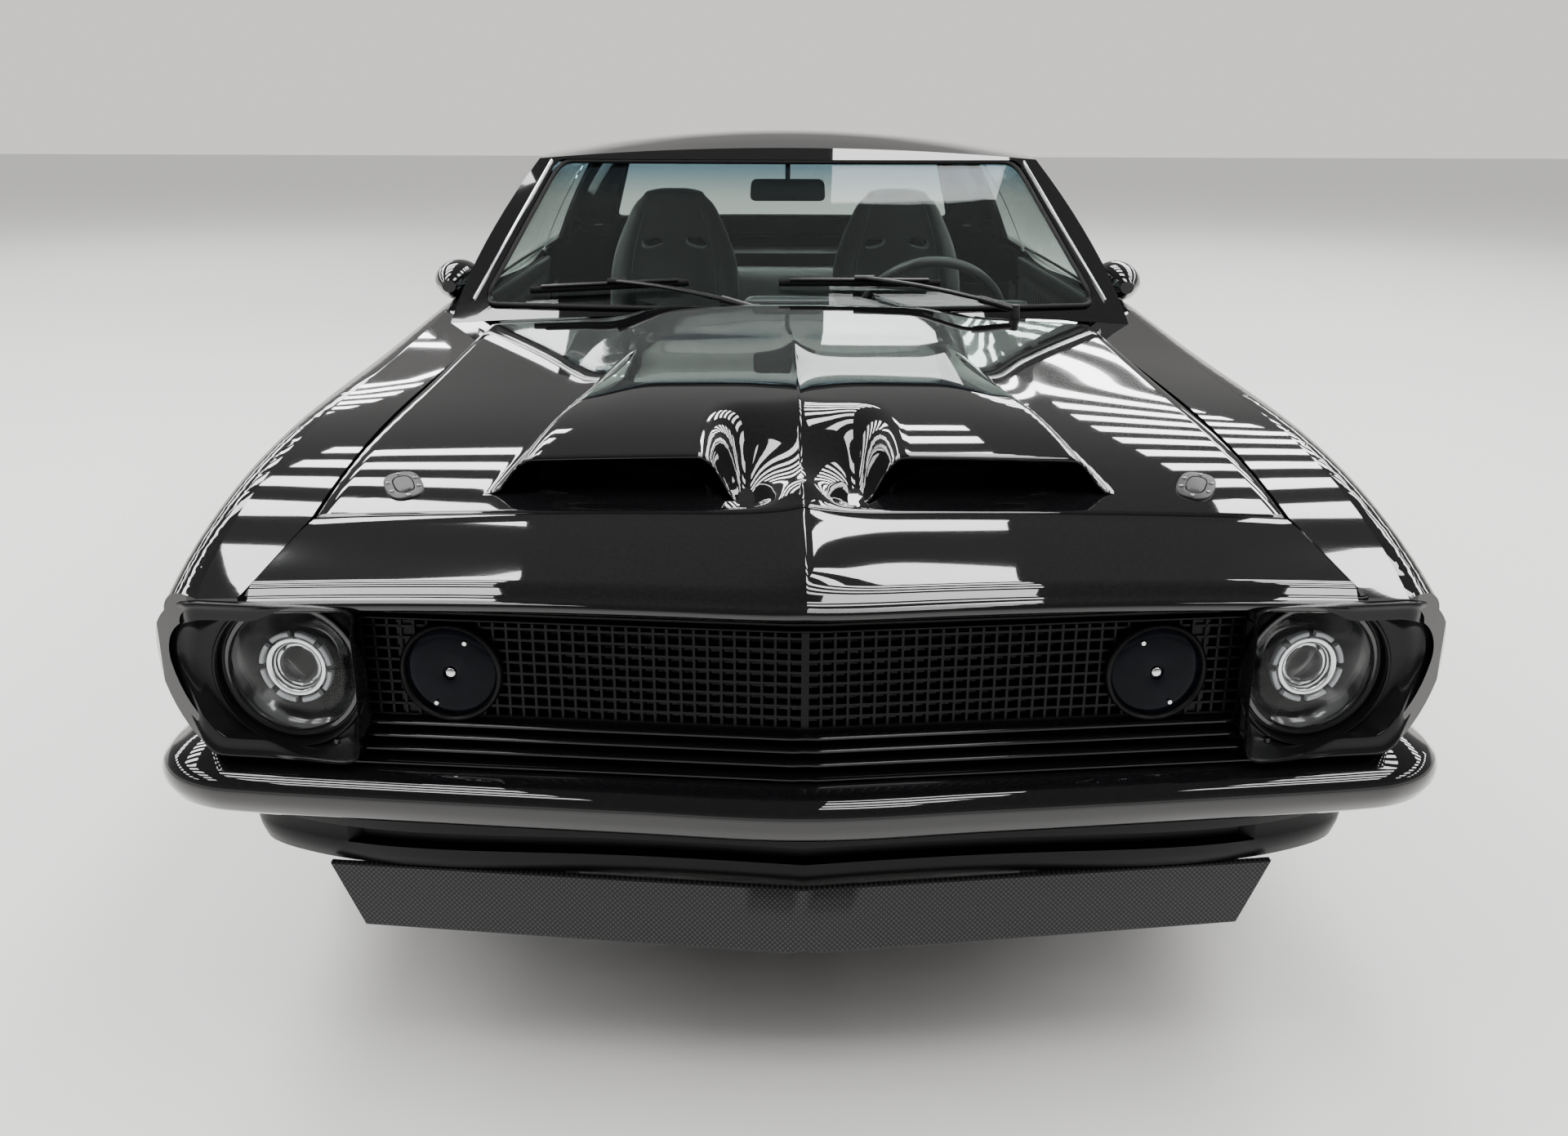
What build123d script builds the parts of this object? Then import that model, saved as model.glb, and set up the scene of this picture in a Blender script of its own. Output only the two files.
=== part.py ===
"""A two-door hardtop coupe of the late sixties, built up from its separate panels and running gear.

The car faces -Y, its left side is +X, and the origin lies on the floor under the middle of its length.
Sizes are in millimetres.
"""

from build123d import *
import os
from math import atan, cos, degrees, radians, sin

os.makedirs("parts", exist_ok=True)

# Overall sizes and running gear
LENGTH = 4690
HALF_WIDTH_LIMIT = 1000
WHEELBASE = 2746
FRONT_OVERHANG = 932
TRACK = 1500
FRONT_END = -LENGTH / 2
TAIL_END = LENGTH / 2
FRONT_AXLE = FRONT_END + FRONT_OVERHANG
REAR_AXLE = FRONT_AXLE + WHEELBASE
FRONT_TYRE_DIAMETER = 655
FRONT_TYRE_WIDTH = 245
REAR_TYRE_DIAMETER = 680
REAR_TYRE_WIDTH = 285
FRONT_HUB_HEIGHT = FRONT_TYRE_DIAMETER / 2
REAR_HUB_HEIGHT = REAR_TYRE_DIAMETER / 2
WHEEL_X = TRACK / 2
ARCH_RADIUS = 376
ARCH_RAISE = 12  # the arch centre above the hub

# Walls, gaps and clearances
SKIN = 22  # fenders, hood, nose and deck
QUARTER_WALL = 50
DOOR_WALL = 110
FRAME_DEPTH = 130
ROOF_WALL = 32
GLASS = 6
GLASS_INSET = 8
PANEL_GAP = 5
SEAT_GAP = 0.3  # a closed panel above the flange it shuts on
BEARING_GAP = 0.05

# Lower body, one section a row, from the nose to the tail. Columns: y, half width at the widest line and its
# height, half width and height of the shoulder, of the top edge, height of the crown on the centreline,
# half width and height of the sill.
BODY_SECTIONS = [
    (-2345, 850, 640, 826, 700, 770, 722, 748, 770, 540),
    (-2225, 872, 645, 850, 716, 800, 742, 776, 792, 512),
    (-1950, 890, 640, 868, 772, 812, 812, 832, 825, 330),
    (-1413, 905, 615, 880, 818, 800, 868, 890, 838, 210),
    (-700, 900, 600, 868, 842, 790, 912, 946, 838, 195),
    (0, 893, 590, 854, 846, 780, 922, 958, 838, 190),
    (600, 900, 600, 858, 868, 780, 936, 968, 838, 190),
    (1000, 915, 615, 870, 886, 775, 950, 975, 840, 200),
    (1333, 921, 625, 872, 882, 760, 946, 968, 845, 215),
    (1900, 900, 640, 850, 840, 735, 902, 928, 830, 330),
    (2290, 862, 650, 820, 788, 700, 848, 872, 800, 420),
]

# Cabin above the belt. Columns: y, half width and height at the belt, half width and height at the
# gutter over the side glass, height of the roof on the centreline.
CABIN_SECTIONS = [
    (-920, 752, 880, 648, 1196, 1214),
    (-330, 780, 880, 618, 1238, 1264),
    (100, 790, 880, 616, 1252, 1299),
    (600, 790, 880, 602, 1244, 1288),
    (1000, 772, 880, 574, 1206, 1246),
    (1500, 724, 880, 520, 1120, 1140),
]

# Glass planes, low and high. Columns: height, y on the centreline, y at the side, half width there.
SCREEN_RAKE = [(938, -888, -792, 730), (1262, -340, -306, 612)]
BACKLIGHT_RAKE = [(948, 1400, 1300, 660), (1250, 905, 868, 560)]

# Window openings: half width low and high, bottom and top height
SCREEN_OPENING = (700, 572, 930, 1236)
BACKLIGHT_OPENING = (612, 520, 975, 1218)
SIDE_WINDOW = [(-640, 900), (-292, 1216), (-180, 1232), (560, 1226), (690, 1200), (800, 975), (812, 900)]
GLASS_SPLIT = 546  # rear edge of the door glass
WINDOW_CORNER = 30

# Cut lines between the panels
DOOR_FRONT = -640
DOOR_REAR = 560
DOOR_BOTTOM = 250
DOOR_TAPER = 18  # the inner face of the door ends this far ahead of the outer
DOOR_INNER = 745  # half width inside the door's top rail
SILL_TOP = DOOR_BOTTOM - PANEL_GAP
COWL_FRONT = -915
COWL_REAR = -858
COWL_REAR_SIDE = -762
COWL_HALF = 704
HOOD_FRONT_MID = -2066
HOOD_FRONT_SIDE = -2036
HOOD_HALF_FRONT = 699
HOOD_HALF_REAR = 650
NOSE_HALF_FRONT = 764
NOSE_TIP = -2308
NOSE_SIDE = (812, -2226)
NOSE_CORNER = (905, -2150)
DECK_FRONT = 1440
DECK_REAR = 2232
DECK_HALF = 590
TAIL_FRONT = 2240
JAMB_INNER = 735
FLANGE = 32  # width of the gutter flanges under hood, deck and doors

# Front trim
NOSE_ANGLE = degrees(atan((NOSE_SIDE[1] - NOSE_TIP) / NOSE_SIDE[0]))
GRILLE_SET_BACK = 46
GRILLE_HALF = 546
GRILLE_LOW = 506
GRILLE_HIGH = 738
GRILLE_DEPTH = 22
CELL_WIDTH = 18
CELL_HEIGHT = 16
CELL_COLUMNS = 29
CELL_ROWS = 9
BAR = 3.5
CELLS_MIDDLE = 642
RIB_SLOTS = (517, 535, 553, 724)
RIB_SLOT = 12
LAMP_X = 698
LAMP_Z = 625
LAMP_RADIUS = 98
LENS_RADIUS = 87
DRIVING_LAMP_X = 474
DRIVING_LAMP_Z = 636
DRIVING_LAMP_RADIUS = 66
BEZEL_DEPTH = 26
BEZEL_SET_BACK = 30
HEADLAMP_DEPTH = 120
DRIVING_LAMP_DEPTH = 70
DRIVING_LAMP_PROUD = 8

# Hood scoops, one section a row. Columns: y, outer and inner half width at the base, outer and inner half
# width on top, height of the base and of the top.
SCOOP_SECTIONS = [
    (-1988, 466, 88, 388, 142, 806, 880),
    (-1720, 408, 72, 352, 112, 838, 900),
    (-1450, 350, 58, 318, 96, 864, 908),
    (-1200, 300, 48, 288, 80, 880, 911),
]
SCOOP_WALL = 9
SCOOP_DEPTH = 260

# Cowl, lamps in the tail and door handles
COWL_DROP = 14
COWL_WALL = 18
COWL_VENTS = (-390, 0, 390)
COWL_VENT_LENGTH = 330
TAIL_LAMP_X = 560
TAIL_LAMP_Z = 690
TAIL_LAMP_WIDTH = 380
TAIL_LAMP_HEIGHT = 120
LAMP_FIT = 0.5
PLATE_SPACING = 178
PLATE_Z = 660
PLATE_HOLE = 3.2
HANDLE_X = 888
HANDLE_Y = 455
HANDLE_Z = 800
HANDLE_REACH = 44
HANDLE_LENGTH = 150
HANDLE_HEIGHT = 26

# Floor, firewall and frame
FLOOR = 205
FLOOR_WALL = 10
FIREWALL = -880
FLOOR_REAR = 640
TUNNEL_HALF = 130
TUNNEL_HEIGHT = 190
TUNNEL_WALL = 8
HEEL = 330
STEP_Y = 900
TRUNK_FLOOR = 470
SHELF_TOP = 862
BULKHEAD = 1180
TRUNK_END = 2236
ROCKER_INNER = 690
FOOTWELL_HALF = 680
WHEELHOUSE_X = 592
GLASS_MEETING = 10
APRON_X = 436
APRON_WALL = 8
APRON_LOW = 300
SHELF = 692
BAY_FRONT = -2120

# Under the car
AXLE_TUBE = 38
DIFF_RADIUS = 125
AXLE_END = 640
SPRING_X = 470
SPRING_WIDTH = 60
SPRING_HEIGHT = 32
SPRING_FRONT = 800
SPRING_REAR = 1960
RAIL_WIDTH = 70
RAIL_LOW = 225
RAIL_HIGH = 300
ENGINE = (500, 620, 430)
ENGINE_Y = -1420
ENGINE_LOW = 330
PIPE_RADIUS = 28
PIPE_X = 215
PIPE_Z = 165
SHAFT_RADIUS = 36
TANK = (760, 400, 170)
TANK_Y = 1930

SPRING_LOW = 262
SHAFT_Z = 290
GEARBOX_RADIUS = 80
GEARBOX_LENGTH = 520
PIPE_FRONT = -1180
PIPE_REAR = 2270
PIPE_RISE = (1560, 1700)  # where the tail pipes climb to their height under the tank
TAIL_PIPE_Z = 258

# Inside the cabin. Wipers: pivot and blade tip across the car.
WIPER_SPANS = [(-75, -560), (485, 20)]
WIPER_Y = -896
WIPER_Z = 948
INSIDE_MIRROR_Y = -235
INSIDE_MIRROR_Z = 1150
COLUMN_GAP = 36.3
COLUMN_LENGTH = 330
CONSOLE_REAR = 240
SEAT_X = 325
SEAT_WIDTH = 388
SEAT_CUSHION_TOP = 420
SEAT_FRONT = -330
SEAT_HINGE = 130
SEAT_TOP = 1135
SEAT_LEAN = 14
REAR_SEAT_FRONT = 660
REAR_SEAT_HALF = 560
DASH_HALF = 690
DASH_FRONT = -868
DASH_STEP = -752
DASH_REAR = -660
DASH_LOW = 690
DASH_TOP = 915
COLUMN_X = 350
COLUMN_TILT = 24
STEERING_WHEEL_RADIUS = 178
STEERING_WHEEL_TUBE = 13
STEERING_WHEEL_Y = -500
STEERING_WHEEL_Z = 846

# Bumpers: plan of the centre line (half width, y) and section
FRONT_BUMPER_PLAN = [(0, -2303), (800, -2214), (868, -2130), (866, -1990)]
FRONT_BUMPER_BEND = 60
BUMPER_TIP_Y = FRONT_BUMPER_PLAN[-1][1]
BUMPER_TOP = 512
BUMPER_LOW = 436
REAR_BUMPER_PLAN = [(0, 2303), (800, 2268), (864, 2190), (872, 2040)]
BUMPER_SECTION = [(-38, 455), (-42, 470), (-34, 486), (28, 512), (36, 504), (36, 446), (20, 436), (-24, 436)]
REAR_BUMPER_RAISE = 40

# Under the nose and the tail. Valances: half width and y of the outline, then the shift to the inner face.
# Spoiler rows: height, y of the tip, half width and y of the end.
VALANCE_PLAN = [(0, -2290), (640, -2222), (790, -2150), (826, -1990)]
VALANCE_SHIFT = [(0, 14), (2, 14), (12, 10), (14, 0)]
REAR_VALANCE_PLAN = [(0, 2278), (640, 2262), (770, 2215), (826, 2042)]
REAR_VALANCE_HEIGHTS = (330, 470)
SPOILER_TOP = 340
SPOILER_WALL = 12
SPOILER_ROWS = [(247, -2300, 622, -2222), (SPOILER_TOP, -2286, 668, -2210)]

# Mirrors on the doors
MIRROR_X = 820
MIRROR_Y = -400
MIRROR_Z = 948
MIRROR_LENGTH = 150
MIRROR_HALF_WIDTH = 54
MIRROR_HALF_HEIGHT = 48

# Front suspension and steering
KINGPIN_X = 664
SPINDLE_RADIUS = 24
SPINDLE_END = 810
HUB_RADIUS = 78
STEERING_ARM = 152
KINGPIN_RADIUS = 14
LOWER_ARM_Z = 242
UPPER_ARM_Z = 418
RAIL_X = 378

# Wheels
RIM_RADIUS = 229
RIM_HALF_WIDTH = 112
RIM_LIP = 14
SPOKES = 5
RIM_WALL = 9
RIM_LIP_WALL = 8
BEAD_FIT = 0.2
SPOKE_FACE = 66
SPOKE_DEPTH = 34
SPOKE_WIDTH = 58
DISC_WALL = 24
LUG_CIRCLE = 60.5
LUG_RADIUS = 12
LUG_HEIGHT = 16
DISC_RADIUS = 165
DISC_X = -38  # from the wheel's middle plane


def body_envelope(inset, first=0):
    """The left half of the lower body, drawn inside its outer skin by the inset, from its first section."""
    with BuildPart() as envelope:
        for y, x_wide, z_wide, x_side, z_side, x_edge, z_edge, z_crown, x_sill, z_sill in BODY_SECTIONS[first:]:
            sill = (x_sill - inset, z_sill + inset)
            wide = (x_wide - inset, z_wide)
            side = (x_side - inset, z_side - 0.6 * inset)
            edge = (x_edge - 0.7 * inset, z_edge - inset)
            with BuildSketch(Plane.XZ.offset(-y)):
                with BuildLine():
                    Line((0, sill[1]), sill)
                    SagittaArc(sill, wide, -14)
                    SagittaArc(wide, side, -9)
                    SagittaArc(side, edge, -16)
                    SagittaArc(edge, (0, z_crown - inset), (z_edge - z_crown) / 4)
                    Line((0, z_crown - inset), (0, sill[1]))
                make_face()
        loft()
    return envelope.part


def raked(rake, height):
    """The centre y, side y and half width of a raked glass plane at any height."""
    low, high = rake
    share = (height - low[0]) / (high[0] - low[0])
    return [a + share * (b - a) for a, b in zip(low[1:], high[1:])]


def behind_glass(rake, inset, toward):
    """All that lies on the cabin's side of a raked, bowed glass plane. Toward is +1 for the front screen."""
    low, high = rake
    slope = atan((high[0] - low[0]) / abs(high[1] - low[1]))
    shift = toward * inset / sin(slope)
    reach = 1.6
    with BuildPart() as region:
        for height in (820, 1360):
            middle, side, half = raked(rake, height)
            bow = (side - middle) * reach**2
            left = (-half * reach, middle + bow + shift)
            right = (half * reach, middle + bow + shift)
            far = toward * LENGTH
            with BuildSketch(Plane.XY.offset(height)):
                with BuildLine():
                    ThreePointArc(left, (0, middle + shift), right)
                    Polyline(right, (right[0], far), (left[0], far), left)
                make_face()
        loft(ruled=True)
    return region.part


def cabin_envelope(inset):
    """The left half of the cabin above the belt, between the two raked glass planes."""
    screen = behind_glass(SCREEN_RAKE, inset, 1)
    backlight = behind_glass(BACKLIGHT_RAKE, inset, -1)
    with BuildPart() as envelope:
        for y, x_belt, z_belt, x_gutter, z_gutter, z_roof in CABIN_SECTIONS:
            belt = (x_belt - inset, z_belt)
            gutter = (x_gutter - inset, z_gutter - inset)
            with BuildSketch(Plane.XZ.offset(-y)):
                with BuildLine():
                    Line((0, z_belt), belt)
                    SagittaArc(belt, gutter, -16)
                    SagittaArc(gutter, (0, z_roof - inset), (z_gutter - z_roof) / 4)
                    Line((0, z_roof - inset), (0, z_belt))
                make_face()
        loft()
        add(screen, mode=Mode.INTERSECT)
        add(backlight, mode=Mode.INTERSECT)
    return envelope.part


def plan_block(points, low, high):
    """An upright block whose outline is seen from above."""
    with BuildPart() as block:
        with BuildSketch(Plane.XY.offset(low)):
            with BuildLine():
                Polyline(*points, close=True)
            make_face()
        extrude(amount=high - low)
    return block.part


def side_block(points, inner, outer, corner=0):
    """A block across the car whose outline (y, z) is seen from the left side."""
    with BuildPart() as block:
        with BuildSketch(Plane.YZ.offset(inner)) as outline:
            with BuildLine():
                Polyline(*points, close=True)
            make_face()
            if corner:
                fillet(outline.vertices(), corner)
        extrude(amount=outer - inner)
    return block.part


def front_block(points, near, far, corner=0):
    """A block along the car whose outline (x, z) is seen from the front, from near (more -Y) to far."""
    with BuildPart() as block:
        with BuildSketch(Plane.XZ.offset(-near)) as outline:
            with BuildLine():
                Polyline(*points, close=True)
            make_face()
            if corner:
                fillet(outline.vertices(), corner)
        extrude(amount=near - far)
    return block.part


def block(x, y, z):
    """A plain block from its low and high limits along each axis."""
    with BuildPart() as made:
        with Locations(((x[0] + x[1]) / 2, (y[0] + y[1]) / 2, (z[0] + z[1]) / 2)):
            Box(x[1] - x[0], y[1] - y[0], z[1] - z[0])
    return made.part


def cross_cylinder(radius, y, z, x_low, x_high):
    """A cylinder whose axis runs across the car."""
    with BuildPart() as made:
        with BuildSketch(Plane.YZ.offset(x_low)):
            with Locations((y, z)):
                Circle(radius)
        extrude(amount=x_high - x_low)
    return made.part


def save(builder, name):
    """Labels a finished piece and writes it as its own file."""
    builder.part.label = name
    export_step(builder.part, f"parts/{name}.step")


# Shared forms: the skins' outer and inner faces
outer = body_envelope(0)
under_skin = body_envelope(SKIN)
skin_seat = body_envelope(SKIN + SEAT_GAP)
under_quarter = body_envelope(QUARTER_WALL, 2)
under_door = body_envelope(DOOR_WALL, 2)
door_seat = body_envelope(DOOR_WALL + SEAT_GAP, 2)
frame_core = body_envelope(FRAME_DEPTH, 2)
above_body = body_envelope(-SEAT_GAP)
FRONT_ARCH_Z = FRONT_HUB_HEIGHT + ARCH_RAISE
REAR_ARCH_Z = REAR_HUB_HEIGHT + ARCH_RAISE
front_arch = cross_cylinder(ARCH_RADIUS, FRONT_AXLE, FRONT_ARCH_Z, -HALF_WIDTH_LIMIT, HALF_WIDTH_LIMIT)
rear_arch = cross_cylinder(ARCH_RADIUS, REAR_AXLE, REAR_ARCH_Z, -HALF_WIDTH_LIMIT, HALF_WIDTH_LIMIT)
HALF_GAP = PANEL_GAP / 2

# The nose ends in a shallow vee seen from above
nose_outline = [
    (0, NOSE_TIP),
    NOSE_SIDE,
    (868, -2200),
    NOSE_CORNER,
    (HALF_WIDTH_LIMIT, NOSE_CORNER[1]),
    (HALF_WIDTH_LIMIT, TAIL_END),
    (-HALF_WIDTH_LIMIT, TAIL_END),
    (-HALF_WIDTH_LIMIT, NOSE_CORNER[1]),
    (-NOSE_CORNER[0], NOSE_CORNER[1]),
    (-868, -2200),
    (-NOSE_SIDE[0], NOSE_SIDE[1]),
]
behind_nose = plan_block(nose_outline, 0, 1400)

# Front fenders
fender_outline = [
    (NOSE_HALF_FRONT + HALF_GAP, FRONT_END),
    (HOOD_HALF_FRONT + HALF_GAP, HOOD_FRONT_SIDE),
    (HOOD_HALF_REAR + HALF_GAP, COWL_FRONT),
    (COWL_HALF + 2, -800),
    (DOOR_INNER + 10, DOOR_FRONT - HALF_GAP),
    (HALF_WIDTH_LIMIT, DOOR_FRONT - HALF_GAP),
    (HALF_WIDTH_LIMIT, FRONT_END),
]
fender_region = plan_block(fender_outline, 150, 1100)
above_bumper = block((0, HALF_WIDTH_LIMIT), (FRONT_END - 10, BUMPER_TIP_Y + PANEL_GAP), (0, BUMPER_TOP + PANEL_GAP))
with BuildPart() as front_fenders:
    add(outer)
    add(fender_region, mode=Mode.INTERSECT)
    add(behind_nose, mode=Mode.INTERSECT)
    add(under_skin, mode=Mode.SUBTRACT)
    add(front_arch, mode=Mode.SUBTRACT)
    add(above_bumper, mode=Mode.SUBTRACT)
    mirror(about=Plane.YZ)
save(front_fenders, "front_fenders")

# Nose panel between the hood and the grille
nose_region = plan_block(
    [
        (0, HOOD_FRONT_MID - HALF_GAP),
        (HOOD_HALF_FRONT - HALF_GAP, HOOD_FRONT_SIDE - HALF_GAP),
        (NOSE_HALF_FRONT - HALF_GAP, FRONT_END),
        (-NOSE_HALF_FRONT + HALF_GAP, FRONT_END),
        (-HOOD_HALF_FRONT + HALF_GAP, HOOD_FRONT_SIDE - HALF_GAP),
    ],
    GRILLE_LOW + 150,
    1100,
)
with BuildPart() as nose_panel:
    add(outer)
    add(nose_region, mode=Mode.INTERSECT)
    add(behind_nose, mode=Mode.INTERSECT)
    add(under_skin, mode=Mode.SUBTRACT)
    mirror(about=Plane.YZ)
save(nose_panel, "nose_panel")

# Hood with its two open scoops
hood_region = plan_block(
    [
        (0, HOOD_FRONT_MID + HALF_GAP),
        (HOOD_HALF_FRONT - HALF_GAP, HOOD_FRONT_SIDE + HALF_GAP),
        (HOOD_HALF_REAR - HALF_GAP, COWL_FRONT - PANEL_GAP),
        (-HOOD_HALF_REAR + HALF_GAP, COWL_FRONT - PANEL_GAP),
        (-HOOD_HALF_FRONT + HALF_GAP, HOOD_FRONT_SIDE + HALF_GAP),
    ],
    600,
    1100,
)


def scoop_form(wall):
    """One scoop, lofted along the hood, drawn inside its outer face by the wall."""
    with BuildPart() as scoop:
        for y, out_low, in_low, out_high, in_high, low, high in SCOOP_SECTIONS:
            with BuildSketch(Plane.XZ.offset(-y)):
                with BuildLine():
                    Polyline((in_low + wall, low), (in_high + wall, high - wall))
                    SagittaArc((in_high + wall, high - wall), (out_high - wall, high - wall), -6)
                    Polyline((out_high - wall, high - wall), (out_low - wall, low), (in_low + wall, low))
                make_face()
        loft(ruled=True)
    return scoop.part


scoop_mouth = scoop_form(SCOOP_WALL)
scoop_outside = scoop_form(0)
mouth_reach = block(
    (0, SCOOP_SECTIONS[0][1]),
    (SCOOP_SECTIONS[0][0] - 10, SCOOP_SECTIONS[0][0] + SCOOP_DEPTH),
    (700, 1000),
)
with BuildPart() as mouth:
    add(scoop_mouth)
    add(mouth_reach, mode=Mode.INTERSECT)
with BuildPart() as hood_half:
    add(outer)
    add(hood_region, mode=Mode.INTERSECT)
    add(under_skin, mode=Mode.SUBTRACT)
    add(scoop_outside)
    add(hood_region, mode=Mode.INTERSECT)
    add(mouth.part, mode=Mode.SUBTRACT)
with BuildPart() as hood:
    add(hood_half.part)
    mirror(about=Plane.YZ)
save(hood, "hood")

# Cowl between the hood and the windshield, set below the hood's surface
cowl_region = plan_block(
    [
        (0, COWL_FRONT),
        (HOOD_HALF_REAR, COWL_FRONT),
        (COWL_HALF, -800),
        (COWL_HALF, COWL_REAR_SIDE),
        (0, COWL_REAR),
        (-COWL_HALF, COWL_REAR_SIDE),
        (-COWL_HALF, -800),
        (-HOOD_HALF_REAR, COWL_FRONT),
    ],
    600,
    1100,
)
with BuildPart() as cowl_panel:
    add(body_envelope(COWL_DROP))
    add(cowl_region, mode=Mode.INTERSECT)
    add(body_envelope(COWL_DROP + COWL_WALL), mode=Mode.SUBTRACT)
    with BuildSketch(Plane.XY.offset(1000)):
        with Locations(*[(x, COWL_FRONT + 42) for x in COWL_VENTS]):
            SlotOverall(COWL_VENT_LENGTH, 26)
    extrude(amount=-300, mode=Mode.SUBTRACT)
    mirror(about=Plane.YZ)
save(cowl_panel, "cowl_panel")

# Rear quarters with the strip between the backlight and the trunk lid, in one piece
quarter_outline = [
    (DOOR_INNER + 10, DOOR_REAR + HALF_GAP),
    (DOOR_INNER + 10, 1000),
    (BACKLIGHT_OPENING[0] + 20, 1290),
    (0, 1385),
    (0, DECK_FRONT - HALF_GAP),
    (DECK_HALF + HALF_GAP, DECK_FRONT - HALF_GAP),
    (DECK_HALF + HALF_GAP, TAIL_FRONT),
    (HALF_WIDTH_LIMIT, TAIL_FRONT),
    (HALF_WIDTH_LIMIT, DOOR_REAR + HALF_GAP),
]
quarter_region = plan_block(quarter_outline, 150, 1100)
below_rear_bumper = block(
    (0, HALF_WIDTH_LIMIT),
    (REAR_BUMPER_PLAN[-1][1] - PANEL_GAP, TAIL_END + 10),
    (0, BUMPER_TOP + REAR_BUMPER_RAISE + PANEL_GAP),
)
with BuildPart() as quarter_panels:
    add(outer)
    add(quarter_region, mode=Mode.INTERSECT)
    add(under_quarter, mode=Mode.SUBTRACT)
    add(rear_arch, mode=Mode.SUBTRACT)
    add(below_rear_bumper, mode=Mode.SUBTRACT)
    mirror(about=Plane.YZ)
save(quarter_panels, "quarter_panels")

# Tail panel with the pockets for the lamps
tail_region = plan_block(
    [
        (-HALF_WIDTH_LIMIT, TAIL_FRONT),
        (HALF_WIDTH_LIMIT, TAIL_FRONT),
        (HALF_WIDTH_LIMIT, TAIL_END),
        (-HALF_WIDTH_LIMIT, TAIL_END),
    ],
    BUMPER_TOP + REAR_BUMPER_RAISE + PANEL_GAP,
    1100,
)
with BuildPart() as tail_panel:
    add(outer)
    add(tail_region, mode=Mode.INTERSECT)
    with BuildSketch(Plane.XZ.offset(-TAIL_END)):
        with Locations(*[(x, TAIL_LAMP_Z) for x in (-TAIL_LAMP_X, TAIL_LAMP_X)]):
            RectangleRounded(TAIL_LAMP_WIDTH, TAIL_LAMP_HEIGHT, 20)
        with Locations(*[(side * PLATE_SPACING / 2, PLATE_Z) for side in (-1, 1)]):
            Circle(PLATE_HOLE)
    extrude(amount=200, mode=Mode.SUBTRACT)
    mirror(about=Plane.YZ)
save(tail_panel, "tail_panel")

with BuildPart() as tail_lamps:
    add(outer)
    lamp_fill = front_block(
        [
            (TAIL_LAMP_X - TAIL_LAMP_WIDTH / 2 + LAMP_FIT, TAIL_LAMP_Z - TAIL_LAMP_HEIGHT / 2 + LAMP_FIT),
            (TAIL_LAMP_X + TAIL_LAMP_WIDTH / 2 - LAMP_FIT, TAIL_LAMP_Z - TAIL_LAMP_HEIGHT / 2 + LAMP_FIT),
            (TAIL_LAMP_X + TAIL_LAMP_WIDTH / 2 - LAMP_FIT, TAIL_LAMP_Z + TAIL_LAMP_HEIGHT / 2 - LAMP_FIT),
            (TAIL_LAMP_X - TAIL_LAMP_WIDTH / 2 + LAMP_FIT, TAIL_LAMP_Z + TAIL_LAMP_HEIGHT / 2 - LAMP_FIT),
        ],
        TAIL_FRONT,
        TAIL_END,
        20 - LAMP_FIT,
    )
    add(lamp_fill, mode=Mode.INTERSECT)
    mirror(about=Plane.YZ)
save(tail_lamps, "tail_lamps")

# Trunk lid
deck_region = plan_block(
    [
        (-DECK_HALF + HALF_GAP, DECK_FRONT + HALF_GAP),
        (DECK_HALF - HALF_GAP, DECK_FRONT + HALF_GAP),
        (DECK_HALF - HALF_GAP, DECK_REAR - HALF_GAP),
        (-DECK_HALF + HALF_GAP, DECK_REAR - HALF_GAP),
    ],
    700,
    1100,
)
with BuildPart() as trunk_lid:
    add(outer)
    add(deck_region, mode=Mode.INTERSECT)
    add(under_skin, mode=Mode.SUBTRACT)
    mirror(about=Plane.YZ)
save(trunk_lid, "trunk_lid")

# Doors, tapered at the rear so that they swing clear
door_outline = [
    (DOOR_INNER, DOOR_FRONT + HALF_GAP),
    (HALF_WIDTH_LIMIT, DOOR_FRONT + HALF_GAP),
    (HALF_WIDTH_LIMIT, DOOR_REAR - HALF_GAP),
    (DOOR_INNER + DOOR_WALL, DOOR_REAR - HALF_GAP),
    (DOOR_INNER, DOOR_REAR - HALF_GAP - DOOR_TAPER),
]
door_plan = plan_block(door_outline, DOOR_BOTTOM, 1100)
with BuildPart() as door_left:
    add(outer)
    add(door_plan, mode=Mode.INTERSECT)
    add(under_door, mode=Mode.SUBTRACT)
    with Locations((HANDLE_X, HANDLE_Y, HANDLE_Z)):
        Box(HANDLE_REACH, HANDLE_LENGTH, HANDLE_HEIGHT)
save(door_left, "door_left")
with BuildPart() as door_right:
    add(mirror(door_left.part, about=Plane.YZ, mode=Mode.PRIVATE))
save(door_right, "door_right")

# Cabin: roof, pillars and windows
cabin_outside = cabin_envelope(0)
cabin_inside = cabin_envelope(ROOF_WALL)
screen_hole = front_block(
    [
        (-SCREEN_OPENING[0], SCREEN_OPENING[2]),
        (SCREEN_OPENING[0], SCREEN_OPENING[2]),
        (SCREEN_OPENING[1], SCREEN_OPENING[3]),
        (-SCREEN_OPENING[1], SCREEN_OPENING[3]),
    ],
    -1100,
    -250,
    WINDOW_CORNER,
)
backlight_hole = front_block(
    [
        (-BACKLIGHT_OPENING[0], BACKLIGHT_OPENING[2]),
        (BACKLIGHT_OPENING[0], BACKLIGHT_OPENING[2]),
        (BACKLIGHT_OPENING[1], BACKLIGHT_OPENING[3]),
        (-BACKLIGHT_OPENING[1], BACKLIGHT_OPENING[3]),
    ],
    850,
    1500,
    WINDOW_CORNER,
)
side_hole = side_block(SIDE_WINDOW, -HALF_WIDTH_LIMIT, HALF_WIDTH_LIMIT)
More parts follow.
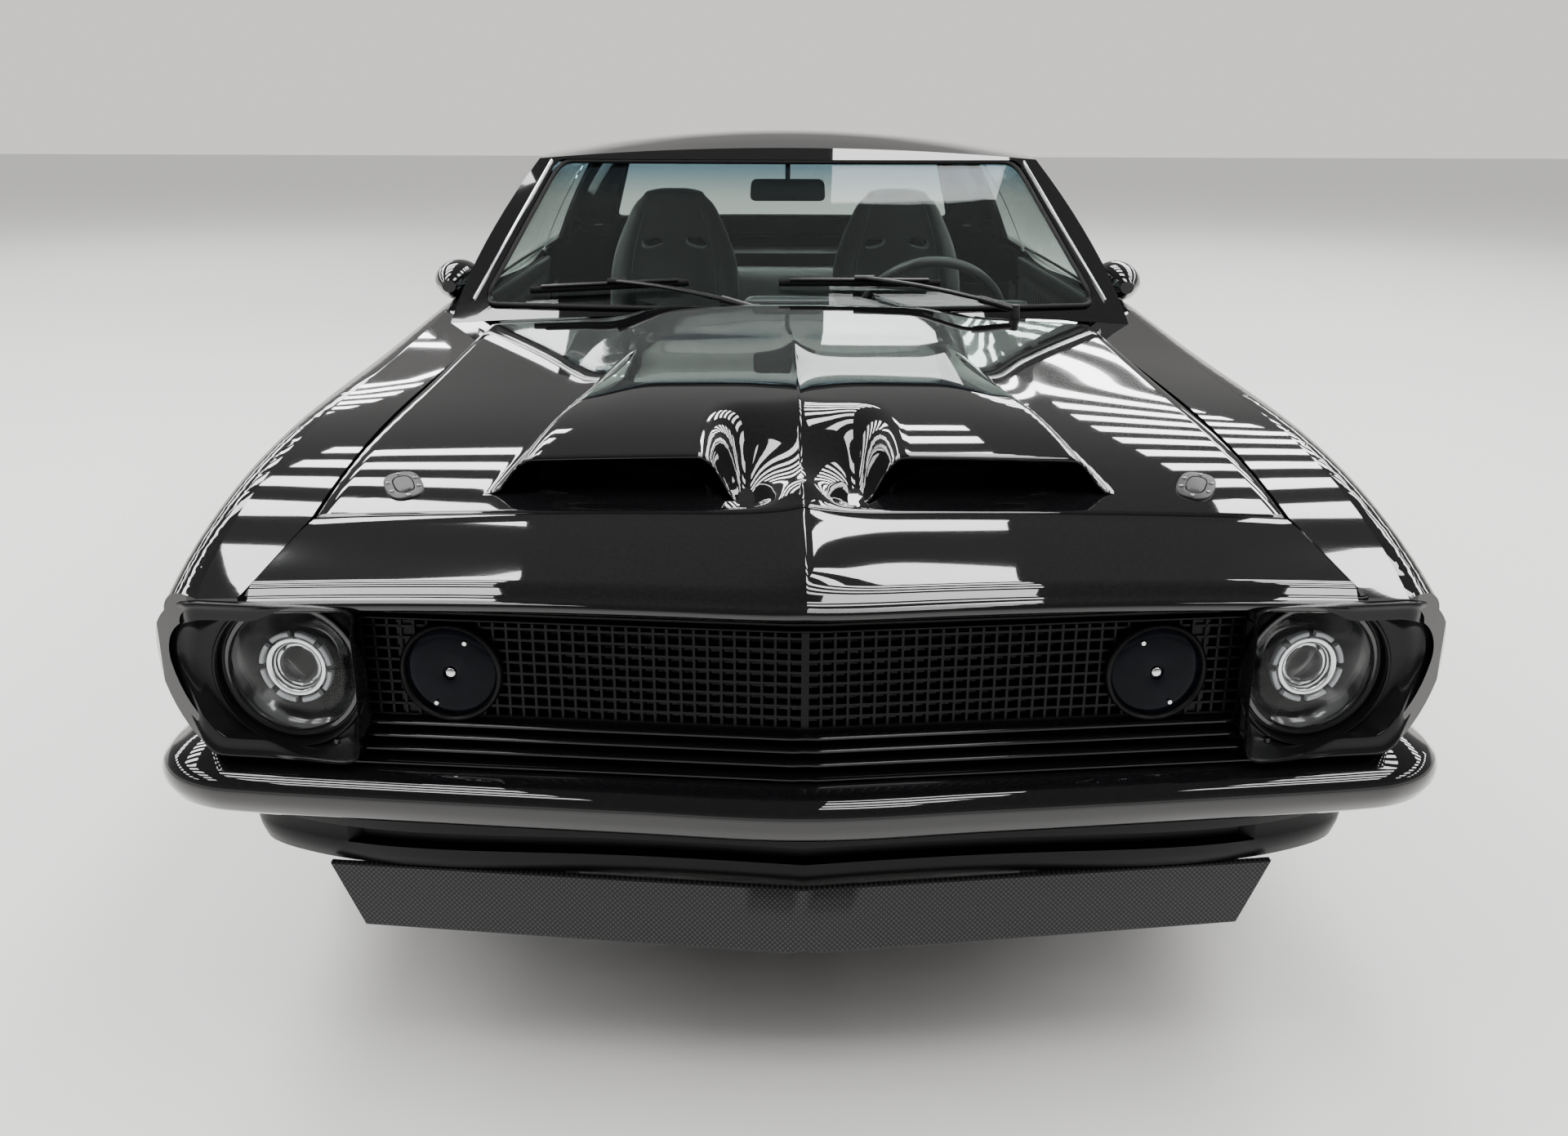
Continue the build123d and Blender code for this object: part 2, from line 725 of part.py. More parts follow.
with BuildPart() as roof_shell:
    add(cabin_outside)
    add(cabin_inside, mode=Mode.SUBTRACT)
    add(above_body, mode=Mode.SUBTRACT)
    add(screen_hole, mode=Mode.SUBTRACT)
    add(backlight_hole, mode=Mode.SUBTRACT)
    add(side_hole, mode=Mode.SUBTRACT)
    mirror(about=Plane.YZ)
save(roof_shell, "roof_shell")

# Glazing, seated a fixed depth inside the cabin's skin
cabin_glass = cabin_envelope(GLASS_INSET)
cabin_glass_inner = cabin_envelope(GLASS_INSET + GLASS)
with BuildPart() as glass_shell:
    add(cabin_glass)
    add(cabin_glass_inner, mode=Mode.SUBTRACT)
    add(above_body, mode=Mode.SUBTRACT)


def side_pane(start, end):
    """The side window's opening between two stations, less the gap around the glass."""
    with BuildPart() as made:
        with BuildSketch(Plane.YZ.offset(400)):
            with BuildLine():
                Polyline(*SIDE_WINDOW, close=True)
            make_face()
            offset(amount=-PANEL_GAP, kind=Kind.INTERSECTION)
            with Locations(((start + end) / 2, 1000)):
                Rectangle(end - start, 900, mode=Mode.INTERSECT)
        extrude(amount=HALF_WIDTH_LIMIT)
    return made.part


with BuildPart() as windshield:
    add(glass_shell.part)
    add(screen_hole, mode=Mode.INTERSECT)
    mirror(about=Plane.YZ)
save(windshield, "windshield")
with BuildPart() as rear_window:
    add(glass_shell.part)
    add(backlight_hole, mode=Mode.INTERSECT)
    mirror(about=Plane.YZ)
save(rear_window, "rear_window")
with BuildPart() as door_glass_left:
    add(glass_shell.part)
    add(side_pane(-800, GLASS_SPLIT), mode=Mode.INTERSECT)
save(door_glass_left, "door_glass_left")
with BuildPart() as door_glass_right:
    add(mirror(door_glass_left.part, about=Plane.YZ, mode=Mode.PRIVATE))
save(door_glass_right, "door_glass_right")
with BuildPart() as quarter_glass:
    add(glass_shell.part)
    add(side_pane(GLASS_SPLIT + GLASS_MEETING, 900), mode=Mode.INTERSECT)
    mirror(about=Plane.YZ)
save(quarter_glass, "quarter_glass")

# Body frame: floor, rockers, firewall, pillars, and the flanges that the doors shut on
with BuildPart() as rockers:
    add(outer)
    with BuildSketch(Plane.XY.offset(100)):
        with Locations(((ROCKER_INNER + HALF_WIDTH_LIMIT) / 2, (DOOR_FRONT + DOOR_REAR) / 2)):
            Rectangle(HALF_WIDTH_LIMIT - ROCKER_INNER, DOOR_REAR - DOOR_FRONT - PANEL_GAP)
    extrude(amount=SILL_TOP - 100, mode=Mode.INTERSECT)

with BuildPart() as jambs:
    add(door_seat)
    add(block((JAMB_INNER, HALF_WIDTH_LIMIT), (FIREWALL, FLOOR_REAR), (FLOOR, 1000)), mode=Mode.INTERSECT)
    add(frame_core, mode=Mode.SUBTRACT)
    with BuildSketch(Plane.YZ.offset(JAMB_INNER - 10)):
        with BuildLine():
            Polyline(
                (DOOR_FRONT + FLANGE, SILL_TOP + FLANGE),
                (DOOR_FRONT + FLANGE, 1100),
                (DOOR_REAR - DOOR_TAPER - FLANGE, 1100),
                (DOOR_REAR - DOOR_TAPER - FLANGE, SILL_TOP + FLANGE),
                close=True,
            )
        make_face()
    extrude(amount=500, mode=Mode.SUBTRACT)

with BuildPart() as pillars:
    add(skin_seat)
    with BuildSketch(Plane.XY.offset(FLOOR)):
        with Locations((0, (FIREWALL + DOOR_FRONT - HALF_GAP) / 2)):
            Rectangle(2 * HALF_WIDTH_LIMIT, DOOR_FRONT - HALF_GAP - FIREWALL)
    extrude(amount=900 - FLOOR, mode=Mode.INTERSECT)
    add(block((0, COWL_HALF + 2), (FIREWALL - 1, 0), (0, 1000)), mode=Mode.SUBTRACT)

# floor pan, tunnel, heel board, seat pan, step, trunk floor, bulkhead, shelf, rocker flange
FLOOR_PLATES = [
    ((TUNNEL_HALF - TUNNEL_WALL, FOOTWELL_HALF), (FIREWALL, FLOOR_REAR), (FLOOR, FLOOR + FLOOR_WALL)),
    ((FOOTWELL_HALF - 1, ROCKER_INNER + 60), (DOOR_FRONT, FLOOR_REAR), (FLOOR, FLOOR + FLOOR_WALL)),
    ((TUNNEL_HALF - TUNNEL_WALL, TUNNEL_HALF), (FIREWALL, FLOOR_REAR), (FLOOR, FLOOR + TUNNEL_HEIGHT)),
    ((0, TUNNEL_HALF), (FIREWALL, FLOOR_REAR), (FLOOR + TUNNEL_HEIGHT - TUNNEL_WALL, FLOOR + TUNNEL_HEIGHT)),
    ((TUNNEL_HALF - TUNNEL_WALL, 740), (FLOOR_REAR, FLOOR_REAR + FLOOR_WALL), (FLOOR, HEEL + 2 * FLOOR_WALL)),
    ((0, TUNNEL_HALF), (FLOOR_REAR - 1, FLOOR_REAR + FLOOR_WALL), (HEEL, FLOOR + TUNNEL_HEIGHT)),
    ((0, 740), (FLOOR_REAR, STEP_Y), (HEEL + FLOOR_WALL, HEEL + 2 * FLOOR_WALL)),
    ((0, WHEELHOUSE_X), (STEP_Y, STEP_Y + FLOOR_WALL), (HEEL + FLOOR_WALL, TRUNK_FLOOR + FLOOR_WALL)),
    ((0, WHEELHOUSE_X), (STEP_Y, TRUNK_END), (TRUNK_FLOOR, TRUNK_FLOOR + FLOOR_WALL)),
    ((0, WHEELHOUSE_X), (BULKHEAD, BULKHEAD + FLOOR_WALL), (TRUNK_FLOOR, SHELF_TOP)),
    ((0, WHEELHOUSE_X), (BULKHEAD - 40, DECK_FRONT - FLANGE - 2), (SHELF_TOP - 8, SHELF_TOP)),
    ((DOOR_INNER - 15, DOOR_INNER - 6), (DOOR_FRONT, DOOR_REAR), (FLOOR, SILL_TOP + 40)),
]
with BuildPart() as firewall:
    add(block((0, COWL_HALF + 2), (FIREWALL, FIREWALL + FLOOR_WALL), (FLOOR, 1000)))
    add(block((-1, TUNNEL_HALF), (FIREWALL - 1, 0), (0, FLOOR + TUNNEL_HEIGHT - TUNNEL_WALL)), mode=Mode.SUBTRACT)
    add(body_envelope(COWL_DROP + COWL_WALL + SEAT_GAP), mode=Mode.INTERSECT)
with BuildPart() as floor_plates:
    for x, y, z in FLOOR_PLATES:
        with Locations((sum(x) / 2, sum(y) / 2, sum(z) / 2)):
            Box(x[1] - x[0], y[1] - y[0], z[1] - z[0])
with BuildPart() as body_frame_half:
    add(rockers.part)
    add([jambs.part, pillars.part, firewall.part, floor_plates.part])
with BuildPart() as body_frame:
    add(body_frame_half.part)
    add(mirror(body_frame_half.part, about=Plane.YZ, mode=Mode.PRIVATE), clean=False)
save(body_frame, "body_frame")

# Wheelhouses over the rear tyres, closed on the inside
with BuildPart() as rear_wheelhouses:
    with BuildSketch(Plane.YZ.offset(WHEELHOUSE_X)):
        with Locations((REAR_AXLE, REAR_ARCH_Z)):
            Circle(ARCH_RADIUS + APRON_WALL)
            Circle(ARCH_RADIUS, mode=Mode.SUBTRACT)
        with Locations((REAR_AXLE, REAR_ARCH_Z - 500)):
            Rectangle(1200, 1000 - 2 * 100, mode=Mode.SUBTRACT)
    extrude(amount=HALF_WIDTH_LIMIT - WHEELHOUSE_X)
    add(under_quarter, mode=Mode.INTERSECT)
    with BuildSketch(Plane.YZ.offset(WHEELHOUSE_X)):
        with Locations((REAR_AXLE, REAR_ARCH_Z)):
            Circle(ARCH_RADIUS + APRON_WALL)
        with Locations((REAR_AXLE, REAR_HUB_HEIGHT + AXLE_TUBE + 60 - 500)):
            Rectangle(1200, 1000, mode=Mode.SUBTRACT)
    extrude(amount=APRON_WALL)
    mirror(about=Plane.YZ)
save(rear_wheelhouses, "rear_wheelhouses")

# Gutters: the flanges just under the skins that the hood and the trunk lid shut on
gutter_core = body_envelope(SKIN + FLANGE)
with BuildPart() as hood_gutter:
    add(skin_seat)
    add(
        plan_block(
            [
                (0, HOOD_FRONT_MID - FLANGE),
                (HOOD_HALF_FRONT + FLANGE, HOOD_FRONT_SIDE - FLANGE),
                (HOOD_HALF_REAR + FLANGE, COWL_FRONT),
                (-HOOD_HALF_REAR - FLANGE, COWL_FRONT),
                (-HOOD_HALF_FRONT - FLANGE, HOOD_FRONT_SIDE - FLANGE),
            ],
            500,
            1100,
        ),
        mode=Mode.INTERSECT,
    )
    add(
        plan_block(
            [
                (0, HOOD_FRONT_MID + FLANGE),
                (HOOD_HALF_FRONT - FLANGE, HOOD_FRONT_SIDE + FLANGE),
                (HOOD_HALF_REAR - FLANGE, COWL_FRONT + 1),
                (-HOOD_HALF_REAR + FLANGE, COWL_FRONT + 1),
                (-HOOD_HALF_FRONT + FLANGE, HOOD_FRONT_SIDE + FLANGE),
            ],
            500,
            1100,
        ),
        mode=Mode.SUBTRACT,
    )
    add(gutter_core, mode=Mode.SUBTRACT)

with BuildPart() as trunk_gutter:
    add(skin_seat)
    add(block((-DECK_HALF - FLANGE, DECK_HALF + FLANGE), (DECK_FRONT - FLANGE, TAIL_FRONT), (500, 1100)), mode=Mode.INTERSECT)
    add(
        block((-DECK_HALF + FLANGE, DECK_HALF - FLANGE), (DECK_FRONT + FLANGE, DECK_REAR - FLANGE), (400, 1200)),
        mode=Mode.SUBTRACT,
    )
    add(gutter_core, mode=Mode.SUBTRACT)
    add(quarter_panels.part, mode=Mode.SUBTRACT)
    # the wall that carries the flange from the trunk floor
    add(block((WHEELHOUSE_X - APRON_WALL, WHEELHOUSE_X), (DECK_FRONT, TRUNK_END), (TRUNK_FLOOR + FLOOR_WALL, 830)))
    mirror(about=Plane.YZ)
save(trunk_gutter, "trunk_gutter")

# Engine bay: aprons, shelves over the tyres, radiator support
with BuildPart() as bay_half:
    add(block((APRON_X, APRON_X + APRON_WALL), (BAY_FRONT, FIREWALL), (APRON_LOW, SHELF + APRON_WALL)))
    add(
        block(
            (APRON_X - 1, APRON_X + APRON_WALL + 1),
            (FRONT_AXLE - 34, FRONT_AXLE + 34),
            (UPPER_ARM_Z - 20, UPPER_ARM_Z + 20),
        ),
        mode=Mode.SUBTRACT,
    )
    add(block((APRON_X, HALF_WIDTH_LIMIT), (BAY_FRONT + 74, FIREWALL - 20), (SHELF, SHELF + APRON_WALL)))
    add(block((HOOD_HALF_REAR, HOOD_HALF_REAR + APRON_WALL), (BAY_FRONT + 80, COWL_FRONT), (SHELF, 1000)))
    add(skin_seat, mode=Mode.INTERSECT)
    add(block((0, APRON_X + 130), (BAY_FRONT, BAY_FRONT + 20), (BUMPER_LOW, SHELF + APRON_WALL)))
    add(block((0, APRON_X - 90), (BAY_FRONT - 5, BAY_FRONT + 25), (BUMPER_LOW + 60, SHELF - 60)), mode=Mode.SUBTRACT)
with BuildPart() as engine_bay:
    add(bay_half.part)
    add(hood_gutter.part)
    mirror(about=Plane.YZ)
save(engine_bay, "engine_bay")
with BuildPart() as radiator:
    add(block((90 - APRON_X, APRON_X - 90), (BAY_FRONT, BAY_FRONT + 56), (BUMPER_LOW + 60, SHELF - 60)))
save(radiator, "radiator")

# Grille: an egg-crate field with plain ribs above and below, two halves that meet in a vee
def vee_plane(set_back):
    """The upright plane of the left half of the nose, moved back from its tip. Its x runs outward."""
    return Plane(
        origin=(0, NOSE_TIP + set_back, 0),
        x_dir=(cos(radians(NOSE_ANGLE)), sin(radians(NOSE_ANGLE)), 0),
        z_dir=(sin(radians(NOSE_ANGLE)), -cos(radians(NOSE_ANGLE)), 0),
    )


grille_width = GRILLE_HALF / cos(radians(NOSE_ANGLE))
lamp_along = DRIVING_LAMP_X / cos(radians(NOSE_ANGLE))
with BuildPart() as grille_half:
    with BuildSketch(vee_plane(GRILLE_SET_BACK)):
        with Locations((grille_width / 2, (GRILLE_LOW + GRILLE_HIGH) / 2)):
            Rectangle(grille_width, GRILLE_HIGH - GRILLE_LOW)
        with Locations((CELL_WIDTH * CELL_COLUMNS / 2 + BAR, CELLS_MIDDLE)):
            with GridLocations(CELL_WIDTH, CELL_HEIGHT, CELL_COLUMNS, CELL_ROWS):
                Rectangle(CELL_WIDTH - BAR, CELL_HEIGHT - BAR, mode=Mode.SUBTRACT)
        with Locations(*[(grille_width / 2, z) for z in RIB_SLOTS]):
            Rectangle(grille_width - 24, RIB_SLOT, mode=Mode.SUBTRACT)
        with Locations((lamp_along, DRIVING_LAMP_Z)):
            Circle(DRIVING_LAMP_RADIUS + BAR)
            Circle(DRIVING_LAMP_RADIUS, mode=Mode.SUBTRACT)
    extrude(amount=-GRILLE_DEPTH)
with BuildPart() as grille:
    add(grille_half.part)
    add(mirror(grille_half.part, about=Plane.YZ, mode=Mode.PRIVATE), clean=False)
save(grille, "grille")

# Bezels: plates around the headlamps that close the fender fronts
with BuildPart() as bezel_plate:
    with BuildSketch(vee_plane(BEZEL_SET_BACK)):
        with BuildLine():
            Polyline(
                (grille_width + 3.2, GRILLE_LOW + 14),
                (NOSE_SIDE[0] + 90, GRILLE_LOW + 14),
                (NOSE_SIDE[0] + 90, 800),
                (grille_width + 3.2, 800),
                close=True,
            )
        make_face()
        with Locations((LAMP_X / cos(radians(NOSE_ANGLE)), LAMP_Z)):
            Circle(LAMP_RADIUS, mode=Mode.SUBTRACT)
    extrude(amount=-BEZEL_DEPTH)
    add(skin_seat, mode=Mode.INTERSECT)
with BuildPart() as headlamp_bezels:
    add(bezel_plate.part)
    mirror(about=Plane.YZ)
save(headlamp_bezels, "headlamp_bezels")


def lamp(radius, lens, depth, bulge):
    """A round lamp about the Z axis, its lens bulging to +Z from the origin."""
    with BuildPart() as made:
        with BuildSketch(Plane.XZ):
            with BuildLine():
                Line((0, -depth), (0.55 * radius, -depth))
                Line((0.55 * radius, -depth), (radius, -0.3 * depth))
                Line((radius, -0.3 * depth), (radius, 0))
                Line((radius, 0), (lens, 0))
                Line((lens, 0), (0.92 * lens, 0.25 * bulge))
                Line((0.92 * lens, 0.25 * bulge), (0.7 * lens, 0.7 * bulge))
                Line((0.7 * lens, 0.7 * bulge), (0.3 * lens, bulge))
                Line((0.3 * lens, bulge), (0, bulge))
                Line((0, bulge), (0, -depth))
            make_face()
        revolve(axis=Axis.Z)
    return made.part


lamp_face = vee_plane(BEZEL_SET_BACK)
with BuildPart() as headlamp:
    with Locations(Plane(lamp_face.from_local_coords((LAMP_X / cos(radians(NOSE_ANGLE)), LAMP_Z, -14)),
                         x_dir=lamp_face.x_dir, z_dir=lamp_face.z_dir)):
        add(lamp(LAMP_RADIUS - LAMP_FIT, LENS_RADIUS, HEADLAMP_DEPTH, 16))
with BuildPart() as headlamps:
    add(headlamp.part)
    mirror(about=Plane.YZ)
save(headlamps, "headlamps")
with BuildPart() as driving_lamp:
    with Locations(Plane(vee_plane(GRILLE_SET_BACK).from_local_coords((lamp_along, DRIVING_LAMP_Z, DRIVING_LAMP_PROUD)),
                         x_dir=lamp_face.x_dir, z_dir=lamp_face.z_dir)):
        add(lamp(DRIVING_LAMP_RADIUS - LAMP_FIT, DRIVING_LAMP_RADIUS - 8, DRIVING_LAMP_DEPTH, 9))
with BuildPart() as driving_lamps:
    add(driving_lamp.part)
    mirror(about=Plane.YZ)
save(driving_lamps, "driving_lamps")


# Bumpers: one section swept along half the plan and mirrored
def bumper_half(plan, bend, raise_by, facing):
    """The left half of a bumper. Facing is -1 for the front and +1 for the rear."""
    with BuildPart() as made:
        with BuildLine(Plane.XY.offset(raise_by)) as path:
            FilletPolyline(*plan, radius=bend)
        with BuildSketch(Plane.YZ):
            with BuildLine():
                Polyline(*[(plan[0][1] - facing * y, z + raise_by) for y, z in BUMPER_SECTION], close=True)
            make_face()
        sweep(path=path.line)
    return made.part


with BuildPart() as front_bumper:
    add(bumper_half(FRONT_BUMPER_PLAN, FRONT_BUMPER_BEND, 0, -1))
    add(block((RAIL_X - 28, RAIL_X + 28), (FRONT_BUMPER_PLAN[0][1] + 60, BAY_FRONT - 50), (BUMPER_LOW + 6, BUMPER_LOW + 50)))
    mirror(about=Plane.YZ)
save(front_bumper, "front_bumper")
with BuildPart() as rear_bumper:
    add(bumper_half(REAR_BUMPER_PLAN, FRONT_BUMPER_BEND, REAR_BUMPER_RAISE, 1))
    add(block((RAIL_X - 28, RAIL_X + 28), (TRUNK_END, REAR_BUMPER_PLAN[0][1] - 20), (TRUNK_FLOOR, TRUNK_FLOOR + 40)))
    mirror(about=Plane.YZ)
save(rear_bumper, "rear_bumper")

# Valances under the bumpers, and the chin spoiler below the front one
for end, plan, inward, (low, high) in (
    ("front", VALANCE_PLAN, 1, (SPOILER_TOP, BUMPER_LOW)),
    ("rear", REAR_VALANCE_PLAN, -1, REAR_VALANCE_HEIGHTS),
):
    inner_face = [(x - sx, y + inward * sy) for (x, y), (sx, sy) in zip(plan, VALANCE_SHIFT)]
    with BuildPart() as valance:
        with BuildSketch(Plane.XY.offset(low)):
            with BuildLine():
                Polyline(*plan)
                Polyline(*inner_face)
                Line(plan[0], inner_face[0])
                Line(plan[-1], (inner_face[-1][0], plan[-1][1]))
            make_face()
        extrude(amount=high - low)
        mirror(about=Plane.YZ)
    save(valance, f"{end}_valance")

with BuildPart() as chin_spoiler:
    for z, tip, half, back in SPOILER_ROWS:
        with BuildSketch(Plane.XY.offset(z)):
            with BuildLine():
                Polyline(
                    (0, tip), (half, back), (half, back + SPOILER_WALL), (0, tip + SPOILER_WALL),
                    (-half, back + SPOILER_WALL), (-half, back), close=True,
                )
            make_face()
    loft(ruled=True)
save(chin_spoiler, "chin_spoiler")

# Mirrors: bullet housings on stalks that stand on the door tops
with BuildPart() as mirror_left:
    with BuildSketch(Plane.XZ.offset(-MIRROR_Y)) as mirror_section:
        with Locations((MIRROR_X, MIRROR_Z)):
            Ellipse(MIRROR_HALF_WIDTH, MIRROR_HALF_HEIGHT)
    with BuildSketch(Plane.XZ.offset(-MIRROR_Y + MIRROR_LENGTH * 0.6)):
        with Locations((MIRROR_X, MIRROR_Z)):
            Ellipse(MIRROR_HALF_WIDTH * 0.86, MIRROR_HALF_HEIGHT * 0.86)
    with BuildSketch(Plane.XZ.offset(-MIRROR_Y + MIRROR_LENGTH)):
        with Locations((MIRROR_X, MIRROR_Z - 2)):
            Ellipse(MIRROR_HALF_WIDTH * 0.3, MIRROR_HALF_HEIGHT * 0.3)
    loft()
    with BuildSketch(Plane.XY.offset(MIRROR_Z)):
        with Locations((MIRROR_X - 6, MIRROR_Y - 40)):
            Ellipse(12, 24)
    extrude(amount=-90)
    add(above_body, mode=Mode.SUBTRACT)
save(mirror_left, "mirror_left")
with BuildPart() as mirror_right:
    add(mirror(mirror_left.part, about=Plane.YZ, mode=Mode.PRIVATE))
save(mirror_right, "mirror_right")

# Wipers parked at the foot of the windshield
cowl_top = body_envelope(COWL_DROP - SEAT_GAP)
with BuildPart() as wipers:
    for pivot, tip in WIPER_SPANS:
        with BuildSketch(Plane.XY.offset(WIPER_Z - 60)):
            with Locations((pivot, WIPER_Y)):
                Circle(12)
        extrude(amount=70)
        add(block(sorted((pivot, tip)), (WIPER_Y - 9, WIPER_Y + 9), (WIPER_Z, WIPER_Z + 10)))
    add(cowl_top, mode=Mode.SUBTRACT)
    add(mirror(cowl_top, about=Plane.YZ, mode=Mode.PRIVATE), mode=Mode.SUBTRACT)
save(wipers, "wipers")

# Inside mirror, hung from the roof's front rail
with BuildPart() as inside_mirror:
    with Locations((0, INSIDE_MIRROR_Y, INSIDE_MIRROR_Z)):
        Box(230, 22, 58)
    add(block((-8, 8), (INSIDE_MIRROR_Y - 4, INSIDE_MIRROR_Y + 6), (INSIDE_MIRROR_Z, 1300)))
    add(cabin_inside, mode=Mode.INTERSECT)
    mirror(about=Plane.YZ)
save(inside_mirror, "inside_mirror")

# Dashboard with the column, and the console on the tunnel
column_tilt = radians(COLUMN_TILT)
wheel_plane = Plane(
    origin=(COLUMN_X, STEERING_WHEEL_Y, STEERING_WHEEL_Z),
    x_dir=(1, 0, 0),
    z_dir=(0, cos(column_tilt), sin(column_tilt)),
)
with BuildPart() as dashboard:
    with BuildSketch(Plane.YZ.offset(-DASH_HALF)):
        with BuildLine():
            Polyline(
                (DASH_FRONT, DASH_LOW),
                (DASH_REAR - 60, DASH_LOW),
                (DASH_REAR, DASH_LOW + 70),
                (DASH_REAR - 20, DASH_TOP - 20),
                (DASH_REAR - 60, DASH_TOP),
                (DASH_STEP, DASH_TOP),
                (DASH_STEP, DASH_LOW + 150),
                (DASH_FRONT, DASH_LOW + 150),
                close=True,
            )
        make_face()
    extrude(amount=2 * DASH_HALF)
    with BuildSketch(Plane.YZ.offset(COLUMN_X - 190)):
        with BuildLine():
            Polyline(
                (DASH_REAR - 120, DASH_TOP - 30),
                (DASH_REAR + 10, DASH_TOP - 70),
                (DASH_REAR + 30, DASH_TOP + 10),
                (DASH_REAR - 100, DASH_TOP + 24),
                close=True,
            )
        make_face()
    extrude(amount=380)
    with BuildSketch(wheel_plane.offset(-COLUMN_GAP)):
        Circle(24)
    extrude(amount=-COLUMN_LENGTH)
    add(block((-110, 110), (DASH_REAR - 60, CONSOLE_REAR), (FLOOR + TUNNEL_HEIGHT, FLOOR + TUNNEL_HEIGHT + 60)))
    add(block((-90, 90), (DASH_REAR - 60, DASH_REAR - 20), (FLOOR + TUNNEL_HEIGHT, DASH_LOW + 10)))
save(dashboard, "dashboard")

with BuildPart() as steering_wheel:
    with BuildSketch(wheel_plane):
        Circle(STEERING_WHEEL_RADIUS + 3)
        Circle(STEERING_WHEEL_RADIUS - 3, mode=Mode.SUBTRACT)
    extrude(amount=6, both=True)
    with Locations(wheel_plane):
        Torus(STEERING_WHEEL_RADIUS, STEERING_WHEEL_TUBE)
        with Locations((0, 0, -18)):
            Cylinder(40, 36)
    with BuildSketch(wheel_plane):
        for angle in (30, 150, 270):
            with Locations(Rotation(0, 0, 0)):
                with PolarLocations(0, 1, angle):
                    with Locations((STEERING_WHEEL_RADIUS / 2, 0)):
                        Rectangle(STEERING_WHEEL_RADIUS, 30)
    extrude(amount=-5)
save(steering_wheel, "steering_wheel")

# High-backed bucket seats with two harness slots, and the rear bench
lean = radians(SEAT_LEAN)
with BuildPart() as seat:
    with BuildSketch(Plane.YZ.offset(SEAT_X - SEAT_WIDTH / 2)):
        with BuildLine():
            Polyline(
                (SEAT_FRONT, FLOOR + FLOOR_WALL),
                (SEAT_FRONT - 20, SEAT_CUSHION_TOP - 40),
                (SEAT_FRONT + 60, SEAT_CUSHION_TOP),
                (SEAT_HINGE - 60, SEAT_CUSHION_TOP - 50),
                (SEAT_HINGE + 200 * sin(lean), SEAT_TOP - 120),
                (SEAT_HINGE + 280 * sin(lean), SEAT_TOP),
                (SEAT_HINGE + 90 + 290 * sin(lean), SEAT_TOP - 20),
                (SEAT_HINGE + 110, SEAT_CUSHION_TOP),
                (SEAT_HINGE + 60, FLOOR + FLOOR_WALL),
                close=True,
            )
        make_face()
    extrude(amount=SEAT_WIDTH)
    with BuildSketch(Plane.XZ.offset(SEAT_FRONT)):
        with Locations(*[(SEAT_X + side * 62, SEAT_TOP - 150) for side in (-1, 1)]):
            SlotOverall(74, 34)
    extrude(amount=-900, mode=Mode.SUBTRACT)
    for side in (-1, 1):
        add(
            front_block(
                [
                    (SEAT_X + side * SEAT_WIDTH / 2, SEAT_TOP + 10),
                    (SEAT_X + side * 95, SEAT_TOP + 10),
                    (SEAT_X + side * 142, SEAT_TOP - 200),
                    (SEAT_X + side * (SEAT_WIDTH / 2 + 1), SEAT_TOP - 400),
                ],
                SEAT_FRONT,
                600,
            ),
            mode=Mode.SUBTRACT,
        )
with BuildPart() as front_seats:
    add(seat.part)
    mirror(about=Plane.YZ)
save(front_seats, "front_seats")

with BuildPart() as rear_seat:
    with BuildSketch(Plane.YZ.offset(-REAR_SEAT_HALF)):
        with BuildLine():
            Polyline(
                (REAR_SEAT_FRONT, HEEL + 2 * FLOOR_WALL),
                (REAR_SEAT_FRONT - 10, HEEL + 120),
                (STEP_Y - 60, HEEL + 110),
                (BULKHEAD - 110, 820),
                (BULKHEAD - 10, 815),
                (BULKHEAD - 40, TRUNK_FLOOR + FLOOR_WALL),
                (STEP_Y - 1, TRUNK_FLOOR + FLOOR_WALL),
                (STEP_Y - 1, HEEL + 2 * FLOOR_WALL),
                close=True,
            )
        make_face()
    extrude(amount=2 * REAR_SEAT_HALF)
save(rear_seat, "rear_seat")

# Front subframe: rails, crossmember, control arms and spring towers
with BuildPart() as subframe_half:
    add(block((RAIL_X - RAIL_WIDTH / 2, RAIL_X + RAIL_WIDTH / 2), (BAY_FRONT - 60, FIREWALL - SEAT_GAP), (RAIL_LOW, RAIL_HIGH)))
    add(block((RAIL_X - 30, RAIL_X + 30), (BAY_FRONT - 50, BAY_FRONT - 2), (RAIL_LOW, BUMPER_LOW + 50)))
    add(block((0, RAIL_X), (FRONT_AXLE - 50, FRONT_AXLE + 50), (RAIL_LOW, RAIL_HIGH)))
    add(block((RAIL_X - 20, KINGPIN_X - 20), (FRONT_AXLE - 40, FRONT_AXLE + 40), (LOWER_ARM_Z - 16, LOWER_ARM_Z + 16)))
    add(block((RAIL_X - 20, KINGPIN_X - 20), (FRONT_AXLE - 26, FRONT_AXLE + 26), (UPPER_ARM_Z - 10, UPPER_ARM_Z + 10)))
    add(block((RAIL_X - 30, RAIL_X + 26), (FRONT_AXLE - 60, FRONT_AXLE + 60), (RAIL_HIGH, UPPER_ARM_Z + 60)))
    for z, half in ((LOWER_ARM_Z, 16), (UPPER_ARM_Z, 10)):
        with BuildSketch(Plane.XY.offset(z - half)):
            with Locations((KINGPIN_X, FRONT_AXLE)):
                Circle(30)
            with Locations((KINGPIN_X - 25, FRONT_AXLE)):
                Rectangle(50, 50)
            with Locations((KINGPIN_X, FRONT_AXLE)):
                Circle(KINGPIN_RADIUS + BEARING_GAP, mode=Mode.SUBTRACT)
        extrude(amount=2 * half)
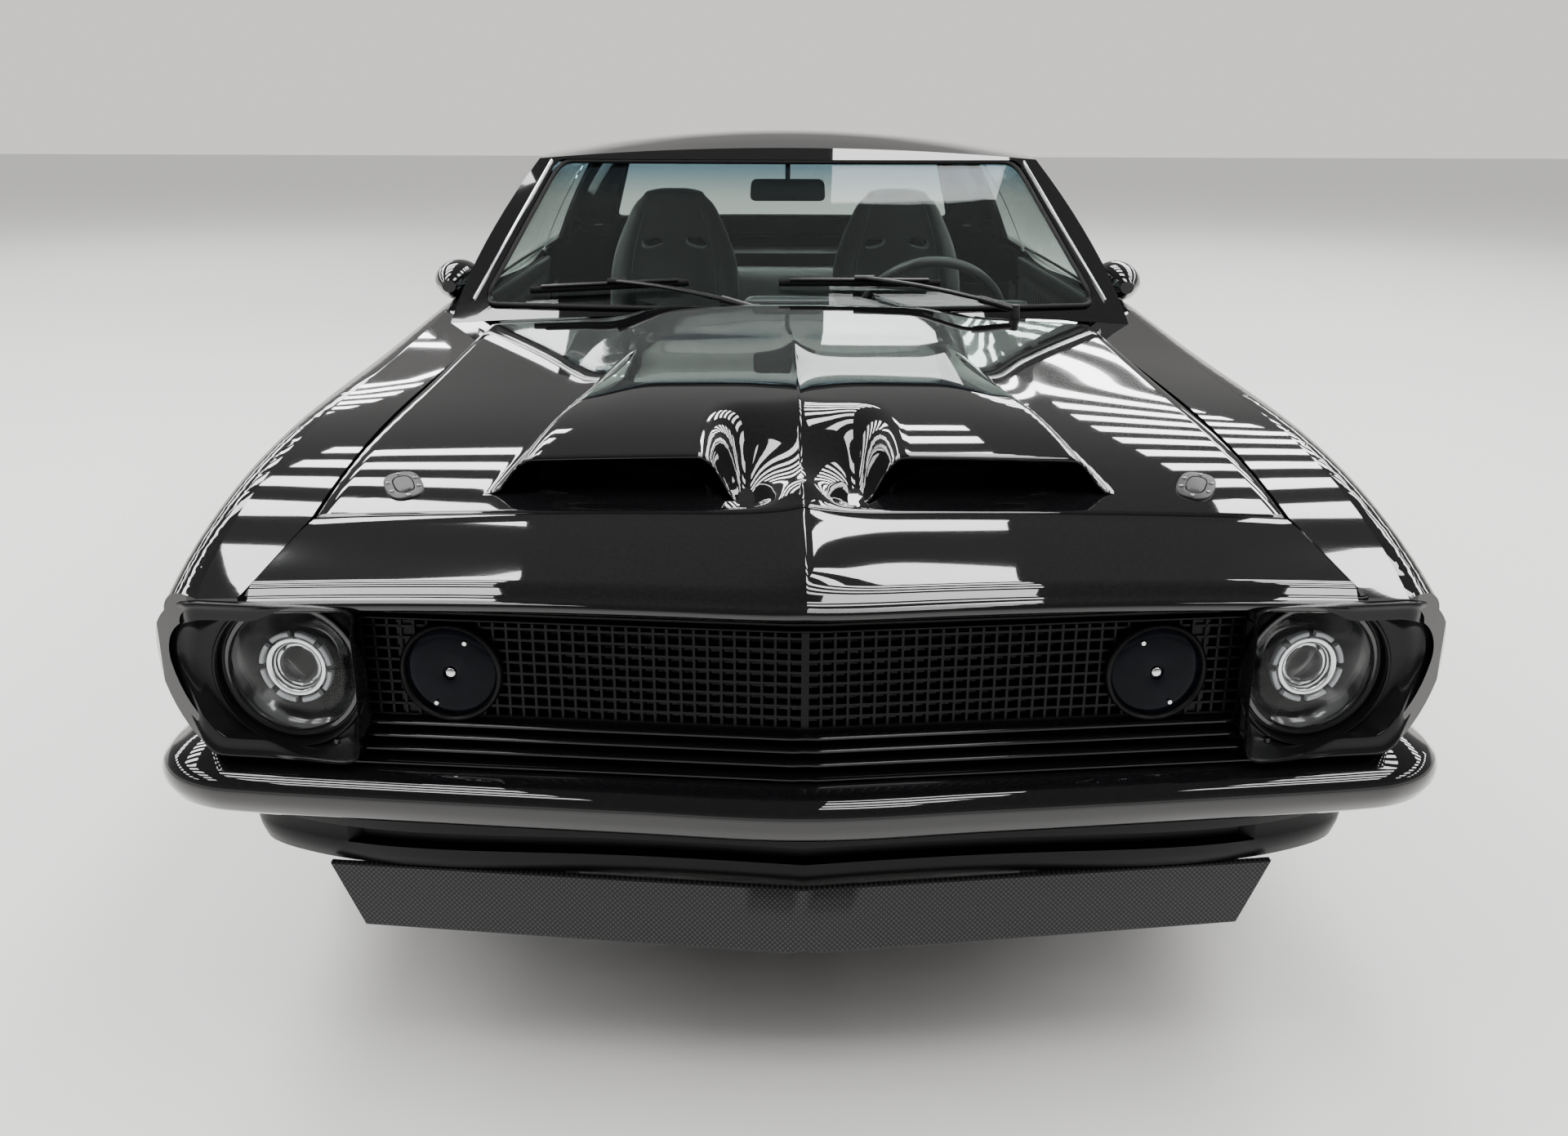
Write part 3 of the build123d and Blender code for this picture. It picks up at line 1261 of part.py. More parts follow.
with BuildPart() as front_subframe:
    add(subframe_half.part)
    with BuildSketch(Plane.XY.offset(LOWER_ARM_Z - 20)):
        with Locations((KINGPIN_X, FRONT_AXLE)):
            Circle(KINGPIN_RADIUS + BEARING_GAP)
    extrude(amount=UPPER_ARM_Z - LOWER_ARM_Z + 40, mode=Mode.SUBTRACT)
    mirror(about=Plane.YZ)
save(front_subframe, "front_subframe")

# Knuckles that turn on the kingpins and carry the front wheels
with BuildPart() as knuckle_left:
    with BuildSketch(Plane.XY.offset(LOWER_ARM_Z - 18)):
        with Locations((KINGPIN_X, FRONT_AXLE)):
            Circle(KINGPIN_RADIUS)
    extrude(amount=UPPER_ARM_Z - LOWER_ARM_Z + 32)
    with BuildSketch(Plane.XY.offset(LOWER_ARM_Z + 22)):
        with Locations((KINGPIN_X, FRONT_AXLE)):
            Circle(26)
    extrude(amount=UPPER_ARM_Z - LOWER_ARM_Z - 38)
    with BuildSketch(Plane.YZ.offset(KINGPIN_X)):
        with Locations((FRONT_AXLE, FRONT_HUB_HEIGHT)):
            Circle(SPINDLE_RADIUS)
    extrude(amount=SPINDLE_END - KINGPIN_X)
    with Locations((KINGPIN_X, FRONT_AXLE + STEERING_ARM / 2, LOWER_ARM_Z + 44)):
        Box(30, STEERING_ARM, 22)
save(knuckle_left, "knuckle_left")
with BuildPart() as knuckle_right:
    add(mirror(knuckle_left.part, about=Plane.YZ, mode=Mode.PRIVATE))
save(knuckle_right, "knuckle_right")

# Steering box and drag link between the rails
with BuildPart() as steering_gear:
    add(block((RAIL_X - 150, RAIL_X - RAIL_WIDTH / 2), (FRONT_AXLE + 100, FRONT_AXLE + 220), (RAIL_LOW + 10, RAIL_HIGH + 20)))
save(steering_gear, "steering_gear")

# Rear axle on two leaf springs
with BuildPart() as axle_tube:
    with BuildSketch(Plane.XY):
        with BuildLine():
            Polyline(
                (-SPINDLE_END, 0),
                (-SPINDLE_END, SPINDLE_RADIUS),
                (-AXLE_END, SPINDLE_RADIUS),
                (-AXLE_END, AXLE_TUBE),
                (-DIFF_RADIUS - 40, AXLE_TUBE),
                (-DIFF_RADIUS + 30, DIFF_RADIUS - 16),
                (-60, DIFF_RADIUS),
                (60, DIFF_RADIUS),
                (DIFF_RADIUS - 30, DIFF_RADIUS - 16),
                (DIFF_RADIUS + 40, AXLE_TUBE),
                (AXLE_END, AXLE_TUBE),
                (AXLE_END, SPINDLE_RADIUS),
                (SPINDLE_END, SPINDLE_RADIUS),
                (SPINDLE_END, 0),
                close=True,
            )
        make_face()
    revolve(axis=Axis.X)
with BuildPart() as rear_axle:
    with Locations((0, REAR_AXLE, REAR_HUB_HEIGHT)):
        add(axle_tube.part)
    for side in (-1, 1):
        with BuildSketch(Plane.YZ.offset(side * SPRING_X - SPRING_WIDTH / 2)):
            with BuildLine():
                Polyline(
                    (SPRING_FRONT, HEEL - 24),
                    (REAR_AXLE - 60, SPRING_LOW),
                    (REAR_AXLE + 60, SPRING_LOW),
                    (SPRING_REAR, HEEL + 20),
                    (SPRING_REAR, HEEL + 20 + SPRING_HEIGHT),
                    (REAR_AXLE + 60, SPRING_LOW + SPRING_HEIGHT),
                    (REAR_AXLE - 60, SPRING_LOW + SPRING_HEIGHT),
                    (SPRING_FRONT, HEEL - 24 + SPRING_HEIGHT),
                    close=True,
                )
            make_face()
        extrude(amount=SPRING_WIDTH)
        add(block((side * SPRING_X - 20, side * SPRING_X + 20), (SPRING_FRONT, SPRING_FRONT + 40), (HEEL - 10, HEEL + FLOOR_WALL)))
        add(block((side * SPRING_X - 20, side * SPRING_X + 20), (SPRING_REAR - 40, SPRING_REAR), (HEEL + 30, TRUNK_FLOOR)))
        add(
            block(
                (side * SPRING_X - SPRING_WIDTH / 2, side * SPRING_X + SPRING_WIDTH / 2),
                (REAR_AXLE - 40, REAR_AXLE + 40),
                (SPRING_LOW, REAR_HUB_HEIGHT - 10),
            )
        )
save(rear_axle, "rear_axle")

# Engine as one plain mass on two mounts, gearbox and propeller shaft, exhaust, tank
with BuildPart() as engine:
    with Locations((0, ENGINE_Y, ENGINE_LOW + ENGINE[2] / 2)):
        Box(*ENGINE)
    for side in (-1, 1):
        add(
            block(
                sorted((side * (ENGINE[0] / 2 - 20), side * (RAIL_X - 30))),
                (ENGINE_Y - 40, ENGINE_Y + 40),
                (RAIL_HIGH + 62, RAIL_HIGH + 100),
            )
        )
save(engine, "engine")
engine_rear = ENGINE_Y + ENGINE[1] / 2
with BuildPart() as driveline:
    with BuildSketch(Plane.XZ.offset(-engine_rear)):
        with Locations((0, SHAFT_Z)):
            Circle(GEARBOX_RADIUS)
    extrude(amount=-GEARBOX_LENGTH)
    with BuildSketch(Plane.XZ.offset(-engine_rear - GEARBOX_LENGTH)):
        with Locations((0, SHAFT_Z)):
            Circle(SHAFT_RADIUS)
    extrude(amount=-(REAR_AXLE - DIFF_RADIUS + 0.5 - engine_rear - GEARBOX_LENGTH))
save(driveline, "driveline")

with BuildPart() as exhaust:
    for side in (-1, 1):
        pipe_x = side * PIPE_X
        with BuildLine():
            Polyline(
                (pipe_x, PIPE_FRONT, PIPE_Z),
                (pipe_x, PIPE_RISE[0], PIPE_Z),
                (pipe_x, PIPE_RISE[1], TAIL_PIPE_Z),
                (pipe_x, PIPE_REAR, TAIL_PIPE_Z),
            )
        with BuildSketch(Plane.XZ.offset(-PIPE_FRONT)):
            with Locations((pipe_x, PIPE_Z)):
                Circle(PIPE_RADIUS)
        sweep(transition=Transition.RIGHT)
        add(block((side * PIPE_X - 90, side * PIPE_X + 90), (-100, 420), (PIPE_Z - 45, PIPE_Z + 38)))
        add(block((side * PIPE_X - 12, side * PIPE_X + 12), (100, 130), (PIPE_Z, FLOOR)))
        add(block((side * PIPE_X - 12, side * PIPE_X + 12), (PIPE_REAR - 120, PIPE_REAR - 100), (TAIL_PIPE_Z, TRUNK_FLOOR)))
        add(block((side * PIPE_X - 22, side * PIPE_X + 22), (PIPE_FRONT, PIPE_FRONT + 40), (PIPE_Z, ENGINE_LOW)))
save(exhaust, "exhaust")

with BuildPart() as fuel_tank:
    with Locations((0, TANK_Y, TRUNK_FLOOR - TANK[2] / 2)):
        Box(*TANK)
    fillet(fuel_tank.edges().filter_by(Axis.Z), 60)
save(fuel_tank, "fuel_tank")


# Wheels and tyres
def tyre(diameter, width):
    """A tyre about the X axis with a square shoulder, centred on the origin."""
    tread = diameter / 2
    half = width / 2
    bead = RIM_HALF_WIDTH - RIM_LIP_WALL - BEAD_FIT
    with BuildPart() as made:
        with BuildSketch(Plane.XY):
            with BuildLine():
                Polyline(
                    (-bead, RIM_RADIUS + BEAD_FIT),
                    (-bead, RIM_RADIUS + RIM_LIP + 4),
                    (-half, RIM_RADIUS + 0.45 * (tread - RIM_RADIUS)),
                    (-half + 2, tread - 34),
                    (-half + 22, tread - 6),
                    (-half + 40, tread),
                    (half - 40, tread),
                    (half - 22, tread - 6),
                    (half - 2, tread - 34),
                    (half, RIM_RADIUS + 0.45 * (tread - RIM_RADIUS)),
                    (bead, RIM_RADIUS + RIM_LIP + 4),
                    (bead, RIM_RADIUS + BEAD_FIT),
                    close=True,
                )
            make_face()
        revolve(axis=Axis.X)
    return made.part


def road_wheel():
    """A left-hand road wheel about the X axis with its hub, disc and lug nuts, outer face to +X."""
    with BuildPart() as made:
        with BuildSketch(Plane.XY):
            with BuildLine():
                Polyline(
                    (-RIM_HALF_WIDTH, RIM_RADIUS - RIM_WALL),
                    (-RIM_HALF_WIDTH, RIM_RADIUS + RIM_LIP),
                    (-RIM_HALF_WIDTH + RIM_LIP_WALL, RIM_RADIUS + RIM_LIP),
                    (-RIM_HALF_WIDTH + RIM_LIP_WALL, RIM_RADIUS),
                    (RIM_HALF_WIDTH - RIM_LIP_WALL, RIM_RADIUS),
                    (RIM_HALF_WIDTH - RIM_LIP_WALL, RIM_RADIUS + RIM_LIP),
                    (RIM_HALF_WIDTH, RIM_RADIUS + RIM_LIP),
                    (RIM_HALF_WIDTH, RIM_RADIUS - RIM_WALL),
                    close=True,
                )
            make_face()
        revolve(axis=Axis.X)
        with BuildSketch(Plane.YZ.offset(SPOKE_FACE)):
            Circle(HUB_RADIUS)
            with PolarLocations(0, SPOKES):
                with Locations((RIM_RADIUS / 2, 0)):
                    Rectangle(RIM_RADIUS - RIM_WALL, SPOKE_WIDTH)
        extrude(amount=-SPOKE_DEPTH)
        with BuildSketch(Plane.YZ.offset(DISC_X - DISC_WALL / 2)):
            Circle(DISC_RADIUS)
        extrude(amount=DISC_WALL)
        with BuildSketch(Plane.YZ.offset(DISC_X - DISC_WALL / 2 - 4)):
            Circle(HUB_RADIUS)
        extrude(amount=SPOKE_FACE - DISC_X)
        with BuildSketch(Plane.YZ.offset(SPOKE_FACE)):
            with PolarLocations(LUG_CIRCLE, SPOKES, start_angle=180 / SPOKES):
                RegularPolygon(LUG_RADIUS, 6)
        extrude(amount=LUG_HEIGHT)
        with BuildSketch(Plane.YZ.offset(-RIM_HALF_WIDTH)):
            Circle(SPINDLE_RADIUS + BEARING_GAP)
        extrude(amount=2 * RIM_HALF_WIDTH, mode=Mode.SUBTRACT)
    return made.part


left_wheel = road_wheel()
right_wheel = left_wheel.mirror(Plane.YZ)
for end, axle, height, diameter, width in (
    ("front", FRONT_AXLE, FRONT_HUB_HEIGHT, FRONT_TYRE_DIAMETER, FRONT_TYRE_WIDTH),
    ("rear", REAR_AXLE, REAR_HUB_HEIGHT, REAR_TYRE_DIAMETER, REAR_TYRE_WIDTH),
):
    rubber = tyre(diameter, width)
    for side, x, made in (("left", WHEEL_X, left_wheel), ("right", -WHEEL_X, right_wheel)):
        with BuildPart() as placed_wheel:
            with Locations((x, axle, height)):
                add(made)
        save(placed_wheel, f"wheel_{end}_{side}")
        with BuildPart() as placed_tyre:
            with Locations((x, axle, height)):
                add(rubber)
        save(placed_tyre, f"tyre_{end}_{side}")
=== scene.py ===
"""A gloss-black late-sixties two-door hardtop coupe on a pale studio floor. Metres, nose towards -Y."""
import math

import bpy
import bmesh
import numpy as np
from mathutils import Matrix, Vector
from mathutils.bvhtree import BVHTree


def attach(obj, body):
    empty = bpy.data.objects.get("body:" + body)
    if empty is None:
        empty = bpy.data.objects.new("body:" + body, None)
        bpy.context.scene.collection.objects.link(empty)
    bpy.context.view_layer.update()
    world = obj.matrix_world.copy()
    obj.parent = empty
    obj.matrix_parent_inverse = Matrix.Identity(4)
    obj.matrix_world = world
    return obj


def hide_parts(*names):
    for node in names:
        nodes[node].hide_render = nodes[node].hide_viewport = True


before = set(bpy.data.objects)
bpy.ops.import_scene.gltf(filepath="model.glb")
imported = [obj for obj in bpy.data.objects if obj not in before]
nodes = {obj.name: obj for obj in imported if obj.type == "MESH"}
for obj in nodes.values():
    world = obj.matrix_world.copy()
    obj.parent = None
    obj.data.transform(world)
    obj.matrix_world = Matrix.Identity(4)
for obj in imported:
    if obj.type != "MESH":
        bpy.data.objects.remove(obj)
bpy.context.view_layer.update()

# Studio: a pale floor under rows of short overhead tubes, with bright walls around and a dark ceiling, which
# is what the paint mirrors.
floor_mesh = bpy.data.meshes.new("studio_floor")
floor_mesh.from_pydata([(-40, -40, 0), (40, -40, 0), (40, 40, 0), (-40, 40, 0)], [], [(0, 1, 2, 3)])
studio_floor = bpy.data.objects.new("studio_floor", floor_mesh)
bpy.context.collection.objects.link(studio_floor)
floor_paint = bpy.data.materials.new("studio_floor")
floor_paint.use_nodes = True
floor_shader = floor_paint.node_tree.nodes["Principled BSDF"]
floor_shader.inputs["Base Color"].default_value = (0.72, 0.71, 0.695, 1)
floor_shader.inputs["Roughness"].default_value = 0.5
floor_mesh.materials.append(floor_paint)


def add_node(tree, kind, inputs, **settings):
    """A node whose inputs are plain values, or (node, output) pairs that are linked."""
    added = tree.nodes.new(kind)
    for key, value in settings.items():
        setattr(added, key, value)
    for label, value in inputs.items():
        if isinstance(value, tuple):
            tree.links.new(value[0].outputs[value[1]], added.inputs[label])
        else:
            added.inputs[label].default_value = value
    return added


def add_ramp(tree, source, stops):
    """A colour ramp through (position, colour) stops, fed from a (node, output) pair."""
    ramp = add_node(tree, "ShaderNodeValToRGB", {"Fac": source})
    for number, (position, colour) in enumerate(stops):
        stop = ramp.color_ramp.elements[number] if number < 2 else ramp.color_ramp.elements.new(position)
        stop.position = position
        stop.color = (*colour[:3], 1)
    return ramp


def add_light(name, kind, watts, place, **settings):
    """One light of the studio, with its own settings in the order given."""
    data = bpy.data.lights.new(name, kind)
    data.energy = watts
    for key, value in settings.items():
        setattr(data, key, value)
    light = bpy.data.objects.new(name, data)
    bpy.context.collection.objects.link(light)
    light.location = place
    return light


world = bpy.data.worlds.new("studio")
bpy.context.scene.world = world
world.use_nodes = True
sky = world.node_tree
sky_place = add_node(sky, "ShaderNodeTexCoord", {})
sky_split = add_node(sky, "ShaderNodeSeparateXYZ", {"Vector": (sky_place, "Generated")})
SKY_STOPS = [(0.07, (1.05, 1.03, 1.0)), (0.16, (0.26, 0.255, 0.25)), (0.52, (0.15, 0.148, 0.146))]
sky_ramp = add_ramp(sky, (sky_split, "Z"), SKY_STOPS)
sky.links.new(sky_ramp.outputs["Color"], sky.nodes["Background"].inputs["Color"])
sky.nodes["Background"].inputs["Strength"].default_value = 0.95

TUBE_WIDTH, TUBE_HEIGHT, TUBE_WATTS_A_METRE = 0.33, 3.9, 13.7
TUBE_FIRST_ROW, TUBE_STEP = -4.1, 0.72
TUBE_COLUMNS = [
    # x of the middle, length across the car, number of rows
    (-7.05, 0.95, 22), (-4.45, 0.95, 22), (-2.15, 1.55, 12), (0.75, 0.95, 12), (3.10, 1.45, 22),
    (5.95, 0.95, 22), (8.55, 0.95, 12),
]
for column, (x, length, rows) in enumerate(TUBE_COLUMNS):
    for row in range(rows):
        place = (x, TUBE_FIRST_ROW + TUBE_STEP * row, TUBE_HEIGHT)
        sizes = {"shape": "RECTANGLE", "size": length, "size_y": TUBE_WIDTH}
        add_light(f"tube_{column}_{row}", "AREA", TUBE_WATTS_A_METRE * length, place, **sizes)
soft_fill = add_light("ceiling_fill", "AREA", 520, (0, 4, 7), shape="RECTANGLE", size=26, size_y=26)
soft_fill.visible_glossy = False
even_light = add_light("even_light", "SUN", 2.5, (0, 0, 0), angle=math.radians(130))
even_light.visible_glossy = False

# Camera: in front of the nose at 1.35 m, a little over the height of the roof, looking down at the hood.
camera_data = bpy.data.cameras.new("camera")
camera_data.sensor_width = 36
camera_data.sensor_fit = "HORIZONTAL"
camera_data.lens = 31.93
camera = bpy.data.objects.new("camera", camera_data)
bpy.context.collection.objects.link(camera)
yaw, pitch, roll = math.radians(0.63), math.radians(18.25), math.radians(0.2)
forward = Vector((math.sin(yaw) * math.cos(pitch), math.cos(yaw) * math.cos(pitch), -math.sin(pitch)))
level = Vector((math.cos(yaw), -math.sin(yaw), 0))
upward = level.cross(forward)
across = level * math.cos(roll) + upward * math.sin(roll)
top = upward * math.cos(roll) - level * math.sin(roll)
camera.matrix_world = Matrix(
    (
        (across.x, top.x, -forward.x, -0.047),
        (across.y, top.y, -forward.y, -3.954),
        (across.z, top.z, -forward.z, 1.354),
        (0, 0, 0, 1),
    )
)
bpy.context.scene.camera = camera

# Body panels: pressed steel under a deep black colour and a hard clear coat, with the faintest orange peel.
# Fenders, doors, quarters, deck and roof are separate panels with even gaps between them.
SOCKETS = {
    "specular": "Specular IOR Level", "clear": "Transmission Weight", "ior": "IOR", "sheen": "Sheen Weight"
}


def new_finish(name, colour, roughness, metallic=0.0, coat=0.0, coat_roughness=0.03, **sockets):
    """A material with its shader's own sockets set, ready for a pattern; further sockets by name."""
    made = bpy.data.materials.new(name)
    made.use_nodes = True
    shader = made.node_tree.nodes["Principled BSDF"]
    shader.inputs["Base Color"].default_value = (*colour, 1)
    shader.inputs["Roughness"].default_value = roughness
    shader.inputs["Metallic"].default_value = metallic
    shader.inputs["Coat Weight"].default_value = coat
    shader.inputs["Coat Roughness"].default_value = coat_roughness
    for socket, value in sockets.items():
        shader.inputs[SOCKETS[socket]].default_value = value
    return made


def add_grain(made, scale, strength, depth, detail=3.0, shade=None, rough=None, stretch=(1, 1, 1)):
    """Noise in a finish: a bump, and where given a second shade and a spread of roughness."""
    tree = made.node_tree
    shader = tree.nodes["Principled BSDF"]
    place = add_node(tree, "ShaderNodeTexCoord", {})
    turn = add_node(tree, "ShaderNodeMapping", {"Vector": (place, "Object"), "Scale": list(stretch)})
    grain = add_node(
        tree, "ShaderNodeTexNoise", {"Vector": (turn, "Vector"), "Scale": scale, "Detail": detail}
    )
    bump = add_node(
        tree, "ShaderNodeBump", {"Height": (grain, "Fac"), "Strength": strength, "Distance": depth}
    )
    tree.links.new(bump.outputs["Normal"], shader.inputs["Normal"])
    if shade:
        ramp = add_ramp(
            tree, (grain, "Fac"), [(0.35, shader.inputs["Base Color"].default_value), (0.7, shade)]
        )
        tree.links.new(ramp.outputs["Color"], shader.inputs["Base Color"])
    if rough:
        spread = add_node(
            tree, "ShaderNodeMapRange", {"Value": (grain, "Fac"), "To Min": rough[0], "To Max": rough[1]}
        )
        tree.links.new(spread.outputs["Result"], shader.inputs["Roughness"])
    return made


paint = new_finish(
    "gloss_black_paint", (0.0030, 0.0030, 0.0034), 0.03, coat=1.0, coat_roughness=0.01, specular=0.2
)
add_grain(paint, 190, 0.01, 0.0004, detail=1.0, shade=(0.0045, 0.0045, 0.005))


def finish_with(material, *names):
    """Gives each named CAD piece one finish all over."""
    for name in names:
        slots = nodes[name].data.materials
        slots.clear()
        slots.append(material)


finish_with(
    paint, "front_fenders", "cowl_panel", "quarter_panels", "tail_panel", "trunk_lid", "door_left",
    "door_right", "roof_shell", "front_bumper", "rear_bumper", "front_valance", "rear_valance",
)

# Hood: one steel skin with a centre spine and two open scoops pressed into it, on a hinge at the cowl.
# Its height over the plan is the body's crown plus the spine, the scoops, and the dips in front of them.
BODY_ROWS = [
    # y, half width and height at the edge of the top, height of the crown (mm)
    (-2345, 770, 722, 748),
    (-2225, 800, 742, 776),
    (-1950, 812, 812, 832),
    (-1413, 800, 868, 890),
    (-700, 790, 912, 946),
    (0, 780, 922, 958),
    (600, 780, 936, 968),
]
MOUTH_Y, SCOOP_END_Y = -1985.0, -1219.0
HOOD_REAR_Y = -920.0
HOOD_HALF_FRONT, HOOD_HALF_REAR, HOOD_SWEEP = 696.5, 647.5, 30
MOUTH_DEPTH = 230.0
MOUTH_PROFILE = [
    (0, 6), (30, -1), (62, -17), (88, -23), (104, -6), (126, 34), (140, 49), (152, 53), (170, 53)
]
HOOD_THICKNESS = 19.0
# the crease and the swell under it: rise, width, where it ends, and how long it takes to fade
CREST_RISE, CREST_WIDTH, CREST_END, CREST_FADE = 7.0, 20.0, -1080, 420.0
SWELL_RISE, SWELL_WIDTH, SWELL_END, SWELL_FADE = 5.0, 60.0, -1500, 500.0
# places across the car: the mouths' inner and outer ends, and the end of the profile between them
MOUTH_INNER, MOUTH_OUTER, PROFILE_END = 88, 466, 152
SCOOP_HEIGHT, MOUTH_DIP, LIP_DROP = 53, 23, 7.2
LIP_ROLL = ((0, 0), (-2.6, -1.2), (-3.4, -3.6), (-2.4, -6.0), (0, -LIP_DROP))


def through_rows(rows, places):
    """A natural cubic through a table whose first column is the place along the car."""
    table = np.array(rows, dtype=float)
    knots, values = table[:, 0], table[:, 1:]
    count = len(knots)
    step = np.diff(knots)
    system = np.eye(count)
    right = np.zeros_like(values)
    for i in range(1, count - 1):
        system[i, i - 1 : i + 2] = (step[i - 1], 2 * (step[i - 1] + step[i]), step[i])
        right[i] = 6 * ((values[i + 1] - values[i]) / step[i] - (values[i] - values[i - 1]) / step[i - 1])
    bend = np.linalg.solve(system, right)
    places = np.asarray(places, dtype=float)
    i = np.clip(np.searchsorted(knots, places) - 1, 0, count - 2)
    near = ((knots[i + 1] - places) / step[i])[..., None]
    far = 1 - near
    span = step[i][..., None] ** 2 / 6
    return near * values[i] + far * values[i + 1] + span * (
        (near**3 - near) * bend[i] + (far**3 - far) * bend[i + 1]
    )


def ease(value):
    """0 to 1 with flat ends."""
    value = np.clip(value, 0, 1)
    return value**3 * (value * (6 * value - 15) + 10)


def crown(x, y):
    """Height of the plain body top over any place in plan."""
    row = through_rows(BODY_ROWS, y)
    return row[..., 2] - (row[..., 2] - row[..., 1]) * (x / row[..., 0]) ** 2


def spine(s, y):
    """The sharp crease down the middle, which fades out before the cowl."""
    crest = CREST_RISE * np.exp(-s / CREST_WIDTH) * ease((CREST_END - y) / CREST_FADE)
    return crest + SWELL_RISE * np.exp(-((s / SWELL_WIDTH) ** 2)) * ease((SWELL_END - y) / SWELL_FADE)


def scoop_rise(s, y):
    """How far the scoops stand over the crown, behind their mouths."""
    along = np.clip((y - MOUTH_Y) / (SCOOP_END_Y - MOUTH_Y), 0, 1)
    low = MOUTH_OUTER - 166 * along
    high = 388 - 98 * along
    plateau = SCOOP_HEIGHT * (1 - ease(along * 0.93))
    outer = ease((low - s) / (low - high))
    inner = through_rows(MOUTH_PROFILE, np.clip(s, 0, 170))[..., 0]
    behind = ease((y - MOUTH_Y) / 250.0)
    inner = inner * (1 - behind) + plateau * behind
    joined = np.where(s < PROFILE_END, inner, plateau)
    back = 20 * ease((y - MOUTH_Y) / 700.0) * ease((440 - s) / 210.0)
    return joined * outer + back


def mouth_floor(s, y):
    """How far the skin dips towards the mouths, in front of them."""
    middle = through_rows(MOUTH_PROFILE, np.clip(s, 0, MOUTH_INNER))[..., 0]
    side = -MOUTH_DIP * ease((MOUTH_OUTER - s) / (MOUTH_OUTER - MOUTH_INNER)) ** 0.75
    return np.where(s < MOUTH_INNER, middle, side) * ease((y + 2060) / 78.0)


def skin(s, y, form):
    """Height of the hood: its crown and crease, with the scoops' rise or the floor in front of them."""
    return crown(s, y) + spine(s, y) + form(s, y)


def make_piece(name, points, faces, material, body, slot, sharp=35, merge=0.00002, smooth=True):
    """A closed or open mesh from points in mm, merged, turned outwards, finished and set on its body."""
    mesh = bpy.data.meshes.new(name)
    mesh.from_pydata([(p[0] / 1000, p[1] / 1000, p[2] / 1000) for p in points], [], faces)
    work = bmesh.new()
    work.from_mesh(mesh)
    bmesh.ops.remove_doubles(work, verts=work.verts, dist=merge)
    bmesh.ops.dissolve_degenerate(work, edges=work.edges, dist=merge / 2)
    bmesh.ops.recalc_face_normals(work, faces=work.faces)
    work.to_mesh(mesh)
    work.free()
    if smooth:
        mesh.shade_smooth()
        mesh.set_sharp_from_angle(angle=math.radians(sharp))
    piece = bpy.data.objects.new(name, mesh)
    bpy.context.collection.objects.link(piece)
    mesh.materials.append(material)
    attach(piece, body)
    return piece


def grid_faces(rows, columns, start=0, wrap=False):
    """Quads over a grid of points stored row after row."""
    across = columns if wrap else columns - 1
    return [
        (
            start + r * columns + c,
            start + r * columns + (c + 1) % columns,
            start + (r + 1) * columns + (c + 1) % columns,
            start + (r + 1) * columns + c,
        )
        for r in range(rows - 1)
        for c in range(across)
    ]


def hood_side(y):
    """Half width of the hood at a place along the car."""
    return HOOD_HALF_FRONT + (HOOD_HALF_REAR - HOOD_HALF_FRONT) * (y + 2036) / (2036 - 915)


def hood_front(s):
    """Where the hood's swept front edge lies at a half width."""
    return -2063.5 + HOOD_SWEEP * s / HOOD_HALF_FRONT


half_columns = np.concatenate(
    [[0, 3, 7, 12, 18, 25, 33, 42], np.arange(50, 152, 6), np.arange(152, 280, 9), np.arange(280, 472, 6)]
)
wing = np.linspace(0, 1, 13)[1:]
hood_points = []
hood_faces = []


def hood_row_s(y):
    """Distances from the centreline of one row's points, out to the hood's side gap."""
    return np.concatenate([half_columns, half_columns[-1] + (hood_side(y) - half_columns[-1]) * wing])


def add_sheet(rows):
    """Adds rows of points as one sheet and returns the number of its first point."""
    start = len(hood_points)
    for row in rows:
        hood_points.extend(row)
    hood_faces.extend(grid_faces(len(rows), len(rows[0]), start))
    return start


front_rows = []
for share in np.linspace(0, 1, 14):
    s = hood_row_s(-2036 + 50 * share)
    start_y = hood_front(s)
    y = start_y + (MOUTH_Y - start_y) * share
    front_rows.append((s, y, skin(s, y, mouth_floor)))
back_rows = []
for y_row in np.concatenate([np.linspace(MOUTH_Y, -1700, 34), np.linspace(-1690, HOOD_REAR_Y, 60)]):
    s = hood_row_s(y_row)
    y = np.full_like(s, y_row)
    back_rows.append((s, y, skin(s, y, scoop_rise)))


def both_sides(row):
    """A full row from the right side to the left, from the half row."""
    s, y, z = row
    left = [(a, b, c) for a, b, c in zip(s, y, z)]
    return [(-a, b, c) for a, b, c in left[:0:-1]] + left


def rimmed(row):
    """The row with the rolled-over edge of the skin at both sides."""
    s, y, z = row
    roll = [(0.0, 0.0), (1.1, -0.5), (2.0, -1.7), (2.3, -3.0), (2.3, -HOOD_THICKNESS)]
    edge_s, edge_y, edge_z = s[-1] - 2.3, y[-1], z[-1]
    s = np.concatenate([s[:-1], [edge_s + a for a, _ in roll]])
    y = np.concatenate([y[:-1], [edge_y for _ in roll]])
    z = np.concatenate([z[:-1], [edge_z + b for _, b in roll]])
    return (s, y, z)


front_rows = [rimmed(row) for row in front_rows]
back_rows = [rimmed(row) for row in back_rows]
lip = [(0.0, -HOOD_THICKNESS), (0.0, -3.0), (0.4, -1.4), (1.4, -0.4)]
s0, y0, z0 = front_rows[0]
lip_rows = [(s0, y0 + a, z0 + b) for a, b in lip]
front_rows[0] = (s0, y0 + 3, z0)
s1, y1, z1 = back_rows[-1]
rear_rows = [(s1, y1 + 3 - a, z1 + b) for a, b in reversed(lip)]
add_sheet([both_sides(row) for row in lip_rows + front_rows])
add_sheet([both_sides(row) for row in back_rows + rear_rows])

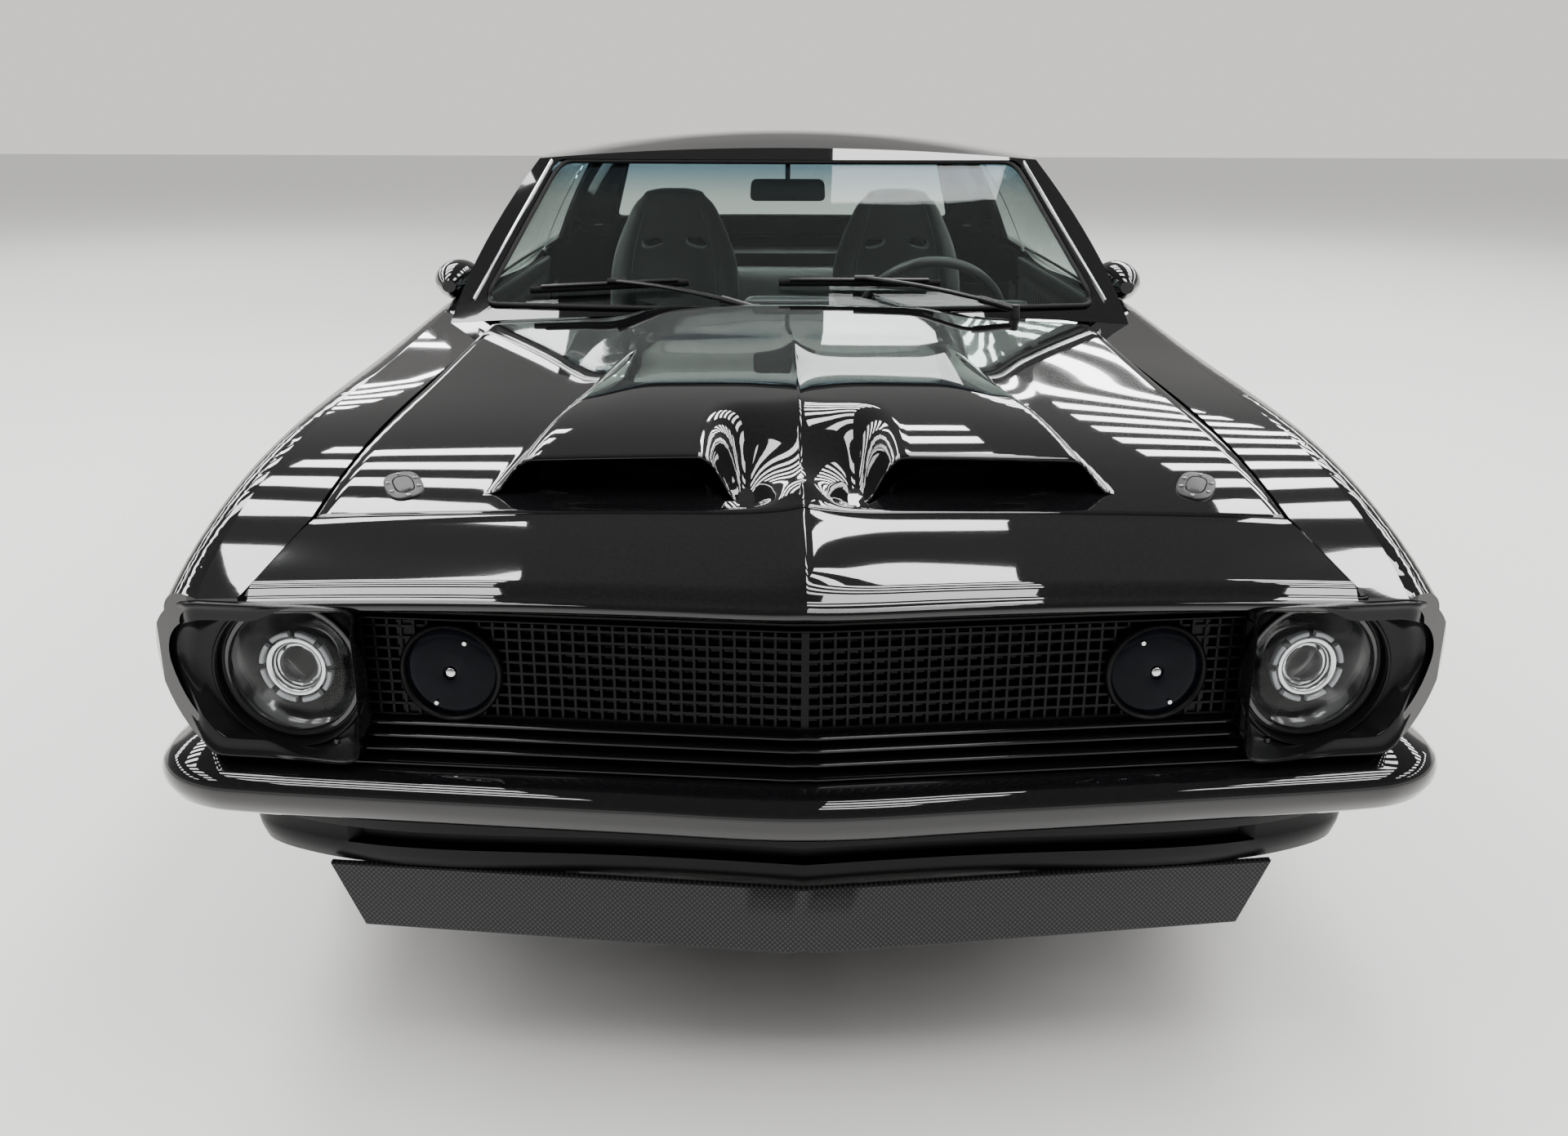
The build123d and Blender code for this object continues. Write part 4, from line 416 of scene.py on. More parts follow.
# the mouths: a rolled lip, then a ceiling and a floor that run back to a closed end
first_row = back_rows[0]
inside = (first_row[0] >= MOUTH_INNER - 2) & (first_row[0] <= MOUTH_OUTER + 2)
mouth_s = first_row[0][inside]
mouth_y = np.full_like(mouth_s, MOUTH_Y)
top, low = skin(mouth_s, mouth_y, scoop_rise), skin(mouth_s, mouth_y, mouth_floor)
rolled = np.clip((top - low) / 8.0, 0, 1)
for side in (-1, 1):
    ceiling = [
        [(side * a, b + roll_y * k, c + roll_z * k) for a, b, c, k in zip(mouth_s, mouth_y, top, rolled)]
        for roll_y, roll_z in LIP_ROLL
    ]
    floor = [[(side * a, b, c) for a, b, c in zip(mouth_s, mouth_y, low)]]
    for depth in np.linspace(12, MOUTH_DEPTH, 9):
        y = mouth_y + depth
        above = skin(mouth_s, y, scoop_rise) - LIP_DROP
        below = crown(mouth_s, mouth_y) + mouth_floor(mouth_s, mouth_y) - 2 * (depth / MOUTH_DEPTH)
        ceiling.append([(side * a, b, max(c, d)) for a, b, c, d in zip(mouth_s, y, above, below)])
        floor.append([(side * a, b, c) for a, b, c in zip(mouth_s, y, below)])
    floor.append(ceiling[-1])
    add_sheet(ceiling)
    add_sheet(floor)

# the inner panel: a flat sheet with two crossed ribs, seen when the hood stands open
under_rows = []
for share in np.linspace(0, 1, 60):
    s = np.concatenate([np.linspace(0, 620, 50), [660]])
    start_y = hood_front(s)
    y = start_y + (HOOD_REAR_Y + 3 - start_y) * share
    side = hood_side(y)
    s = s * side / 660
    z = crown(s, y) - HOOD_THICKNESS
    brace = np.minimum(np.abs(s - 60 - (y + 2000) * 0.46), np.abs(s - 560 + (y + 2000) * 0.46))
    inset = np.minimum(np.minimum(side - s, y - start_y), HOOD_REAR_Y - y)
    hollow = ease((brace - 34) / 16.0) * ease((inset - 44) / 18.0)
    under_rows.append((s, y, z + np.where(s > MOUTH_INNER, 9, 4) * hollow))
add_sheet([both_sides(row) for row in under_rows])
hood_skin = make_piece("hood_skin", hood_points, hood_faces, paint, "hood", "paint", sharp=50)
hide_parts("hood")

# Nose panel: the painted steel strip that closes the body between the hood's front gap and the grille.
# The hood's crease runs on down its middle, and its front edge rolls under to the grille.
NOSE_SLOPE = 82 / 812
NOSE_HALF = 761.5
ROLL_DROP, ROLL_SHARE = 9, 0.14


def nose_row(share):
    """One row across the nose from the grille's edge, at 0, to the hood's gap, at 1."""
    s = np.concatenate([[0, 3, 7, 12, 18, 25, 33, 42, 51], np.linspace(60, NOSE_HALF, 44)])
    near = -2300 + NOSE_SLOPE * s
    side = NOSE_HALF + (HOOD_HALF_FRONT - NOSE_HALF) * share
    s = s * side / NOSE_HALF
    far = -2068.5 + HOOD_SWEEP * s / HOOD_HALF_FRONT
    return s, near + (far - near) * share


nose_rows = []
for share in np.linspace(0, 1, 22) ** 1.25:
    s, y = nose_row(share)
    z = crown(s, y) + spine(s, y) * (0.35 + 0.65 * ease(share * 3))
    nose_rows.append((s, y, z - ROLL_DROP * (1 - ease(share / ROLL_SHARE))))
s, y, z = nose_rows[0]
under = [
    (s, y + 34, z - 20), (s, y + 12, z - 19), (s, y - 1, z - 17), (s, y - 6, z - 12), (s, y - 6.5, z - 6),
    (s, y - 4, z - 2),
]
s, y, z = nose_rows[-1]
back = [(s, y, z - 2), (s, y, z - 20)]
nose_rows[-1] = (s, y - 2, z)
nose_points = []
for row in under + nose_rows + back:
    nose_points.extend(both_sides(row))
nose_count = len(both_sides(nose_rows[0]))
nose_faces = grid_faces(len(nose_points) // nose_count, nose_count)
nose_skin = make_piece("nose_skin", nose_points, nose_faces, paint, "chassis", "paint", sharp=50)
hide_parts("nose_panel")

# Grille: a moulded satin-black egg-crate field with plain mouldings over and under it, in two halves that
# meet in a shallow vee. The crate is the part's own; its outer columns and the mouldings are fixed in
# front of it.
satin_trim = new_finish("satin_black_trim", (0.0026, 0.0026, 0.003), 0.38, specular=0.16)
add_grain(satin_trim, 240, 0.05, 0.0003, rough=(0.28, 0.42))
gloss_trim = new_finish(
    "gloss_black_trim", (0.002, 0.002, 0.0024), 0.12, coat=0.25, coat_roughness=0.04, specular=0.2
)
add_grain(gloss_trim, 120, 0.02, 0.0003, rough=(0.09, 0.16))
finish_with(satin_trim, "grille")
NOSE_TIP_Y = -2308.0


def vee_y(x, back):
    """Where the nose's shallow vee lies at a half width, moved back from its tip."""
    return NOSE_TIP_Y + back + NOSE_SLOPE * abs(x)


def form_faces(rows, columns, ring=False):
    """Faces of a form stored row after row: its ends capped, or its last row joined to its first."""
    last = (rows - 1) * columns
    if ring:
        ends = [(last + k, last + (k + 1) % columns, (k + 1) % columns, k) for k in range(columns)]
    else:
        ends = [tuple(range(columns)), tuple(range(last, last + columns))]
    return grid_faces(rows, columns, wrap=True) + ends


def vee_strip(name, half, z, height, depth, back, material, steps=40):
    """A moulding across the nose that follows its vee, with a rounded front."""
    section = [
        (depth, -0.5), (0.35 * depth, -0.5), (0.1 * depth, -0.38), (0.0, -0.12), (0.0, 0.12),
        (0.1 * depth, 0.38), (0.35 * depth, 0.5), (depth, 0.5),
    ]
    points = []
    for x in np.linspace(-half, half, 2 * steps + 1):
        soften = 3.0 * math.exp(-((x / 10.0) ** 2))
        points.extend((x, vee_y(x, back) + soften + a, z + b * height) for a, b in section)
    faces = form_faces(2 * steps + 1, len(section))
    return make_piece(name, points, faces, material, "chassis", "trim_black", sharp=40)


def merged(parts):
    """Several (points, faces) shapes as one."""
    points, faces = [], []
    for some_points, some_faces in parts:
        start = len(points)
        points.extend(some_points)
        faces.extend(tuple(start + i for i in face) for face in some_faces)
    return points, faces


def brick(x, y, z, slope=0.0):
    """A block between limits in mm; its front and back can lean with the nose."""
    points = [(a, b + slope * abs(a), c) for a in x for b in y for c in z]
    return points, [(0, 1, 3, 2), (4, 6, 7, 5), (0, 4, 5, 1), (2, 3, 7, 6), (0, 2, 6, 4), (1, 5, 7, 3)]


GRILLE_MOULDINGS = [
    # name, half width, height, height of the strip, depth, set back from the nose
    ("moulding_top", 592, 730, 9, 26, 12, satin_trim),
    ("moulding_upper", 590, 717, 7, 24, 20, satin_trim),
    ("moulding_middle", 590, 562, 9, 22, 28, gloss_trim),
    ("moulding_lower", 596, 546, 9, 24, 22, gloss_trim),
    ("moulding_foot", 606, 529, 9, 28, 16, gloss_trim),
    ("moulding_sill", 640, 512, 8, 34, 8, gloss_trim),
]
for moulding in GRILLE_MOULDINGS:
    vee_strip(*moulding)
CRATE_PITCH, CRATE_ROW, CRATE_MIDDLE, CRATE_BAR, CRATE_EDGE = 18.0, 16.0, 642.0, 3.5, 522.0
CRATE_FRONT, CRATE_REAR, CRATE_HALF_HEIGHT = NOSE_TIP_Y + 42, NOSE_TIP_Y + 62, 72
BACKING_FOOT, BACKING_TOP = 506, 738
crate_parts = []
for side in (-1, 1):
    sides = sorted((side * CRATE_EDGE, side * (CRATE_EDGE + 4 * CRATE_PITCH)))
    crate_parts.append(brick(sides, (CRATE_REAR, CRATE_REAR + 4), (BACKING_FOOT, BACKING_TOP), NOSE_SLOPE))
    for k in range(5):
        x = side * (CRATE_EDGE + k * CRATE_PITCH)
        upright_bar = (x - CRATE_BAR / 2, x + CRATE_BAR / 2)
        heights = (CRATE_MIDDLE - CRATE_HALF_HEIGHT, CRATE_MIDDLE + CRATE_HALF_HEIGHT)
        crate_parts.append(brick(upright_bar, (CRATE_FRONT, CRATE_REAR), heights, NOSE_SLOPE))
    for k in range(-4, 6):
        z = CRATE_MIDDLE + (k - 0.5) * CRATE_ROW
        crate_parts.append(
            brick(sides, (CRATE_FRONT, CRATE_REAR), (z - CRATE_BAR / 2, z + CRATE_BAR / 2), NOSE_SLOPE)
        )
make_piece("grille_ends", *merged(crate_parts), satin_trim, "chassis", "trim_black", smooth=False)

# Hood latches: two flush push latches that hold the hood's front corners down. Each is a black oval plate
# with six small screws and a long button in it.
latch_black = new_finish("latch_black", (0.005, 0.005, 0.0055), 0.34, specular=0.3)
add_grain(latch_black, 260, 0.08, 0.0003, rough=(0.28, 0.42))
bolt_steel = new_finish("screw_steel", (0.42, 0.42, 0.43), 0.25, metallic=1.0)
add_grain(bolt_steel, 400, 0.08, 0.0002, rough=(0.18, 0.35))
LATCH_AT = (590.0, -1950.0)
LATCH_HALF_LENGTH, LATCH_HALF_WIDTH, LATCH_TURN = 46.0, 27.0, math.radians(24)


def hood_height(x, y):
    """Height of the finished hood over one place."""
    s = np.array([abs(x)])
    at = np.array([float(y)])
    return float(skin(s, at, scoop_rise)[0])


def around(count, power=1.0, rise_power=None):
    """Even places around a unit circle, drawn out towards a rectangle where the powers are under 1."""
    places = []
    for k in range(count):
        c, s = math.cos(2 * math.pi * k / count), math.sin(2 * math.pi * k / count)
        places.append((math.copysign(abs(c) ** power, c), math.copysign(abs(s) ** (rise_power or power), s)))
    return places


def turned_form(rows, count, place, ring=False):
    """A form turned from (radius, distance along) rows; place(across, up, along) sets each of its points."""
    points = [place(radius * c, radius * s, along) for radius, along in rows for c, s in around(count)]
    return points, form_faces(len(rows), count, ring)


def turned_by(angle, a, b):
    """Two distances in plan turned by an angle."""
    return a * math.cos(angle) - b * math.sin(angle), a * math.sin(angle) + b * math.cos(angle)


def on_latch(side, a, b, lift):
    """The place on the hood at distances across and along a latch, lifted off the skin."""
    across_by, along_by = turned_by(-side * LATCH_TURN, a, b)
    x, y = side * LATCH_AT[0] + across_by, LATCH_AT[1] + along_by
    return x, y, hood_height(x, y) + lift


# share of the width, share of the length, height over the skin: the plate's edge, then the button in it
LATCH_LEVELS = [
    (1.0, 1.0, -1.0), (1.0, 1.0, 2.0), (0.985, 0.985, 2.8), (0.94, 0.94, 3.1), (0.56, 0.6608, 3.1),
    (0.545, 0.6431, 1.2), (0.52, 0.6136, 1.0), (0.51, 0.6018, 2.4), (0.48, 0.5664, 3.6), (0.3, 0.354, 3.9),
]
LATCH_SCREW = [(3.6, -1), (3.6, 0.9), (2.9, 1.7), (1.8, 2.0), (1.7, 1.2), (0.2, 1.2)]
latch_parts, screw_parts = [], []
for side in (-1, 1):
    points = []
    for wide, long, lift in LATCH_LEVELS:
        half_width, half_length = LATCH_HALF_WIDTH * wide, LATCH_HALF_LENGTH * long
        points.extend(on_latch(side, half_width * c, half_length * s, lift) for c, s in around(56, 0.72))
    latch_parts.append((points, form_faces(len(LATCH_LEVELS), 56)))
    for a, b in ((0, 39), (0, -39), (20, 15), (-20, 15), (20, -15), (-20, -15)):
        x, y, z = on_latch(side, a, b, 3.0)
        screw_parts.append(turned_form(LATCH_SCREW, 12, lambda p, q, up: (x + p, y + q, z + up)))
make_piece("hood_latches", *merged(latch_parts), latch_black, "hood", "trim_black", sharp=35)
make_piece("hood_latch_screws", *merged(screw_parts), bolt_steel, "hood", "steel", sharp=40)

# Headlamps: a deep satin bezel screwed into each fender's end, and in it a round lamp with a clear lens,
# a black bowl, a projector in a bright collar, and a ring of short light strips around it.
BEZEL_RIM = [
    (598, 733), (700, 738), (770, 739), (815, 738), (845, 727), (862, 704), (872, 668), (865, 638),
    (851, 604), (835, 571), (820, 545), (806, 526), (790, 518), (740, 517), (680, 517), (606, 517),
    (596, 560), (593, 625), (594, 690),
]
CORNER_X, CORNER_Y, CORNER_SLOPE = 812.0, -2226.0, 76 / 93
# in from the rim's outline, and back from the fender's end
BEZEL_LIP = [
    (0, 6), (0, -3), (0.8, -5.2), (2.4, -6.6), (4.4, -6.8), (6.6, -5.6), (9, -3.6), (13, -2.6), (18, -2.0),
    (23, -1.5), (26, -1.0),
]
# share of the lamp ring's radius, and back from the nose
BEZEL_THROAT = [
    (0.995, 33), (0.975, 31), (0.955, 32), (0.945, 37), (0.94, 52), (0.93, 52), (0.92, 50.5), (0.905, 51),
    (0.9, 54), (0.895, 72),
]
LAMP_AT = (698.0, 625.0)
LAMP_RING = 108.0


def eased_between(a, b, c, d, steps):
    """Places from b towards c on the smooth curve through four points."""
    bend, twist = 2 * a - 5 * b + 4 * c - d, 3 * b - a - 3 * c + d
    return [
        0.5 * (2 * b + (c - a) * t + bend * t**2 + twist * t**3)
        for t in np.linspace(0, 1, steps, endpoint=False)
    ]


def lengths_along(line):
    """Distance from the start of a line to each of its points."""
    return np.concatenate([[0], np.cumsum(np.linalg.norm(np.diff(line, axis=0), axis=1))])


def closed_curve(points, count):
    """Evenly spaced places on a smooth closed curve through a few points."""
    corner = np.array(points, dtype=float)
    n = len(corner)
    dense = []
    for i in range(n):
        dense.extend(eased_between(corner[i - 1], corner[i], corner[(i + 1) % n], corner[(i + 2) % n], 16))
    dense = np.array(dense + [dense[0]])
    length = lengths_along(dense)
    at = np.linspace(0, length[-1], count, endpoint=False)
    return np.column_stack([np.interp(at, length, dense[:, 0]), np.interp(at, length, dense[:, 1])])


def lamp_frame(side):
    """The axes of a lamp square to its half of the nose: outward along the nose, up, forward."""
    slope = math.atan(NOSE_SLOPE)
    along = Vector((side * math.cos(slope), math.sin(slope), 0))
    ahead = Vector((side * math.sin(slope), -math.cos(slope), 0))
    return along, Vector((0, 0, 1)), ahead


def turned(profile, centre, side, segments=64, closed=False):
    """Points and faces of a turned shape from (radius, forward) rows, about a lamp's axis."""
    along, up, ahead = lamp_frame(side)
    middle = Vector(centre)
    return turned_form(
        profile, segments, lambda a, b, out: tuple(middle + along * a + up * b + ahead * out), closed
    )


def end_y(x, back):
    """Depth of the fender's end at a place across the car: the nose's slope, then the cut corner."""
    if abs(x) <= CORNER_X:
        return NOSE_TIP_Y + abs(x) * NOSE_SLOPE + back
    return CORNER_Y + (abs(x) - CORNER_X) * CORNER_SLOPE + back


bezel_black = new_finish("bezel_black", (0.006, 0.006, 0.0065), 0.22, specular=0.22)
add_grain(bezel_black, 300, 0.05, 0.0002, rough=(0.18, 0.27))
NARROW_LIP_X, LIP_GROWTH, BEZEL_DEPTH = 655, 85, 36
bezel_parts = []
for side in (-1, 1):
    rim = closed_curve([(side * x, z) for x, z in BEZEL_RIM], 112)
    centre_x = side * LAMP_AT[0]
    angles = np.arctan2(rim[:, 1] - LAMP_AT[1], rim[:, 0] - centre_x)
    centre = np.array((centre_x, LAMP_AT[1]))
    ring = centre + LAMP_RING * np.column_stack([np.cos(angles), np.sin(angles)])
    middle = (rim.max(axis=0) + rim.min(axis=0)) / 2
    half_sizes = (rim.max(axis=0) - rim.min(axis=0)) / 2
    lip_width = 0.1 + 0.9 * ease((np.abs(rim[:, 0]) - NARROW_LIP_X) / LIP_GROWTH)[:, None]

    def set_in(distance):
        """The rim's outline, drawn in by about this many millimetres, and by less beside the grille."""
        return middle + (rim - middle) * (1 - distance * lip_width / half_sizes)

    rows = [[(x, end_y(x, back), z) for x, z in set_in(inset)] for inset, back in BEZEL_LIP]
    for share in np.linspace(0.06, 1.0, 12):
        blend_rows = set_in(BEZEL_LIP[-1][0]) * (1 - share) + ring * share
        depth = BEZEL_DEPTH * math.sin(share * math.pi / 2)
        bend = 1 - ease(share * 1.4)
        rows.append([(x, end_y(x, 0) * bend + vee_y(x, 0) * (1 - bend) + depth, z) for x, z in blend_rows])
    for shrink, back in BEZEL_THROAT:
        drawn = zip(ring, centre + (ring - centre) * shrink)
        rows.append([(x_in, vee_y(x, back), z_in) for (x, _), (x_in, z_in) in drawn])
    points = [p for row in rows for p in row]
    bezel_parts.append((points, grid_faces(len(rows), len(rim), wrap=True)))
bezels = make_piece("lamp_bezels", *merged(bezel_parts), bezel_black, "chassis", "trim_black", sharp=40)
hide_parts("headlamp_bezels")

clear_glass = new_finish("lamp_glass", (0.97, 0.98, 0.98), 0.02, clear=1.0, ior=1.22)
add_grain(clear_glass, 60, 0.02, 0.0003)
chrome = new_finish("bright_chrome", (0.78, 0.79, 0.80), 0.06, metallic=1.0)
add_grain(chrome, 90, 0.015, 0.0002, rough=(0.04, 0.10))
bowl_black = new_finish("lamp_bowl", (0.03, 0.03, 0.032), 0.2, coat=0.6)
add_grain(bowl_black, 80, 0.03, 0.0003, rough=(0.1, 0.2))
strip_white = new_finish("light_strip", (0.42, 0.44, 0.46), 0.15, coat=0.6)
add_grain(strip_white, 200, 0.08, 0.0002)

# each turned part from (radius, forward of the seat) rows
LENS = [
    (0.6, 15), (20, 14.6), (40, 13), (58, 10), (74, 5), (84, 0), (88, -6), (92, -7), (92, -10), (86, -10),
    (80, -3), (70, 2), (54, 7), (38, 10), (20, 11.4), (0.6, 11.8),
]
BOWL = [
    (96, -4), (96, -30), (40, -80), (1, -82), (1, -78), (36, -76), (48, -62), (64, -40), (78, -22), (86, -13),
    (89, -11), (91, -4),
]
COLLAR = [
    (30, -60), (43, -60), (43, -18), (41.5, -16), (38, -15.6), (35, -17), (33.5, -20), (31, -34), (30, -44)
]
BARREL = [(31, -50), (31, -26), (29, -24), (27, -25), (27, -50)]
PROJECTOR = [(26.5, -45), (26.5, -30), (25, -24), (21, -19.5), (15, -16.4), (8, -14.6), (0.5, -14)]
LIGHT_STRIP = [(45.0, -22), (45.0, -15), (46.5, -13.4), (50.5, -13.4), (52.0, -15), (52.0, -22)]
lens_parts, bowl_parts, chrome_parts, strip_parts, projector_parts = [], [], [], [], []
for side in (-1, 1):
    centre = (side * LAMP_AT[0], vee_y(LAMP_AT[0], 44), LAMP_AT[1])
    lens_parts.append(turned(LENS, centre, side, 72))
    bowl_parts.append(turned(BOWL, centre, side, 72, closed=True))
    chrome_parts.append(turned(COLLAR, centre, side, closed=True))
    chrome_parts.append(turned(BARREL, centre, side, closed=True))
    projector_parts.append(turned(PROJECTOR, centre, side, 48))
    along, up, ahead = lamp_frame(side)
    for k in range(8):
        points = []
        for angle in np.linspace(2 * math.pi * (k + 0.12) / 8, 2 * math.pi * (k + 0.86) / 8, 9):
            out = along * math.cos(angle) + up * math.sin(angle)
            points.extend(tuple(Vector(centre) + out * radius + ahead * by) for radius, by in LIGHT_STRIP)
        strip_parts.append((points, form_faces(9, 6)))
lenses = make_piece("lamp_lenses", *merged(lens_parts), clear_glass, "chassis", "lamp_glass", sharp=40)
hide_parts("headlamps")
make_piece("lamp_bowls", *merged(bowl_parts), bowl_black, "chassis", "trim_black", sharp=40)
make_piece("lamp_collars", *merged(chrome_parts), chrome, "chassis", "steel", sharp=40)
make_piece("lamp_light_strips", *merged(strip_parts), strip_white, "chassis", "lamp_glass", sharp=40)
make_piece("lamp_projectors", *merged(projector_parts), clear_glass, "chassis", "lamp_glass", sharp=40)

# Driving lamps: round black housings set in the grille, each with a dark glass face, a bright centre and
# two small screws.
smoked_glass = new_finish("smoked_glass", (0.002, 0.0024, 0.004), 0.03, specular=0.08)
add_grain(smoked_glass, 40, 0.01, 0.0003, shade=(0.003, 0.004, 0.007))
DRIVING_AT = (474.0, 636.0)
DRIVING_RIM = [(66, -50), (70, -50), (70.5, 0), (70, 4), (68, 6), (65.5, 6.4), (63.5, 5), (62.5, 2), (62, -2)]
DRIVING_FACE = [
    (62.5, -6), (62.5, -2), (60, -0.5), (48, 1.6), (30, 3.2), (12, 3.8), (10, 3.0), (9.5, 0), (0.5, -0.4)
]
DRIVING_POINT = [(7.5, -2), (7.5, 2.6), (6, 4.4), (3, 5.2), (0.4, 5.4)]
drive_rims, drive_faces, drive_points_parts = [], [], []
for side in (-1, 1):
    centre = (side * DRIVING_AT[0], vee_y(DRIVING_AT[0], 38), DRIVING_AT[1])
    drive_rims.append(turned(DRIVING_RIM, centre, side, 72, closed=True))
    drive_faces.append(turned(DRIVING_FACE, centre, side, 72))
    drive_points_parts.append(turned(DRIVING_POINT, centre, side, 28))
make_piece("driving_lamp_rims", *merged(drive_rims), satin_trim, "chassis", "trim_black", sharp=40)
drive_glass = make_piece(
    "driving_lamp_faces", *merged(drive_faces), smoked_glass, "chassis", "lamp_glass", sharp=40
)
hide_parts("driving_lamps")
make_piece("driving_lamp_points", *merged(drive_points_parts), chrome, "chassis", "steel", sharp=40)

# Small bright screws: two in each bezel and two in each driving lamp's face. A geometry tree sets a
# domed head on every guide point and turns it along the point's own facing.


def new_tree(name, sizes):
    """A geometry tree with named sizes and a finish as its inputs; gives the tree and its input node."""
    tree = bpy.data.node_groups.new(name, "GeometryNodeTree")
    tree.interface.new_socket("Guide", in_out="INPUT", socket_type="NodeSocketGeometry")
    for label, value in sizes.items():
        kind = "NodeSocketInt" if isinstance(value, int) else "NodeSocketFloat"
        tree.interface.new_socket(label, in_out="INPUT", socket_type=kind).default_value = value
    tree.interface.new_socket("Finish", in_out="INPUT", socket_type="NodeSocketMaterial")
    tree.interface.new_socket("Geometry", in_out="OUTPUT", socket_type="NodeSocketGeometry")
    return tree, tree.nodes.new("NodeGroupInput")


def close_tree(tree, given, instances):
    """Makes the instances real, gives them the finish, and hands them out."""
    real = add_node(tree, "GeometryNodeRealizeInstances", {"Geometry": (instances, "Instances")})
    finished = add_node(
        tree, "GeometryNodeSetMaterial", {"Geometry": (real, "Geometry"), "Material": (given, "Finish")}
    )
    add_node(tree, "NodeGroupOutput", {"Geometry": (finished, "Geometry")})


def grown(name, tree, guide, edges, sizes, finish, body, facing=None):
    """The plain mesh that a tree grows on guide points or lines in mm, set on its body."""
    mesh = bpy.data.meshes.new(name)
    mesh.from_pydata([tuple(c / 1000 for c in p) for p in guide], edges, [])
    if facing:
        held = mesh.attributes.new("facing", "FLOAT_VECTOR", "POINT")
        held.data.foreach_set("vector", [c for way in facing for c in way])
    piece = bpy.data.objects.new(name, mesh)
    bpy.context.collection.objects.link(piece)
    grower = piece.modifiers.new("grow", "NODES")
    grower.node_group = tree
    for item in tree.interface.items_tree:
        if item.in_out == "INPUT" and item.name in sizes:
            grower[item.identifier] = sizes[item.name]
        if item.name == "Finish":
            grower[item.identifier] = finish
    fresh = bpy.data.meshes.new_from_object(piece.evaluated_get(bpy.context.evaluated_depsgraph_get()))
    piece.modifiers.clear()
    piece.data = fresh
    fresh.materials.clear()
    fresh.materials.append(finish)
    fresh.polygons.foreach_set("material_index", [0] * len(fresh.polygons))
    fresh.shade_smooth()
    fresh.set_sharp_from_angle(angle=math.radians(35))
    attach(piece, body)
    return piece


screw_tree, screw_given = new_tree("screw_heads", {"Radius": 0.004, "Height": 0.002, "Sides": 16})
top_radius = add_node(
    screw_tree, "ShaderNodeMath", {0: (screw_given, "Radius"), 1: 0.7}, operation="MULTIPLY"
)
screw_sink = add_node(
    screw_tree, "ShaderNodeMath", {0: (screw_given, "Height"), 1: -2.0}, operation="MULTIPLY"
)
screw_depth = add_node(
    screw_tree, "ShaderNodeMath", {0: (screw_given, "Height"), 1: 3.0}, operation="MULTIPLY"
)
screw_form = add_node(screw_tree, "GeometryNodeMeshCone", {
    "Vertices": (screw_given, "Sides"), "Radius Top": (top_radius, 0),
    "Radius Bottom": (screw_given, "Radius"), "Depth": (screw_depth, 0),
})
screw_drop = add_node(screw_tree, "ShaderNodeCombineXYZ", {"Z": (screw_sink, 0)})
screw_placed = add_node(
    screw_tree, "GeometryNodeTransform", {"Geometry": (screw_form, "Mesh"), "Translation": (screw_drop, 0)}
)
screw_way = add_node(
    screw_tree, "GeometryNodeInputNamedAttribute", {"Name": "facing"}, data_type="FLOAT_VECTOR"
)
screw_turn = add_node(
    screw_tree, "FunctionNodeAlignRotationToVector", {"Vector": (screw_way, "Attribute")}, axis="Z"
)
screws_set = add_node(screw_tree, "GeometryNodeInstanceOnPoints", {
    "Points": (screw_given, "Guide"), "Instance": (screw_placed, "Geometry"),
    "Rotation": (screw_turn, "Rotation"),
})
close_tree(screw_tree, screw_given, screws_set)
screw_places, screw_facing = [], []
for side in (-1, 1):
    ahead = tuple(lamp_frame(side)[2])
    for x, z, back in ((828, 703, 20), (640, 530, 30)):
        screw_places.append((side * x, end_y(x, back), z))
        screw_facing.append(ahead)
    for x, z in ((DRIVING_AT[0] - 22, 679), (DRIVING_AT[0] + 22, 592)):
        screw_places.append((side * x, vee_y(x, 36) - 1.5, z))
        screw_facing.append(ahead)
grown(
    "lamp_screws", screw_tree, screw_places, [], {"Radius": 0.0041, "Height": 0.0016}, chrome, "chassis",
    screw_facing,
)

# Bumpers: slim blades pressed from steel and painted body black, with rounded ends that wrap the corners.
BUMPER_SECTION = [
    # forward of the plan's line, height (mm)
    (-38, 453), (-42.5, 462), (-43, 476), (-38, 487), (-26, 496), (0, 505), (22, 510), (33, 510), (36, 504),
    (36, 480), (36, 446), (30, 437), (10, 434.5), (-16, 435), (-28, 438), (-34, 444),
]
BUMPER_MIDDLE, END_LENGTH = 472, 46.0


def both_halves(half):
    """A line mirrored to the whole width, and its direction at every point."""
    line = np.vstack([(half * (-1, 1))[:0:-1], half])
    run = np.gradient(line, axis=0)
    return line, run / np.linalg.norm(run, axis=1)[:, None]


def bumper_blade(name, plan, raise_by, facing, cad_node):
    """A blade swept along a smooth plan, its section drawn in at the ends."""
    corner = np.array(plan, dtype=float)
    control = [corner[1] * (-1, 1), *corner, corner[-1]]
    half = []
    for i in range(len(corner) - 1):
        half.extend(eased_between(*control[i : i + 4], 26))
    line, run = both_halves(np.array(half + [corner[-1]]))
    length = lengths_along(line)
    points = []
    for place, way, left in zip(line, run, np.minimum(length, length[-1] - length)):
        out = np.array((-way[1], way[0])) * facing
        tight = 1.0
        if left < END_LENGTH:
            tight = math.sqrt(max(0.0, 1 - (1 - left / END_LENGTH) ** 2)) * 0.86 + 0.14
        for ahead, z in BUMPER_SECTION:
            spot = place - out * ahead * (0.35 + 0.65 * tight)
            points.append((spot[0], spot[1], BUMPER_MIDDLE + (z - BUMPER_MIDDLE) * tight + raise_by))
    faces = form_faces(len(line), len(BUMPER_SECTION))
    blade = make_piece(name, points, faces, paint, "chassis", "paint", sharp=50)
    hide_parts(cad_node)


